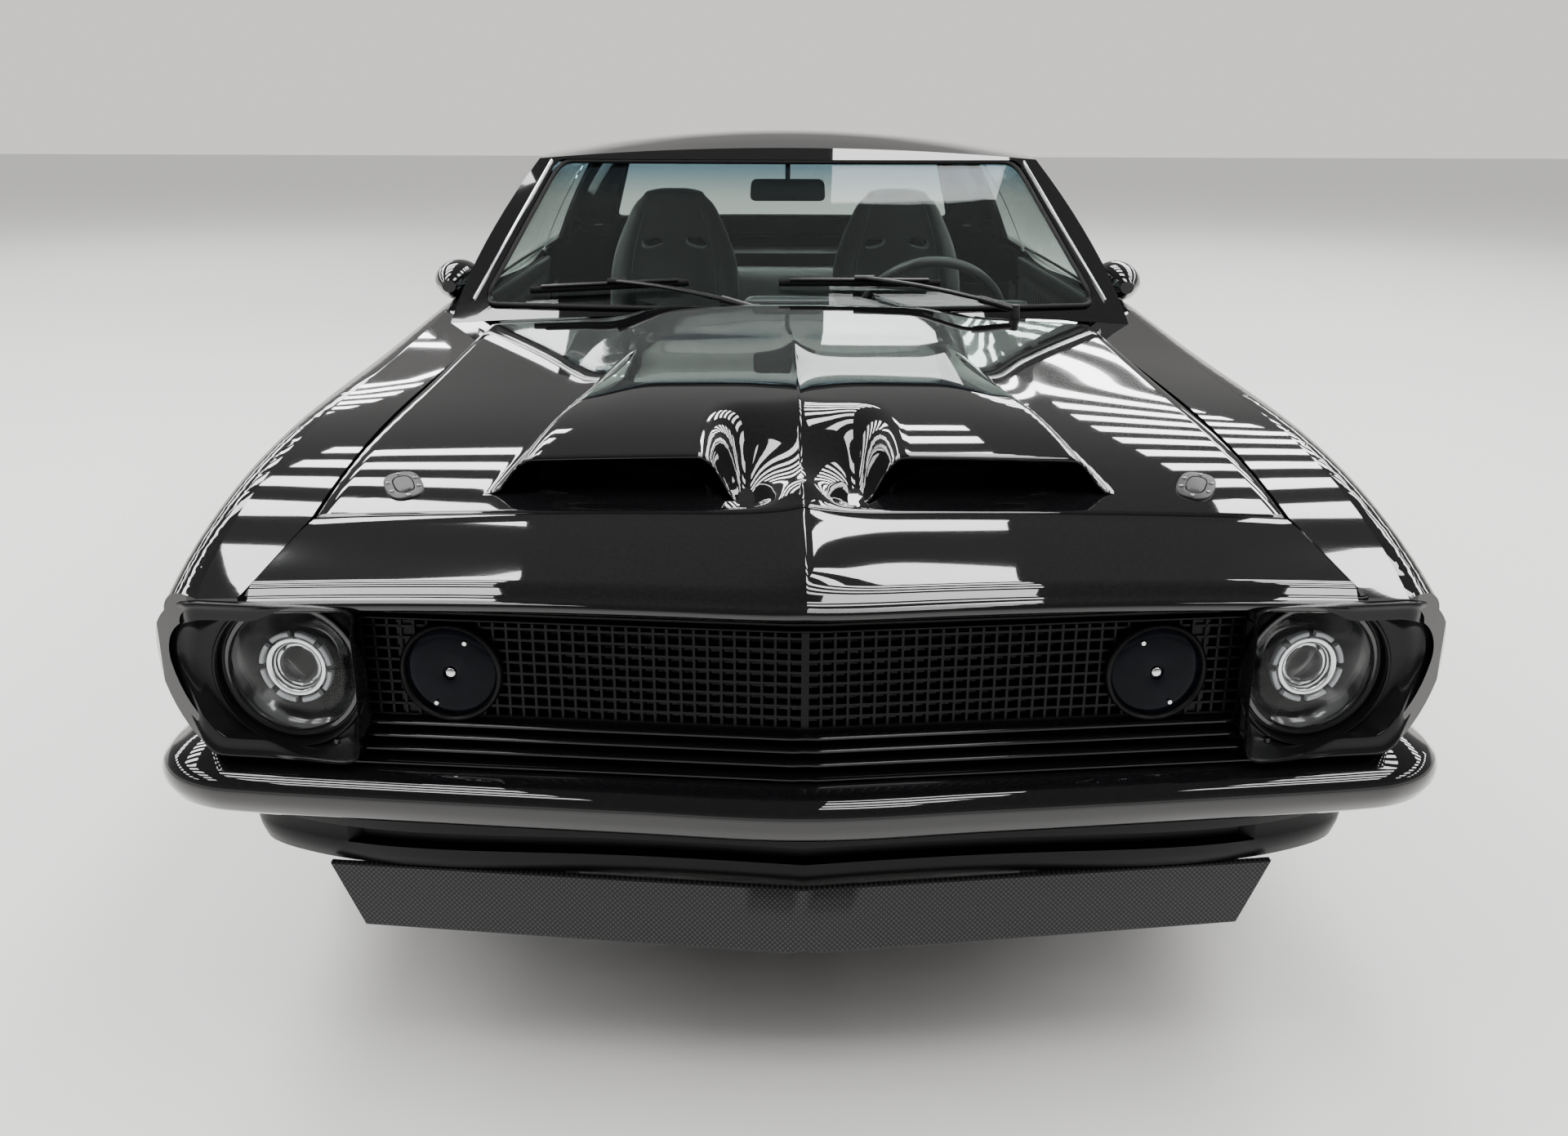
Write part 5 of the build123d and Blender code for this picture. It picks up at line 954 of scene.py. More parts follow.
FRONT_PLAN = [
    (0, -2300), (240, -2277), (520, -2246), (740, -2219), (815, -2202), (858, -2166), (872, -2110),
    (870, -1992),
]
REAR_PLAN = [
    (0, 2302), (260, 2294), (560, 2280), (770, 2264), (838, 2238), (866, 2180), (872, 2110), (874, 2042)
]
bumper_blade("front_blade", FRONT_PLAN, 0, -1, "front_bumper")
bumper_blade("rear_blade", REAR_PLAN, 40, 1, "rear_bumper")

# Chin spoiler: one lacquered carbon fibre blade under the valance, its weave laid at 45 degrees, with a
# small notch at the centre vee.
carbon = new_finish("carbon_fibre", (0.005, 0.005, 0.0055), 0.30, coat=0.2, specular=0.16)
weave = carbon.node_tree
weave_place = add_node(weave, "ShaderNodeTexCoord", {})
weave_turn = add_node(
    weave, "ShaderNodeMapping", {"Vector": (weave_place, "Object"), "Rotation": [0, math.radians(45), 0]}
)
wave_sizes = {"Vector": (weave_turn, "Vector"), "Scale": 62, "Distortion": 0.4}
wave_x, wave_z = (add_node(weave, "ShaderNodeTexWave", wave_sizes, bands_direction=way) for way in "XZ")
weave_mix = add_node(weave, "ShaderNodeMath", {0: (wave_x, "Fac"), 1: (wave_z, "Fac")}, operation="MULTIPLY")
weave_ramp = add_ramp(weave, (weave_mix, "Value"), [(0, (0.007, 0.007, 0.008)), (1, (0.055, 0.055, 0.058))])
weave_sizes = {"Height": (weave_mix, "Value"), "Strength": 0.15, "Distance": 0.0004}
weave_bump = add_node(weave, "ShaderNodeBump", weave_sizes)
weave.links.new(weave_ramp.outputs["Color"], weave.nodes["Principled BSDF"].inputs["Base Color"])
weave.links.new(weave_bump.outputs["Normal"], weave.nodes["Principled BSDF"].inputs["Normal"])
# height, y of the tip, half width and y of the end (mm)
SPOILER_FOOT, SPOILER_TOP = (247, -2300, 622, -2222), (340, -2286, 668, -2210)
SPOILER_SECTION = [
    # back from the blade's face, share of its height
    (0.0, 0.02), (0.0, 0.5), (0.0, 0.98), (1.2, 1.0), (10.6, 1.0), (11.8, 0.98), (11.8, 0.5), (11.8, 0.02),
    (10.6, 0.0), (1.2, 0.0),
]
NOTCH_DEPTH, NOTCH_HALF = 5.0, 8.0
points = []
for share in np.linspace(-1, 1, 81):
    for back, high in SPOILER_SECTION:
        z, tip, half, end = (a + (b - a) * high for a, b in zip(SPOILER_FOOT, SPOILER_TOP))
        notch = NOTCH_DEPTH * max(0.0, 1 - abs(share) * half / NOTCH_HALF) * (1 - high)
        points.append((share * half, tip + (end - tip) * abs(share) + back + 0.4 * notch, z + notch))
chin = make_piece(
    "chin_blade", points, form_faces(81, len(SPOILER_SECTION)), carbon, "chassis", "carbon", sharp=30
)
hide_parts("chin_spoiler")

# Front valance: a satin black pan pressed from steel under the bumper, with a long air slot pressed into
# it between its ends.
VALANCE_LINE = [
    (0, -2290), (300, -2258), (640, -2222), (730, -2190), (790, -2148), (818, -2070), (826, -1992)
]
SLOT_DEPTH, CLOSED_DEPTH, SLOT_HALF = 26, 9, 640
VALANCE_SECTION = [
    # back from the line, height (mm)
    (16, 434), (2, 434), (0, 430), (3, 412), (6, 402), (SLOT_DEPTH, 400), (SLOT_DEPTH, 378), (8, 376),
    (10, 362), (16, 344), (20, 341), (32, 341), (32, 350), (34, 400), (30, 434),
]
line = np.array(VALANCE_LINE, dtype=float)
line_length = lengths_along(line)
smooth_line = through_rows(np.column_stack([line_length, line]), np.linspace(0, line_length[-1], 60))
full_line, full_way = both_halves(smooth_line)
points = []
for place, way in zip(full_line, full_way):
    inward = np.array((-way[1], way[0]))
    open_slot = ease((SLOT_HALF - abs(place[0])) / 12.0)
    for back, z in VALANCE_SECTION:
        if back == SLOT_DEPTH:
            back = CLOSED_DEPTH + (SLOT_DEPTH - CLOSED_DEPTH) * open_slot
        points.append((*(place + inward * back), z))
pan = make_piece(
    "valance_pan", points, form_faces(len(full_line), len(VALANCE_SECTION)), satin_trim, "chassis", "paint",
    sharp=35,
)
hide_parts("front_valance")

# Glass: a laminated screen with a tinted band along its top, and tempered side and rear glass, all with
# a light green tint. The screen and the rear glass are set in black rubber.
window_glass = new_finish("window_glass", (0.80, 0.90, 0.86), 0.0, clear=1.0, ior=1.18)
add_grain(window_glass, 3, 0.006, 0.002, detail=1.0)
SCREEN_TINT, BAND_TINT = (0.82, 0.91, 0.875), (0.30, 0.46, 0.56)
BAND_FOOT, BAND_TOP = 1.150, 1.215
screen_glass = new_finish("screen_glass", SCREEN_TINT, 0.0, clear=1.0, ior=1.18)
screen_tree = screen_glass.node_tree
screen_place = add_node(screen_tree, "ShaderNodeTexCoord", {})
screen_split = add_node(screen_tree, "ShaderNodeSeparateXYZ", {"Vector": (screen_place, "Object")})
band_sizes = {"Value": (screen_split, "Z"), "From Min": BAND_FOOT, "From Max": BAND_TOP}
screen_band = add_node(screen_tree, "ShaderNodeMapRange", band_sizes)
screen_colour = add_ramp(screen_tree, (screen_band, "Result"), [(0, SCREEN_TINT), (1, BAND_TINT)])
screen_tree.links.new(
    screen_colour.outputs["Color"], screen_tree.nodes["Principled BSDF"].inputs["Base Color"]
)
finish_with(screen_glass, "windshield")
finish_with(window_glass, "rear_window", "door_glass_left", "door_glass_right", "quarter_glass")
rubber = new_finish("window_rubber", (0.004, 0.004, 0.004), 0.6, specular=0.2)
add_grain(rubber, 300, 0.12, 0.0003, rough=(0.45, 0.65))


def surface_tree(node):
    """A search tree over a CAD piece's surface, for setting strips and gaskets on it."""
    mesh = nodes[node].data
    return BVHTree.FromPolygons([v.co[:] for v in mesh.vertices], [p.vertices[:] for p in mesh.polygons])


def touch(shape, place, way):
    """Where a line from a place in mm first meets a surface: a place in mm, or None."""
    hit = shape.ray_cast(Vector([c / 1000 for c in place]), Vector(way))[0]
    return None if hit is None else tuple(c * 1000 for c in hit)


def tube_along(path, radius, closed, sides=8, flatten=1.0):
    """A small round or oval section carried along a path of places in mm."""
    line = np.array(path, dtype=float)
    if closed:
        way = np.roll(line, -1, axis=0) - np.roll(line, 1, axis=0)
    else:
        way = np.gradient(line, axis=0)
    points = []
    for place, direction in zip(line, way):
        direction = Vector(direction).normalized()
        helper = Vector((0, 0, 1)) if abs(direction.z) < 0.9 else Vector((0, 1, 0))
        side = direction.cross(helper).normalized()
        rise = side.cross(direction)
        middle = Vector(place)
        points.extend(
            tuple(middle + side * (radius * c) + rise * (radius * flatten * s)) for c, s in around(sides)
        )
    return points, form_faces(len(line), sides, closed)


def rounded_outline(corners, radius, step=18):
    """Places along a closed outline in a plane, with its corners rounded."""
    result = []
    n = len(corners)
    for i in range(n):
        here = np.array(corners[i], dtype=float)
        before = np.array(corners[i - 1], dtype=float)
        after = np.array(corners[(i + 1) % n], dtype=float)
        to_before = (before - here) / np.linalg.norm(before - here)
        to_after = (after - here) / np.linalg.norm(after - here)
        for t in np.linspace(0, 1, 7):
            a, b = here + to_before * radius * (1 - t), here + to_after * radius * t
            result.append(a * (1 - t) + b * t)
    filled = []
    for i in range(len(result)):
        a, b = result[i], result[(i + 1) % len(result)]
        parts = max(1, int(np.linalg.norm(b - a) / step))
        filled.extend(a + (b - a) * k / parts for k in range(parts))
    return filled


# rubber seals around the screen and the rear glass, laid on the glass just inside the body's edge
screen_shape = surface_tree("windshield")
rear_shape = surface_tree("rear_window")
SCREEN_EDGE = [(-697, 933), (697, 933), (569, 1233), (-569, 1233)]
REAR_EDGE = [(-609, 978), (609, 978), (517, 1215), (-517, 1215)]
seal_parts = []
for outline, shape, start_y, toward in (
    (SCREEN_EDGE, screen_shape, -1300, 1), (REAR_EDGE, rear_shape, 1800, -1)
):
    path = []
    for x, z in rounded_outline(outline, 34):
        inward = 3 if z < 1000 else -3 if z > 1200 else 0
        hit = touch(shape, (x * 0.994, start_y, z + inward), (0, toward, 0))
        if hit:
            path.append((hit[0], hit[1] - toward * 0.5, hit[2]))
    seal_parts.append(tube_along(path, 6.5, True))
make_piece("glass_seals", *merged(seal_parts), rubber, "chassis", "trim_black", sharp=60)

# Wipers: two black arms sprung from the cowl, each with a rubber blade resting on the foot of the glass, and
# the cowl's screened air slots below them.
wiper_black = new_finish("wiper_black", (0.004, 0.004, 0.0045), 0.3)
add_grain(wiper_black, 300, 0.08, 0.0002, rough=(0.22, 0.4))
WIPERS = [
    # pivot x, arm end x, blade from and to (x), height of the blade's ends as the camera sees them
    (-78, -377, (-568, -222), (970, 987)),
    (490, 159, (-27, 325), (987, 987)),
]
EYE = camera.matrix_world.translation


def on_screen(x, z, lift):
    """The place on the windshield behind a point over the cowl, lifted off the glass."""
    through = Vector((x / 1000, -0.870, z / 1000))
    hit, normal, _, _ = screen_shape.ray_cast(EYE, (through - EYE).normalized())
    if normal.y > 0:
        normal = -normal
    return tuple((hit + normal * (lift / 1000)) * 1000)


PIVOT_Y, PIVOT_TOP, PIVOT_LEVELS = -893, 941, (900, 936, 944, 950)
BLADE_LIFT, JOINT_LIFT, JOINT_HALF = 9, 22, 22
arm_parts, blade_parts = [], []
for pivot_x, end_x, (blade_a, blade_b), (z_a, z_b) in WIPERS:
    rise = (z_b - z_a) / (blade_b - blade_a)
    places = np.linspace(blade_a, blade_b, 15)
    line = [on_screen(x, z_a + rise * (x - blade_a), BLADE_LIFT) for x in places]
    blade_parts.append(tube_along(line, 4.0, False, flatten=2.0))
    arm_parts.append(tube_along([(x, y - 3, z + 7) for x, y, z in line[1:-1]], 4.8, False, flatten=0.9))
    joint = Vector(on_screen(end_x, z_a + rise * (end_x - blade_a), JOINT_LIFT))
    pivot = Vector((pivot_x, PIVOT_Y, PIVOT_TOP))
    knuckle = pivot.lerp(joint, 0.24) + Vector((0, -5, 7))
    path = [tuple(pivot.lerp(knuckle, t)) for t in (0.0, 0.33, 0.66, 1.0)]
    arm_parts.append(tube_along(path, 11.0, False, sides=12, flatten=0.75))
    path = [
        tuple(knuckle.lerp(joint, t) + Vector((0, -4, 5)) * math.sin(math.pi * t))
        for t in np.linspace(0, 1, 9)
    ]
    arm_parts.append(tube_along(path, 7.2, False, sides=10, flatten=0.7))
    path = [tuple(joint + Vector((x, 0, 0))) for x in (-JOINT_HALF, 0, JOINT_HALF)]
    arm_parts.append(tube_along(path, 6.5, False, sides=10))
    path = [(pivot_x, PIVOT_Y, z) for z in PIVOT_LEVELS]
    arm_parts.append(tube_along(path, 11, False, sides=18))
wiper_arms = make_piece("wiper_arms", *merged(arm_parts), wiper_black, "chassis", "trim_black", sharp=50)
make_piece("wiper_blades", *merged(blade_parts), rubber, "chassis", "trim_black", sharp=50)
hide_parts("wipers")

# Cowl air slots: short bright bars in two rows over each opening of the cowl. A geometry tree lays them
# along guide lines at even spacing.
bar_tree, bar_given = new_tree("bars_along_a_line", {"Spacing": 0.012, "Length": 0.007, "Radius": 0.0023})
bar_line = add_node(bar_tree, "GeometryNodeMeshToCurve", {"Mesh": (bar_given, "Guide")})
bar_steps = add_node(
    bar_tree, "GeometryNodeResampleCurve", {"Curve": (bar_line, "Curve"), "Length": (bar_given, "Spacing")},
    mode="LENGTH",
)
bar_form = add_node(
    bar_tree, "GeometryNodeMeshCylinder",
    {"Vertices": 6, "Radius": (bar_given, "Radius"), "Depth": (bar_given, "Length")},
)
bar_way = add_node(bar_tree, "GeometryNodeInputTangent", {})
bar_turn = add_node(bar_tree, "FunctionNodeAlignRotationToVector", {"Vector": (bar_way, "Tangent")}, axis="Z")
bars_set = add_node(bar_tree, "GeometryNodeInstanceOnPoints", {
    "Points": (bar_steps, "Curve"), "Instance": (bar_form, "Mesh"), "Rotation": (bar_turn, "Rotation"),
})
close_tree(bar_tree, bar_given, bars_set)
cowl_shape = surface_tree("cowl_panel")
COWL_OPENINGS = ((-560, -400), (-330, -150), (-90, 90), (150, 330), (400, 560))
OPENING_Y, ROW_PITCH, ABOVE_COWL = -872, 12, 1200
slot_guide, slot_edges = [], []
for low_x, high_x in COWL_OPENINGS:
    for row in range(2):
        y = OPENING_Y - ROW_PITCH * row
        begin = len(slot_guide)
        for x in np.linspace(low_x + 6 * row, high_x, 9):
            hit = touch(cowl_shape, (x, y, ABOVE_COWL), (0, 0, -1))
            if hit:
                slot_guide.append((x, y, hit[2] + 0.8))
        slot_edges.extend((k, k + 1) for k in range(begin, len(slot_guide) - 1))
grown("cowl_screens", bar_tree, slot_guide, slot_edges, {"Spacing": 0.012}, bolt_steel, "chassis")

# Front seats: high-backed buckets in black, with winged shoulders, piping and two harness holes in each.
# The pads are crowned closed forms drawn row by row, and the holes are cut through the finished back.
seat_hide = new_finish("seat_hide", (0.012, 0.012, 0.013), 0.58, sheen=0.25)
add_grain(seat_hide, 520, 0.35, 0.0006, detail=5.0, shade=(0.022, 0.022, 0.023), rough=(0.5, 0.7))
piping = new_finish("seat_piping", (0.03, 0.03, 0.032), 0.45)
add_grain(piping, 900, 0.2, 0.0002, rough=(0.4, 0.55))
stitch_thread = new_finish("stitch_thread", (0.30, 0.30, 0.31), 0.7)
add_grain(stitch_thread, 1500, 0.3, 0.0001, rough=(0.6, 0.8))
SEAT_AT = 325.0
SEAT_BACK_ROWS = [
    # height, half width, front and back of the pad (y), how far the middle is drawn in
    (385, 150, 88, 200, 4), (392, 178, 78, 214, 10), (420, 186, 78, 226, 22), (520, 189, 93, 236, 34),
    (640, 190, 113, 245, 36), (740, 190, 131, 252, 34), (800, 190, 141, 256, 30), (870, 188, 153, 262, 26),
    (930, 180, 165, 267, 22), (975, 167, 172, 271, 18), (1020, 149, 180, 275, 13), (1063, 129, 188, 278, 9),
    (1098, 106, 195, 281, 8), (1118, 86, 202, 280, 6), (1129, 64, 211, 276, 3), (1133, 38, 224, 268, 0),
]
HARNESS_HOLE_X, HARNESS_HOLE_Z = 64.0, 984.0
HOLE_HALF_WIDTH, HOLE_HALF_HEIGHT, HOLE_LEAN = 31, 15, 14
CUSHION_ROWS, CUSHION_FRONT, CUSHION_LENGTH = 40, -346, 420
CUSHION_HALF, CUSHION_FOOT, CUSHION_TOP, CUSHION_SLOPE, CUSHION_DISH = 191, 262, 414, 34, 30
CUTTER_Y, RUNNER_Y, RUNNER_FOOT = (100, 340), (-300, 170), 216


def seat_ring(half, front, back, drawn, count=72):
    """One level of a seat back: a rounded oblong whose front is drawn in between the side bolsters."""
    ring = []
    for c, s in around(count, 0.62):
        y = (front + back) / 2 - (back - front) / 2 * s
        if s > 0:
            y += drawn * float(ease((0.86 - abs(c)) / 0.34))
        ring.append((half * c, y))
    return ring


def loose_mesh(name, points, faces, material=None):
    """A plain mesh object from points in mm, not yet part of the car."""
    mesh = bpy.data.meshes.new(name)
    mesh.from_pydata([(p[0] / 1000, p[1] / 1000, p[2] / 1000) for p in points], [], faces)
    work = bmesh.new()
    work.from_mesh(mesh)
    bmesh.ops.recalc_face_normals(work, faces=work.faces)
    work.to_mesh(mesh)
    work.free()
    mesh.shade_smooth()
    piece = bpy.data.objects.new(name, mesh)
    bpy.context.collection.objects.link(piece)
    if material:
        mesh.materials.append(material)
    return piece


heights = np.concatenate([np.linspace(385, 420, 6), np.linspace(436, 1090, 44), np.linspace(1098, 1133, 10)])
seat_levels = through_rows(SEAT_BACK_ROWS, heights)
for side, name in ((1, "left"), (-1, "right")):
    points = []
    for z, (half, front, back, drawn) in zip(heights, seat_levels):
        points.extend((side * SEAT_AT + x, y, z) for x, y in seat_ring(half, front, back, drawn))
    back_pad = loose_mesh(f"seat_back_{name}", points, form_faces(len(heights), 72), seat_hide)
    cutters = []
    for hole in (-1, 1):
        loop = []
        for c, s in around(28, 0.75):
            a, b = turned_by(math.radians(-HOLE_LEAN * hole), HOLE_HALF_WIDTH * c, HOLE_HALF_HEIGHT * s)
            loop.append((side * SEAT_AT + hole * HARNESS_HOLE_X + a, HARNESS_HOLE_Z + b))
        cutters.append(([(x, y, z) for y in CUTTER_Y for x, z in loop], form_faces(2, 28)))
    cutter = loose_mesh("harness_cutter", *merged(cutters))
    cut = back_pad.modifiers.new("harness_holes", "BOOLEAN")
    cut.operation = "DIFFERENCE"
    cut.solver = "EXACT"
    cut.object = cutter
    fresh = bpy.data.meshes.new_from_object(back_pad.evaluated_get(bpy.context.evaluated_depsgraph_get()))
    back_pad.modifiers.clear()
    back_pad.data = fresh
    bpy.data.objects.remove(cutter)
    back_pad.data.set_sharp_from_angle(angle=math.radians(50))
    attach(back_pad, "chassis")
    points = []
    for t in np.linspace(0, 1, CUSHION_ROWS):
        y = CUSHION_FRONT + CUSHION_LENGTH * t
        front_roll = 14 * (1 - math.sin(math.pi * min(t * 5, 0.5)))
        inset = front_roll + 10 * (1 - math.sin(math.pi * min((1 - t) * 6, 0.5)))
        top = CUSHION_TOP - CUSHION_SLOPE * t + 6 * math.sin(math.pi * min(1.0, t * 2.2)) - inset
        for c, s in around(64, 0.5, 0.55):
            x = (CUSHION_HALF - inset) * c
            z = (top + CUSHION_FOOT) / 2 + (top - CUSHION_FOOT) / 2 * s
            if s > 0:
                dished = float(ease((0.84 - abs(x) / CUSHION_HALF) / 0.3))
                z -= CUSHION_DISH * dished * math.sin(math.pi * min(0.5 + t * 0.5, 1.0))
            points.append((side * SEAT_AT + x, y, z))
    faces = form_faces(CUSHION_ROWS, 64)
    cushion = make_piece(f"seat_cushion_{name}", points, faces, seat_hide, "chassis", "seat_fabric", sharp=70)
    runners = []
    for inner, outer in ((-165, -120), (120, 165)):
        across_seat = (side * SEAT_AT + inner, side * SEAT_AT + outer)
        runners.append(brick(across_seat, RUNNER_Y, (RUNNER_FOOT, CUSHION_FOOT)))
    make_piece(f"seat_runners_{name}", *merged(runners), wiper_black, "chassis", "steel", smooth=False)
    seams = []
    for edge in (-1, 1):
        path = []
        for z, (half, front, back, drawn) in zip(heights[8:52:2], seat_levels[8:52:2]):
            x = edge * half * 0.66
            nearest = min(seat_ring(half, front, back, drawn, 200)[1:99], key=lambda p: abs(p[0] - x))
            path.append((side * SEAT_AT + x, nearest[1] - 0.6, z))
        seams.append(tube_along(path, 2.6, False))
    make_piece(f"seat_piping_{name}", *merged(seams), piping, "chassis", "seat_fabric", sharp=60)
    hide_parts("front_seats")

# Rear seat: a bench with two dished places.
points = []
REAR_PROFILE = [
    # y, height along the bench's face from the front foot to the top of the back
    (657, 355), (652, 400), (656, 440), (680, 452), (760, 444), (840, 440), (868, 452), (890, 500),
    (930, 600), (970, 690), (1010, 770), (1040, 806), (1075, 816), (1110, 814), (1150, 806), (1160, 700),
    (1150, 500), (1100, 486), (905, 484), (895, 470), (890, 360),
]
profile = closed_curve(REAR_PROFILE, 110)
middle = profile.mean(axis=0)
BENCH_HALF, REAR_PLACE, REAR_PLACE_HALF = 556, 285, 235
for x in np.linspace(-BENCH_HALF, BENCH_HALF, 96):
    edge = min(1.0, (BENCH_HALF - abs(x)) / 26.0)
    tuck = (1 - math.sqrt(max(0.0, 1 - (1 - edge) ** 2))) * 16
    off_place = abs(abs(x) - REAR_PLACE) / REAR_PLACE_HALF
    dish = 15 * float(ease((off_place < 1) * (1 - off_place**2) * 1.6))
    for y, z in profile:
        outward = np.array((y, z)) - middle
        outward /= np.linalg.norm(outward)
        facing = max(0.0, -outward[0] * 0.9 + outward[1] * 0.35)
        at = np.array((y, z)) - outward * tuck + np.array((dish * facing, -dish * 0.25 * facing))
        points.append((x, max(at[0], 651.5), min(at[1], 819.5)))
bench = make_piece("rear_bench", points, form_faces(96, 110), seat_hide, "chassis", "seat_fabric", sharp=70)
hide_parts("rear_seat")

# Dashboard: a padded top of black hide, with a low pod in its middle that is sewn around with two rows of
# thread.
dash_hide = new_finish("dash_hide", (0.010, 0.010, 0.011), 0.5)
add_grain(dash_hide, 640, 0.3, 0.0005, detail=4.0, shade=(0.018, 0.018, 0.019), rough=(0.42, 0.6))
finish_with(dash_hide, "dashboard")


def stacked(outline, middle, levels, place):
    """A closed form from an outline drawn in towards its middle, one (share, level) row after another."""
    centre = np.array(middle)
    points = []
    for share, level in levels:
        points.extend(place(*(centre + (np.array(p) - centre) * share), level) for p in outline)
    return points, form_faces(len(levels), len(outline))


POD_LEVELS = [(1.0, 912), (1.0, 926), (0.985, 932), (0.95, 935.5), (0.88, 937), (0.5, 938), (0.05, 938.3)]
POD_MIDDLE = (0.0, -703.0)
pod_outline = rounded_outline([(-112, -742), (112, -742), (100, -664), (-100, -664)], 22, step=9)
pod = stacked(pod_outline, POD_MIDDLE, POD_LEVELS, lambda x, y, z: (x, y, z))
make_piece("dash_pod", *pod, dash_hide, "chassis", "dash_leather", sharp=60)
stitch_guide, _ = stacked(pod_outline, POD_MIDDLE, ((0.93, 937.0), (0.87, 937.6)), lambda x, y, z: (x, y, z))
loop = len(pod_outline)
stitch_edges = [(start + k, start + (k + 1) % loop) for start in (0, loop) for k in range(loop)]
stitch_sizes = {"Spacing": 0.0052, "Length": 0.0034, "Radius": 0.0008}
grown(
    "dash_stitches", bar_tree, stitch_guide, stitch_edges, stitch_sizes, stitch_thread, "chassis",
)

# Steering wheel: a padded rim on three flat black spokes, tilted towards the driver, with a plain horn
# button in its hub.
WHEEL_CENTRE, WHEEL_TILT, WHEEL_RADIUS = Vector((350, -500, 846)), math.radians(24), 178.0
toward_driver = Vector((0, math.cos(WHEEL_TILT), math.sin(WHEEL_TILT)))
wheel_up = Vector((0, -math.sin(WHEEL_TILT), math.cos(WHEEL_TILT)))
wheel_across = Vector((1, 0, 0))


def on_wheel(across_by, up_by, out_by):
    """A place on the steering wheel, from its centre."""
    return tuple(WHEEL_CENTRE + wheel_across * across_by + wheel_up * up_by + toward_driver * out_by)


ring_path = [on_wheel(WHEEL_RADIUS * c, WHEEL_RADIUS * s, 0) for c, s in around(96)]
rim_tube = tube_along(ring_path, 12.4, True, sides=18)
steering_rim = make_piece("steering_rim", *rim_tube, dash_hide, "steering_wheel", "dash_leather", sharp=70)
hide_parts("steering_wheel")
# distance out, half width and lift of the spokes; places around their section
SPOKE_LINE = ((30, 20, -6), (60, 17, -5), (100, 14, -3), (140, 14, -1), (174, 18, 0))
HUB_ROWS = [(24, -36), (38, -34), (39, -12), (38, 2), (34, 6), (30, 8), (30, 4)]
BUTTON_ROWS = [(29, 2), (29, 9), (26, 12), (18, 14), (8, 15), (0.5, 15.2)]
spoke_parts = []
for angle in (0, 180, 270):
    rows = []
    for out, half, lift in SPOKE_LINE:
        for side_by, top_by in (
            (-half, -2.2), (-half, 1.4), (-half + 1, 2.2), (half - 1, 2.2), (half, 1.4), (half, -2.2)
        ):
            rows.append(on_wheel(*turned_by(math.radians(angle), out, side_by), lift + top_by))
    spoke_parts.append((rows, form_faces(5, 6)))
spoke_parts.append(turned_form(HUB_ROWS, 40, on_wheel))
make_piece("steering_spokes", *merged(spoke_parts), gloss_trim, "steering_wheel", "steel", sharp=40)
button = turned_form(BUTTON_ROWS, 40, on_wheel)
make_piece("horn_button", *button, satin_trim, "steering_wheel", "soft_plastic", sharp=40)

# Inside mirror: a black housing that hangs on a stem from the roof, with its glass set in the face
# towards the seats.
mirror_silver = new_finish("mirror_silver", (0.86, 0.87, 0.88), 0.02, metallic=1.0)
add_grain(mirror_silver, 12, 0.004, 0.0002, rough=(0.015, 0.03))
inside_outline = rounded_outline([(-98, 1127), (98, 1127), (94, 1182), (-94, 1182)], 17, step=12)
INSIDE_MIDDLE = (0.0, 1154.0)
HOUSING_LEVELS = [
    # share of the outline, y (mm)
    (0.3, -245.5), (0.86, -245), (0.95, -243), (1.0, -239), (1.0, -228), (0.985, -225), (0.95, -224.4),
    (0.94, -226), (0.3, -226),
]
housing = stacked(inside_outline, INSIDE_MIDDLE, HOUSING_LEVELS, lambda x, z, y: (x, y, z))
MIRROR_STEM = [(0, -238, 1180), (0, -238, 1200), (0, -236, 1222), (0, -233, 1242)]
stem = tube_along(MIRROR_STEM, 6.5, False, sides=12)
inside_black = make_piece(
    "inside_mirror_housing", *merged([housing, stem]), satin_trim, "chassis", "soft_plastic", sharp=45
)
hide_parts("inside_mirror")
inside_glass = stacked(
    inside_outline, INSIDE_MIDDLE, ((0.93, -225.6), (0.93, -226.8)), lambda x, z, y: (x, y, z)
)
make_piece("inside_mirror_glass", *inside_glass, mirror_silver, "chassis", "mirror", sharp=40)

# Door cards: a hide panel on the inside of each door, with sewn flutes, an armrest, a pull, and a window
# crank.
card_hide = new_finish("door_card_hide", (0.010, 0.010, 0.0105), 0.5)
add_grain(card_hide, 900, 0.35, 0.0004, detail=4.0, rough=(0.42, 0.6))
CARD_Y, CARD_Z, CARD_BACK = (-588.0, 496.0), (300.0, 915.0), 743.5
FLUTES_Y, FLUTES_Z, FLUTE_PITCH, FLUTE_HEIGHT = (-520, 430), (700, 862), 38.0, 3.0
ARM_Y, ARM_Z, ARM_DEPTH = (-300, 360), (588, 668), 40
ROLL_Z, ROLL_DEPTH = 868, 6
SEAM_Z, SEAM_WIDTH, SEAM_DEPTH = 470, 3.0, 1.6


def card_steps(limits, count, last):
    """Even steps between two limits, with close ones at both edges."""
    low, high = limits
    return np.concatenate(
        [[low, low + 2, low + 6], np.linspace(low + 12, high - last[0], count), [high - d for d in last[1:]]]
    )


card_ys = card_steps(CARD_Y, 110, (12, 6, 2, 0))
card_zs = card_steps(CARD_Z, 78, (10, 5, 1.5, 0))


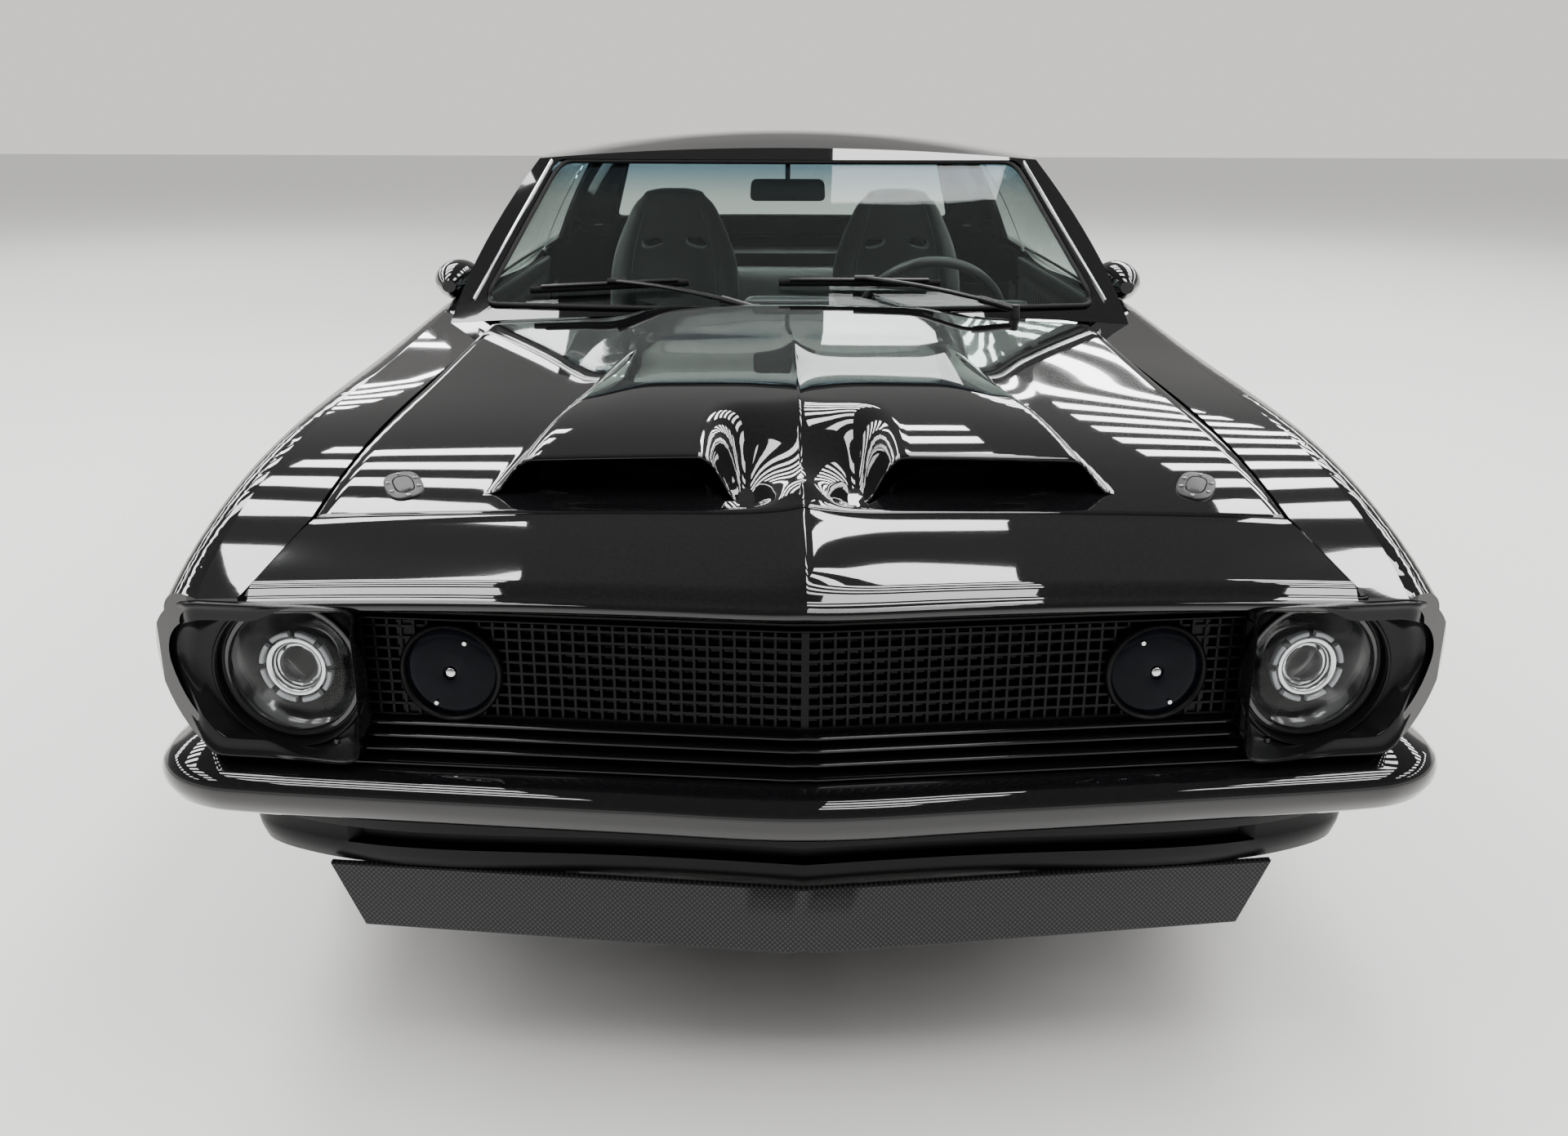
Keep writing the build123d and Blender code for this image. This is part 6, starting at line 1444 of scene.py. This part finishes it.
def card_depth(y, z):
    """How far the card stands into the cabin: its rolled edges, flutes, armrest, upper roll and seam."""
    edge = np.minimum(np.minimum(y - CARD_Y[0], CARD_Y[1] - y), np.minimum(z - CARD_Z[0], CARD_Z[1] - z))
    depth = 0.3 + 5.5 * np.sqrt(np.clip(1 - (1 - np.clip(edge / 6.0, 0, 1)) ** 2, 0, 1))
    fluted = ease((z - FLUTES_Z[0]) / 14) * ease((FLUTES_Z[1] - z) / 14)
    fluted = fluted * ease((y - FLUTES_Y[0]) / 20) * ease((FLUTES_Y[1] - y) / 20)
    depth = depth + fluted * (1.2 + FLUTE_HEIGHT * np.abs(np.sin(math.pi * y / FLUTE_PITCH)) ** 0.6)
    arm = ease((z - ARM_Z[0]) / 34) * ease((ARM_Z[1] - z) / 16)
    arm = arm * ease((y - ARM_Y[0]) / 60) * ease((ARM_Y[1] - y) / 60)
    depth = depth + ARM_DEPTH * arm + ROLL_DEPTH * ease((z - ROLL_Z) / 20)
    return depth - SEAM_DEPTH * np.exp(-(((z - SEAM_Z) / SEAM_WIDTH) ** 2))


for side, name in ((1, "left"), (-1, "right")):
    points = []
    for z in card_zs:
        inner = [(side * (CARD_BACK - d), y, z) for y, d in zip(card_ys, card_depth(card_ys, z))]
        outer = [(side * CARD_BACK, y, z) for y in card_ys[::-1]]
        points.extend(inner + outer)
    ring = 2 * len(card_ys)
    last = ring * (len(card_zs) - 1)
    faces = grid_faces(len(card_zs), ring, wrap=True)
    for start in (0, last):
        faces.extend(
            (start + k, start + k + 1, start + ring - 2 - k, start + ring - 1 - k)
            for k in range(len(card_ys) - 1)
        )
    make_piece(f"door_card_{name}", points, faces, card_hide, f"door_{name}", "seat_fabric", sharp=45)
    near = CARD_BACK - 2
    arc = [(t, math.sin(math.pi * t)) for t in np.linspace(0.0, 1.0, 17)]
    pull = [(side * (CARD_BACK - 5 - 30 * bow**0.5), -230 + 130 * t, 690 + 10 * bow) for t, bow in arc]
    straight = [
        # from, to (distance from the middle of the car, y, z), steps, radius, sides, flatness
        ((722, 150, 545), (722, 228, 509), 7, 6.5, 12, 0.6),
        ((724, 228, 509), (698, 228, 509), 5, 9.5, 18, 1.0),
        ((near, 150, 545), (near - 22, 150, 545), 5, 17, 24, 1.0),
        ((726, -250, 790), (726, -188, 793), 7, 6.5, 12, 0.6),
        ((near, -250, 790), (near - 15, -250, 790), 4, 14, 24, 1.0),
    ]
    fittings = [tube_along(pull, 7.5, False, sides=14)]
    for start, end, steps, radius, sides, flatness in straight:
        path = np.linspace(start, end, steps) * (side, 1, 1)
        fittings.append(tube_along(path, radius, False, sides=sides, flatten=flatness))
    make_piece(f"door_fittings_{name}", *merged(fittings), chrome, f"door_{name}", "steel", sharp=50)

# Wheels: a polished lip around a machined five-spoke centre, with its nuts, cap and vented disc.
# They are built about the axle, `a` outwards and (fore, up) across it, and then set on each hub.
AXLES = {"front": (-1413.0, 327.5, 245.0), "rear": (1333.0, 340.0, 285.0)}
HUB_X = 750.0
WHEEL_BODIES = [("front", "left"), ("front", "right"), ("rear", "left"), ("rear", "right")]
polished = new_finish("polished_alloy", (0.72, 0.72, 0.73), 0.12, metallic=1.0)
add_grain(polished, 60, 0.02, 0.0002, rough=(0.09, 0.18), stretch=(1, 14, 14))
wheel_grey = new_finish(
    "wheel_grey", (0.055, 0.057, 0.062), 0.32, metallic=0.75, coat=0.6, coat_roughness=0.12
)
add_grain(wheel_grey, 900, 0.15, 0.0002, rough=(0.26, 0.42))
disc_iron = new_finish("disc_iron", (0.38, 0.37, 0.36), 0.33, metallic=1.0)
add_grain(
    disc_iron, 45, 0.25, 0.0002, detail=4.0, shade=(0.20, 0.17, 0.15), rough=(0.26, 0.5), stretch=(1, 9, 9)
)
tyre_rubber = new_finish("tyre_rubber", (0.016, 0.016, 0.017), 0.72)
add_grain(tyre_rubber, 420, 0.3, 0.0004, detail=5.0, shade=(0.034, 0.032, 0.030), rough=(0.6, 0.85))


def set_on_hub(name, parts, end, side, material, body, slot, sharp):
    """Makes one piece of a wheel from parts about the axle, named after its corner of the car."""
    y, z, _ = AXLES[end]
    way = 1 if side == "left" else -1
    points, faces = merged(parts)
    placed = [(way * (HUB_X + a), y + fore, z + up) for a, fore, up in points]
    return make_piece(f"{name}_{end}_{side}", placed, faces, material, body, slot, sharp=sharp)


def spun(profile, segments, ring=True):
    """A turned form about the axle from (a, r) rows."""
    return turned_form([(r, a) for a, r in profile], segments, lambda fore, up, a: (a, fore, up), ring)


def bar_about(sections, angle):
    """A bar that runs outwards at one angle. Sections: distance out, then (across, a) places around it."""
    points = [(a, *turned_by(angle, out, across)) for out, section in sections for across, a in section]
    return points, form_faces(len(sections), len(sections[0][1]))


RIM = [
    (-112, 241), (-110.5, 243), (-106, 243), (-104.3, 241), (-104.3, 229.2), (104.3, 229.2), (104.3, 241),
    (106, 243), (110.5, 243), (112, 241), (112, 238), (110.5, 235.5), (107, 233.5), (103, 227), (98, 223),
    (90, 221.5), (76, 220.6), (-98, 220.6), (-106, 225), (-110, 232), (-112, 237),
]
SPOKE_ROWS = [
    # distance out, half width, a of the face (mm)
    (62, 29, 61), (80, 26, 62), (120, 23.5, 64), (160, 23.5, 65.5), (190, 25, 66), (206, 28, 66),
    (215, 29, 66), (220.6, 29, 66),
]
spoke_sections = []
for out, half, face in SPOKE_ROWS:
    edge = [
        (-half, face - 30), (-half, face - 5), (-half + 1.4, face - 1.4), (-half + 5, face),
        (-half * 0.5, face),
    ]
    groove = [(-half * 0.42, face - 1.6), (-half * 0.36, face - 7), (0, face - 8)]
    left_half = edge + groove
    spoke_sections.append((out, left_half + [(-x, a) for x, a in reversed(left_half[:-1])]))
HUB_RING = [(32, 30), (32, 76), (36, 78), (56, 78), (60, 77), (62, 74), (62, 40), (60, 37), (59, 30)]
CAP = [(40, 29), (62, 29.5), (65, 28), (66.5, 24), (67, 0.5)]
DISC_RINGS = [
    ([(-50, 82), (-50, 163), (-49, 165), (-43, 165), (-42, 164), (-42, 82)], 96),
    ([(-34, 82), (-34, 164), (-33, 165), (-27, 165), (-26, 163), (-26, 82)], 96),
    ([(-54, 26), (-54, 76), (-50, 84), (-26, 84), (-24, 78), (31, 76), (31, 26)], 72),
]
VANE = [(-2, -42.5), (2, -42.5), (2, -33.5), (-2, -33.5)]
VANES = 40
# size over the corners and a, from the seat to the crown
NUT_ROWS = [(11, 58), (11, 76), (9.5, 79), (6.5, 81), (2, 82)]
LUG_RING, LUGS = 60.5, 5
VALVE_RADIUS = 3.2
valve_round = [(VALVE_RADIUS * math.cos(t), VALVE_RADIUS * math.sin(t)) for t in np.linspace(0, 5.5, 8)]
valve_sections = [
    (out, [(across, a + by) for across, by in valve_round]) for out, a in ((196, 69), (219, 58))
]
centre = [bar_about(spoke_sections, math.radians(90 + 360 / LUGS * k)) for k in range(LUGS)]
centre += [spun(HUB_RING, 80), spun(CAP, 48, ring=False)]
nuts = []
for k in range(LUGS):
    at = math.radians(126 + 360 / LUGS * k)
    nuts.append(turned_form(NUT_ROWS, 6, lambda out, across, a: (a, *turned_by(at, LUG_RING + out, across))))
nuts.append(bar_about(valve_sections, math.radians(126)))
disc = [spun(rows, segments) for rows, segments in DISC_RINGS]
disc += [bar_about([(84, VANE), (160, VANE)], math.radians(360 / VANES * k)) for k in range(VANES)]
for end, side in WHEEL_BODIES:
    body = f"wheel_{end}_{side}"
    rim = set_on_hub("rim", [spun(RIM, 128)], end, side, polished, body, "alloy", 42)
    spokes = set_on_hub("spokes", centre, end, side, wheel_grey, body, "alloy", 32)
    set_on_hub("lug_nuts", nuts, end, side, polished, body, "steel", 25)
    set_on_hub("brake_disc", disc, end, side, disc_iron, body, "iron", 32)
    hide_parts(body)
    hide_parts(body)

# Tyres: square-shouldered street radials. Four round grooves, slanting side grooves cut in one pitch repeated
# around the tread, and ribs on the sidewall.
PITCHES = 60
PITCH_COLUMNS = [(0.0, 0), (0.44, 0), (0.84, 0), (0.87, 1), (0.97, 1)]
GROOVE_DEPTH = 7.0
BEAD_RADIUS = 229.2
BEAD_ROWS = [(-103.7, 229.6), (-103.7, 243), (-106, 244.5), (-108.5, 244.5), (-110.5, 247)]
WALL_ROWS = [
    # in from the tyre's side, share of the wall's height
    (4, 0.27), (1.2, 0.36), (0.3, 0.45), (0.3, 0.50), (1.6, 0.51), (1.9, 0.57), (1.2, 0.58),
]
SHOULDER_ROWS = [
    # in from the tyre's side, under the tread, how deep the side grooves cut
    (2.6, 34, 0), (6, 26, 0), (7.6, 24, 5), (15, 15, 6), (25, 5.6, 6),
]
TREAD_ROWS = [
    # in from the shoulder, under the tread, cut of the side grooves, their slant
    (0, 1.4, 6, 0), (16, 0.6, 6, 0.15), (18, 0.6, 6, 0.15), (19, GROOVE_DEPTH, 0, 0.15),
    (26, GROOVE_DEPTH, 0, 0.3), (27, 0.3, 5, 0.3),
]
MIDDLE_ROWS = [
    # across from the middle, then as above
    (-26, 0.2, 5, 0.9), (-24, GROOVE_DEPTH, 0, 0.9), (-15, GROOVE_DEPTH, 0, 1.1), (-13.5, 0.1, 0, 1.1),
    (0, 0, 0, 1.1),
]


def tyre_rows(half, tread):
    """Rows across the tyre: place across, radius, how deep the side grooves cut there, and their slant."""
    rows = [(a, r, 0, 0) for a, r in BEAD_ROWS]
    rows += [(-half + by, BEAD_RADIUS + share * (tread - BEAD_RADIUS), 0, 0) for by, share in WALL_ROWS]
    rows += [(-half + by, tread - under, cut, 0) for by, under, cut in SHOULDER_ROWS]
    rows += [(-half + 40 + by, tread - under, cut, slant) for by, under, cut, slant in TREAD_ROWS]
    rows += [(a, tread - under, cut, slant) for a, under, cut, slant in MIDDLE_ROWS]
    return rows + [(-a, r, cut, -slant) for a, r, cut, slant in reversed(rows[:-1])]


for end, side in WHEEL_BODIES:
    _, tread, width = AXLES[end]
    rows = tyre_rows(width / 2, tread)
    points = []
    for a, r, cut, slant in rows:
        for pitch in range(PITCHES):
            for share, low in PITCH_COLUMNS:
                angle = 2 * math.pi * (pitch + share + slant) / PITCHES
                points.append((a, *turned_by(angle, r - cut * low, 0)))
    form = (points, form_faces(len(rows), PITCHES * len(PITCH_COLUMNS), ring=True))
    tyre = set_on_hub("tread_tyre", [form], end, side, tyre_rubber, f"wheel_{end}_{side}", "tyre", 38)
    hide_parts(f"tyre_{end}_{side}")

# Brake calipers: one bridge over each disc, on the knuckles in front and on the axle behind.
caliper_grey = new_finish("caliper_paint", (0.10, 0.10, 0.11), 0.35, coat=0.5, coat_roughness=0.1)
add_grain(caliper_grey, 260, 0.2, 0.0003, rough=(0.28, 0.45))
CALIPER = [
    (-84, 112), (-84, 168), (-78, 184), (-70, 190), (-6, 190), (2, 184), (8, 168), (8, 112), (-19, 112),
    (-19, 171), (-57, 171), (-57, 112),
]
CALIPER_MIDDLE, CALIPER_AT, CALIPER_HALF = -38, math.radians(20), 0.42
CALIPER_ARM = [(-13, -92), (13, -92), (13, -78), (-13, -78)]
points = []
for t in np.linspace(-CALIPER_HALF, CALIPER_HALF, 19):
    squeeze = 1 - 0.05 * (abs(t) > 0.4)
    for a, r in CALIPER:
        points.append((CALIPER_MIDDLE + (a - CALIPER_MIDDLE) * squeeze, *turned_by(CALIPER_AT + t, r, 0)))
caliper = [(points, form_faces(19, len(CALIPER)))]
caliper += [bar_about([(60, CALIPER_ARM), (150, CALIPER_ARM)], CALIPER_AT + t) for t in (-0.22, 0.22)]
for end, side in WHEEL_BODIES:
    body = "chassis" if end == "rear" else f"knuckle_{side}"
    set_on_hub("caliper", caliper, end, side, caliper_grey, body, "iron", 30)

# Mirrors and doors: painted bullet mirrors with their glass, painted handles and a key lock on each door,
# and belt seals along the foot of the door glass.
finish_with(paint, "mirror_left", "mirror_right")
MIRROR_X, MIRROR_Y, MIRROR_Z = 820, -405.5, 948
MIRROR_HALF_WIDTH, MIRROR_HALF_HEIGHT = 45, 39
GLASS_ROWS = [(1.0, 2.0), (1.0, 5.2), (0.97, 6.2), (0.5, 6.8), (0.04, 7.0)]
# distance along the handle from its middle, share of its section
HANDLE_ROWS = [
    (-78, 0.55), (-76, 0.82), (-70, 0.97), (-60, 1.0), (60, 1.0), (70, 0.97), (76, 0.82), (78, 0.55)
]
HANDLE_X, HANDLE_Y, HANDLE_Z = 889, 455, 800
HANDLE_DEPTH, HANDLE_HALF_HEIGHT = 23.0, 14.6
LOCK_ROWS = [(11, -1), (11, 1.4), (9.5, 2.4), (8.6, 1.8), (8.4, 0.6), (0.4, 0.6)]
LOCK_Y, LOCK_Z, OUTSIDE_X = 486, 752, 1200
BELT_FRONT, BELT_REAR, BELT_Z, BELT_RADIUS = -560, 520, 941, 4.2
for side, name in ((1, "left"), (-1, "right")):
    body = f"door_{name}"
    glass = turned_form(GLASS_ROWS, 48, lambda p, q, out: (
        side * MIRROR_X + MIRROR_HALF_WIDTH * p, MIRROR_Y + out, MIRROR_Z + MIRROR_HALF_HEIGHT * q
    ))
    make_piece(f"mirror_glass_{name}", *glass, mirror_silver, body, "mirror", sharp=40)
    handle = []
    for along_by, scale in HANDLE_ROWS:
        for c, s in around(28, 0.5, 0.6):
            x = side * (HANDLE_X + HANDLE_DEPTH * c * min(1.0, scale + 0.12))
            handle.append((x, HANDLE_Y + along_by, HANDLE_Z + HANDLE_HALF_HEIGHT * s * scale))
    faces = form_faces(len(HANDLE_ROWS), 28)
    make_piece(f"door_handle_{name}", handle, faces, paint, body, "paint", sharp=50)
    skin_x = touch(surface_tree(body), (side * OUTSIDE_X, LOCK_Y, LOCK_Z), (-side, 0, 0))[0]
    lock = turned_form(LOCK_ROWS, 32, lambda p, q, out: (skin_x + side * out, LOCK_Y + p, LOCK_Z + q))
    make_piece(f"door_lock_{name}", *lock, chrome, body, "steel", sharp=40)
    glass_shape = surface_tree(f"door_glass_{name}")
    belt = []
    for y in np.linspace(BELT_FRONT, BELT_REAR, 46):
        hit = touch(glass_shape, (side * OUTSIDE_X, y, BELT_Z + 1), (-side, 0, 0))
        if hit:
            belt.append((hit[0] + side * 2.5, y, BELT_Z))
    seal = tube_along(belt, BELT_RADIUS, False)
    make_piece(f"belt_seal_{name}", *seal, rubber, body, "trim_black", sharp=60)

# Screen pillars: painted with the roof shell. A narrow chrome strip down the front of each, beside the glass,
# is a painted highlight: it stands in for the light caught along the pillar's gloss black edge.
PILLAR_FOOT, PILLAR_TOP = (716, 936), (582, 1240)
roof_shape = surface_tree("roof_shell")
# the chrome strips paint the highlight along each pillar's edge
pillar_highlight_parts = []
for side in (-1, 1):
    pillar_highlight = []
    for share in np.linspace(0.03, 0.97, 26):
        x, z = (low + (high - low) * share for low, high in zip(PILLAR_FOOT, PILLAR_TOP))
        hit = touch(roof_shape, (side * x, -1400, z), (0, 1, 0))
        if hit:
            pillar_highlight.append((side * x, hit[1] - 0.5, z))
    pillar_highlight_parts.append(tube_along(pillar_highlight, 2.6, False, sides=10, flatten=2.4))
make_piece("screen_pillar_highlights", *merged(pillar_highlight_parts), chrome, "chassis", "steel", sharp=60)

# Tail: on each side a dark frame with two ribbed red lenses and a reversing lamp between them, then a
# trunk lock and a blank plate on two bolts.
lamp_red = new_finish("tail_lamp_red", (0.36, 0.004, 0.006), 0.08, coat=1.0, coat_roughness=0.02)
add_grain(lamp_red, 110, 0.06, 0.0005, shade=(0.26, 0.002, 0.004))
lamp_white = new_finish("reversing_lamp", (0.62, 0.62, 0.63), 0.1, coat=1.0, coat_roughness=0.02)
add_grain(lamp_white, 160, 0.2, 0.0006)
TAIL_LAMP_X, TAIL_LAMP_Z, LAMP_HALF_X, LAMP_HALF_Z = 560.0, 690.0, 189.0, 59.0
TAIL_Y = 2290.0
RIB_PITCH, RIB_HEIGHT, LENS_MARGIN = 16.0, 0.9, 12
# drawn in from the lens's edge, and out of the tail
LENS_LEVELS = ((0, -17), (0, -2.0), (2.5, -0.4), (5, 0.2))
FRAME_LEVELS = [
    # shares of the frame's width and height, and out of the tail
    ((1, 1), -8.5), ((1, 1), -1.0), ((0.985, 0.955), 1.1), ((0.95, 0.86), 1.1), ((0.94, 0.82), -1.0),
    ((0.94, 0.82), -8.5),
]


def lens_block(cx, cz, low, high):
    """One lens of a tail lamp between two places across it, with upright ribs over its face."""
    columns = np.arange(low, high + 0.1, (high - low) / round((high - low) / 4.0))
    points = []
    for level, (inset, out) in enumerate(LENS_LEVELS):
        for way, ordered in ((1, columns), (-1, columns[::-1])):
            for x in ordered:
                rib = RIB_HEIGHT * math.sin(x * 2 * math.pi / RIB_PITCH) if level == 3 else 0.0
                keep = max(min(x - low, high - x), inset)
                x_at = low + keep if x - low < high - x else high - keep
                points.append((cx + x_at, TAIL_Y + out + rib, cz + way * (LAMP_HALF_Z - LENS_MARGIN - inset)))
    ring = 2 * len(columns)
    top = 3 * ring
    pairs = range(len(columns) - 1)
    faces = grid_faces(4, ring, wrap=True)
    faces += [(top + k, top + k + 1, top + ring - 2 - k, top + ring - 1 - k) for k in pairs]
    return points, faces + [(k, ring - 1 - k, ring - 2 - k, k + 1) for k in pairs]


red_parts, frame_parts, white_parts = [], [], []
for side in (-1, 1):
    cx, cz = side * TAIL_LAMP_X, TAIL_LAMP_Z
    end = LAMP_HALF_X - LENS_MARGIN
    for low, high, store in ((-end, -34, red_parts), (-28, 28, white_parts), (34, end, red_parts)):
        store.append(lens_block(cx, cz, low, high))
    corners = [(cx + a * LAMP_HALF_X, cz + b * LAMP_HALF_Z) for a, b in ((-1, -1), (1, -1), (1, 1), (-1, 1))]
    outline = rounded_outline(corners, 18, step=14)
    points, _ = stacked(outline, (cx, cz), FRAME_LEVELS, lambda x, z, out: (x, TAIL_Y + out, z))
    frame_parts.append((points, form_faces(len(FRAME_LEVELS), len(outline), ring=True)))
make_piece("tail_lenses", *merged(red_parts), lamp_red, "chassis", "lamp_red", sharp=28)
make_piece("reversing_lenses", *merged(white_parts), lamp_white, "chassis", "lamp_glass", sharp=28)
make_piece("tail_lamp_frames", *merged(frame_parts), gloss_trim, "chassis", "trim_black", sharp=40)
finish_with(gloss_trim, "tail_lamps")

plate_white = new_finish("blank_plate", (0.72, 0.72, 0.70), 0.3, coat=0.3)
add_grain(plate_white, 600, 0.08, 0.0002, shade=(0.66, 0.66, 0.645), rough=(0.25, 0.4))
PLATE_LEVELS = ((1.0, 0.6), (1.0, 1.8), (0.992, 2.2), (0.97, 2.2), (0.962, 1.8), (0.5, 1.8))
PLATE_BOLT = [(7, 1.5), (7, 5), (5.8, 6.6), (3, 7.2), (0.4, 7.2)]
TRUNK_LOCK = [(17, -3), (17, 3), (15, 5), (12, 5.2), (11, 3.2), (0.4, 3.2)]
plate_outline = rounded_outline([(-152, 584), (152, 584), (152, 736), (-152, 736)], 10, step=16)
plate = stacked(plate_outline, (0.0, 660.0), PLATE_LEVELS, lambda x, z, out: (x, TAIL_Y + out, z))
make_piece("blank_plate", *plate, plate_white, "chassis", "paint", sharp=40)
tail_round = []
for x, z, rows, segments in ((-89, 660, PLATE_BOLT, 12), (89, 660, PLATE_BOLT, 12), (0, 800, TRUNK_LOCK, 40)):
    tail_round.append(turned_form(rows, segments, lambda p, q, out: (x + p, TAIL_Y + out, z + q)))
make_piece("plate_bolts_and_lock", *merged(tail_round), chrome, "chassis", "steel", sharp=40)

# Exhaust: two steel pipes that run out under the tail, each with a bright rolled tip over its end. Across
# each tip's mouth sits a near-black disc: painted shade that stands in for the dark hollow bore of the pipe.
# near black: the air cleaner's own black pan, and the painted shade of the exhaust's bore
pan_black_and_bore_shade = new_finish("black_pan_and_bore_shade", (0.006, 0.006, 0.006), 0.8)
add_grain(pan_black_and_bore_shade, 300, 0.3, 0.0006)
PIPE_X, PIPE_Z, PIPE_END = 215.0, 258.0, 2270.0
# radius, and distance past the pipe's end (mm)
TIP_ROWS = [
    (28.3, -90), (31, -92), (33, -88), (33.5, -60), (34, -20), (35.5, -2), (36.5, 6), (35.8, 10), (34, 11.5),
    (32.4, 10), (32, 4), (31.5, 1), (28.4, 1),
]
# a flat dark disc in each tip's mouth, painted shade in place of the pipe's hollow: radius, and distance past
# the pipe's end (mm)
BORE_SHADE_ROWS = [(28.2, 0.2), (28.2, 1.0), (20, 0.8), (0.4, 0.6)]
tip_parts, bore_shade_parts = [], []
for side in (-1, 1):
    for rows, store, ring in ((TIP_ROWS, tip_parts, True), (BORE_SHADE_ROWS, bore_shade_parts, False)):
        form = turned_form(rows, 48, lambda p, q, out: (side * PIPE_X + p, PIPE_END + out, PIPE_Z + q), ring)
        store.append(form)
make_piece("exhaust_tips", *merged(tip_parts), chrome, "chassis", "steel", sharp=50)
make_piece("exhaust_bore_shades", *merged(bore_shade_parts), pan_black_and_bore_shade, "chassis", "trim_black", sharp=50)

# Engine dressing: finned cast covers along both banks, each with a filler cap or breather, and a round air
# cleaner, a black pan and a ribbed paper ring under a chromed lid with a wing nut. All sit on the block.
BLOCK_TOP = 760.2
CLEANER_Y = -1390.0
CAP_Y = -1620.0
cast_alloy = new_finish("cast_alloy", (0.46, 0.46, 0.45), 0.38, metallic=1.0)
add_grain(cast_alloy, 700, 0.35, 0.0004, detail=4.0, rough=(0.3, 0.5))
filter_paper = new_finish("filter_paper", (0.30, 0.27, 0.22), 0.85)
add_grain(filter_paper, 500, 0.2, 0.0003)


def upright(rows, x, y, segments=64, ribs=0):
    """A form turned about an upright line from (radius, height over the block) rows, ribbed if asked."""
    points = []
    for radius, up in rows:
        for number, (c, s) in enumerate(around(segments)):
            out = radius - (ribs if number % 2 else 0)
            points.append((x + out * c, y + out * s, BLOCK_TOP + up))
    return points, form_faces(len(rows), segments)


LID_ROWS = [
    (150, 50.2), (172, 50.4), (174, 51.6), (174, 55), (171, 57.6), (160, 58.6), (120, 61.5), (60, 64),
    (8, 64.4), (8, 66), (3, 66), (3, 74), (0.8, 74.6),
]
PAN_ROWS = [(40, 0), (62, 0), (66, 10), (120, 13), (164, 14), (172, 16), (174, 19), (172, 21.8), (150, 22)]
PAPER_ROWS = [(150, 22.2), (163, 22.2), (163, 50), (150, 50)]
CAP_ROWS = [(14, 40.2), (14, 46), (25, 46), (27, 48), (27, 56), (24, 59), (0.8, 60)]
make_piece("air_cleaner_lid", *upright(LID_ROWS, 0, CLEANER_Y, 96), chrome, "chassis", "steel", sharp=40)
make_piece(
    "air_cleaner_pan", *upright(PAN_ROWS, 0, CLEANER_Y, 96), pan_black_and_bore_shade, "chassis", "trim_black", sharp=40
)
paper = upright(PAPER_ROWS, 0, CLEANER_Y, 240, 4)
make_piece("air_cleaner_ring", *paper, filter_paper, "chassis", "trim_black", sharp=20)
COVER_SIDE = [(-62, 0), (-62, 22), (-58, 30), (-52, 33)]
section = list(COVER_SIDE)
for fin in range(7):
    place = -42 + 14 * fin
    section += [(place - 4, 34), (place - 2.4, 40), (place + 2.4, 40), (place + 4, 34)]
section += [(-across, up) for across, up in reversed(COVER_SIDE)]
# y of the front end's steps and the share of the cover's height at each; the rear end mirrors them
COVER_ENDS = [(-1690, 0.5), (-1686, 0.8), (-1678, 0.95), (-1666, 1.0)]
COVER_MIDDLE, COVER_X = -1420, 250
covers, caps = [], []
for side in (-1, 1):
    points = []
    for y, tall in COVER_ENDS + [(2 * COVER_MIDDLE - y, tall) for y, tall in reversed(COVER_ENDS)]:
        points += [(side * COVER_X + across, y, BLOCK_TOP + up * tall) for across, up in section]
    covers.append((points, form_faces(2 * len(COVER_ENDS), len(section))))
    caps.append(upright(CAP_ROWS, side * COVER_X, CAP_Y, 40, 0.8))
make_piece("valve_covers", *merged(covers), cast_alloy, "chassis", "steel", sharp=30)
make_piece("filler_caps", *merged(caps), chrome, "chassis", "steel", sharp=40)

# Structure, running gear and driveline: the shell's coated steel, painted frame and driveline steel, cast
# iron, the exhaust's steel and the radiator's core. They are the part's own solids, each in one finish.
body_black = new_finish("body_schutz", (0.014, 0.014, 0.014), 0.6)
add_grain(body_black, 420, 0.35, 0.0007, detail=6.0, shade=(0.024, 0.023, 0.022), rough=(0.5, 0.78))
frame_steel = new_finish("frame_steel", (0.05, 0.05, 0.052), 0.42, metallic=0.6)
add_grain(frame_steel, 160, 0.2, 0.0005, detail=5.0, shade=(0.035, 0.031, 0.028), rough=(0.34, 0.6))
cast_iron = new_finish("cast_iron", (0.07, 0.068, 0.066), 0.62, metallic=0.7)
add_grain(cast_iron, 480, 0.6, 0.0007, detail=6.0, shade=(0.10, 0.085, 0.07), rough=(0.5, 0.75))
pipe_steel = new_finish("exhaust_steel", (0.40, 0.37, 0.34), 0.3, metallic=1.0)
add_grain(pipe_steel, 14, 0.08, 0.0004, detail=5.0, shade=(0.26, 0.21, 0.17), rough=(0.22, 0.5))
core_alloy = new_finish("radiator_core", (0.12, 0.12, 0.125), 0.5, metallic=0.8)
add_grain(core_alloy, 260, 0.9, 0.0012, detail=1.0, rough=(0.4, 0.6), stretch=(0.08, 1, 4))
finish_with(body_black, "body_frame", "rear_wheelhouses", "trunk_gutter", "engine_bay", "fuel_tank")
finish_with(frame_steel, "front_subframe", "knuckle_left", "knuckle_right", "driveline")
finish_with(cast_iron, "engine", "rear_axle", "steering_gear")
finish_with(pipe_steel, "exhaust")
finish_with(core_alloy, "radiator")
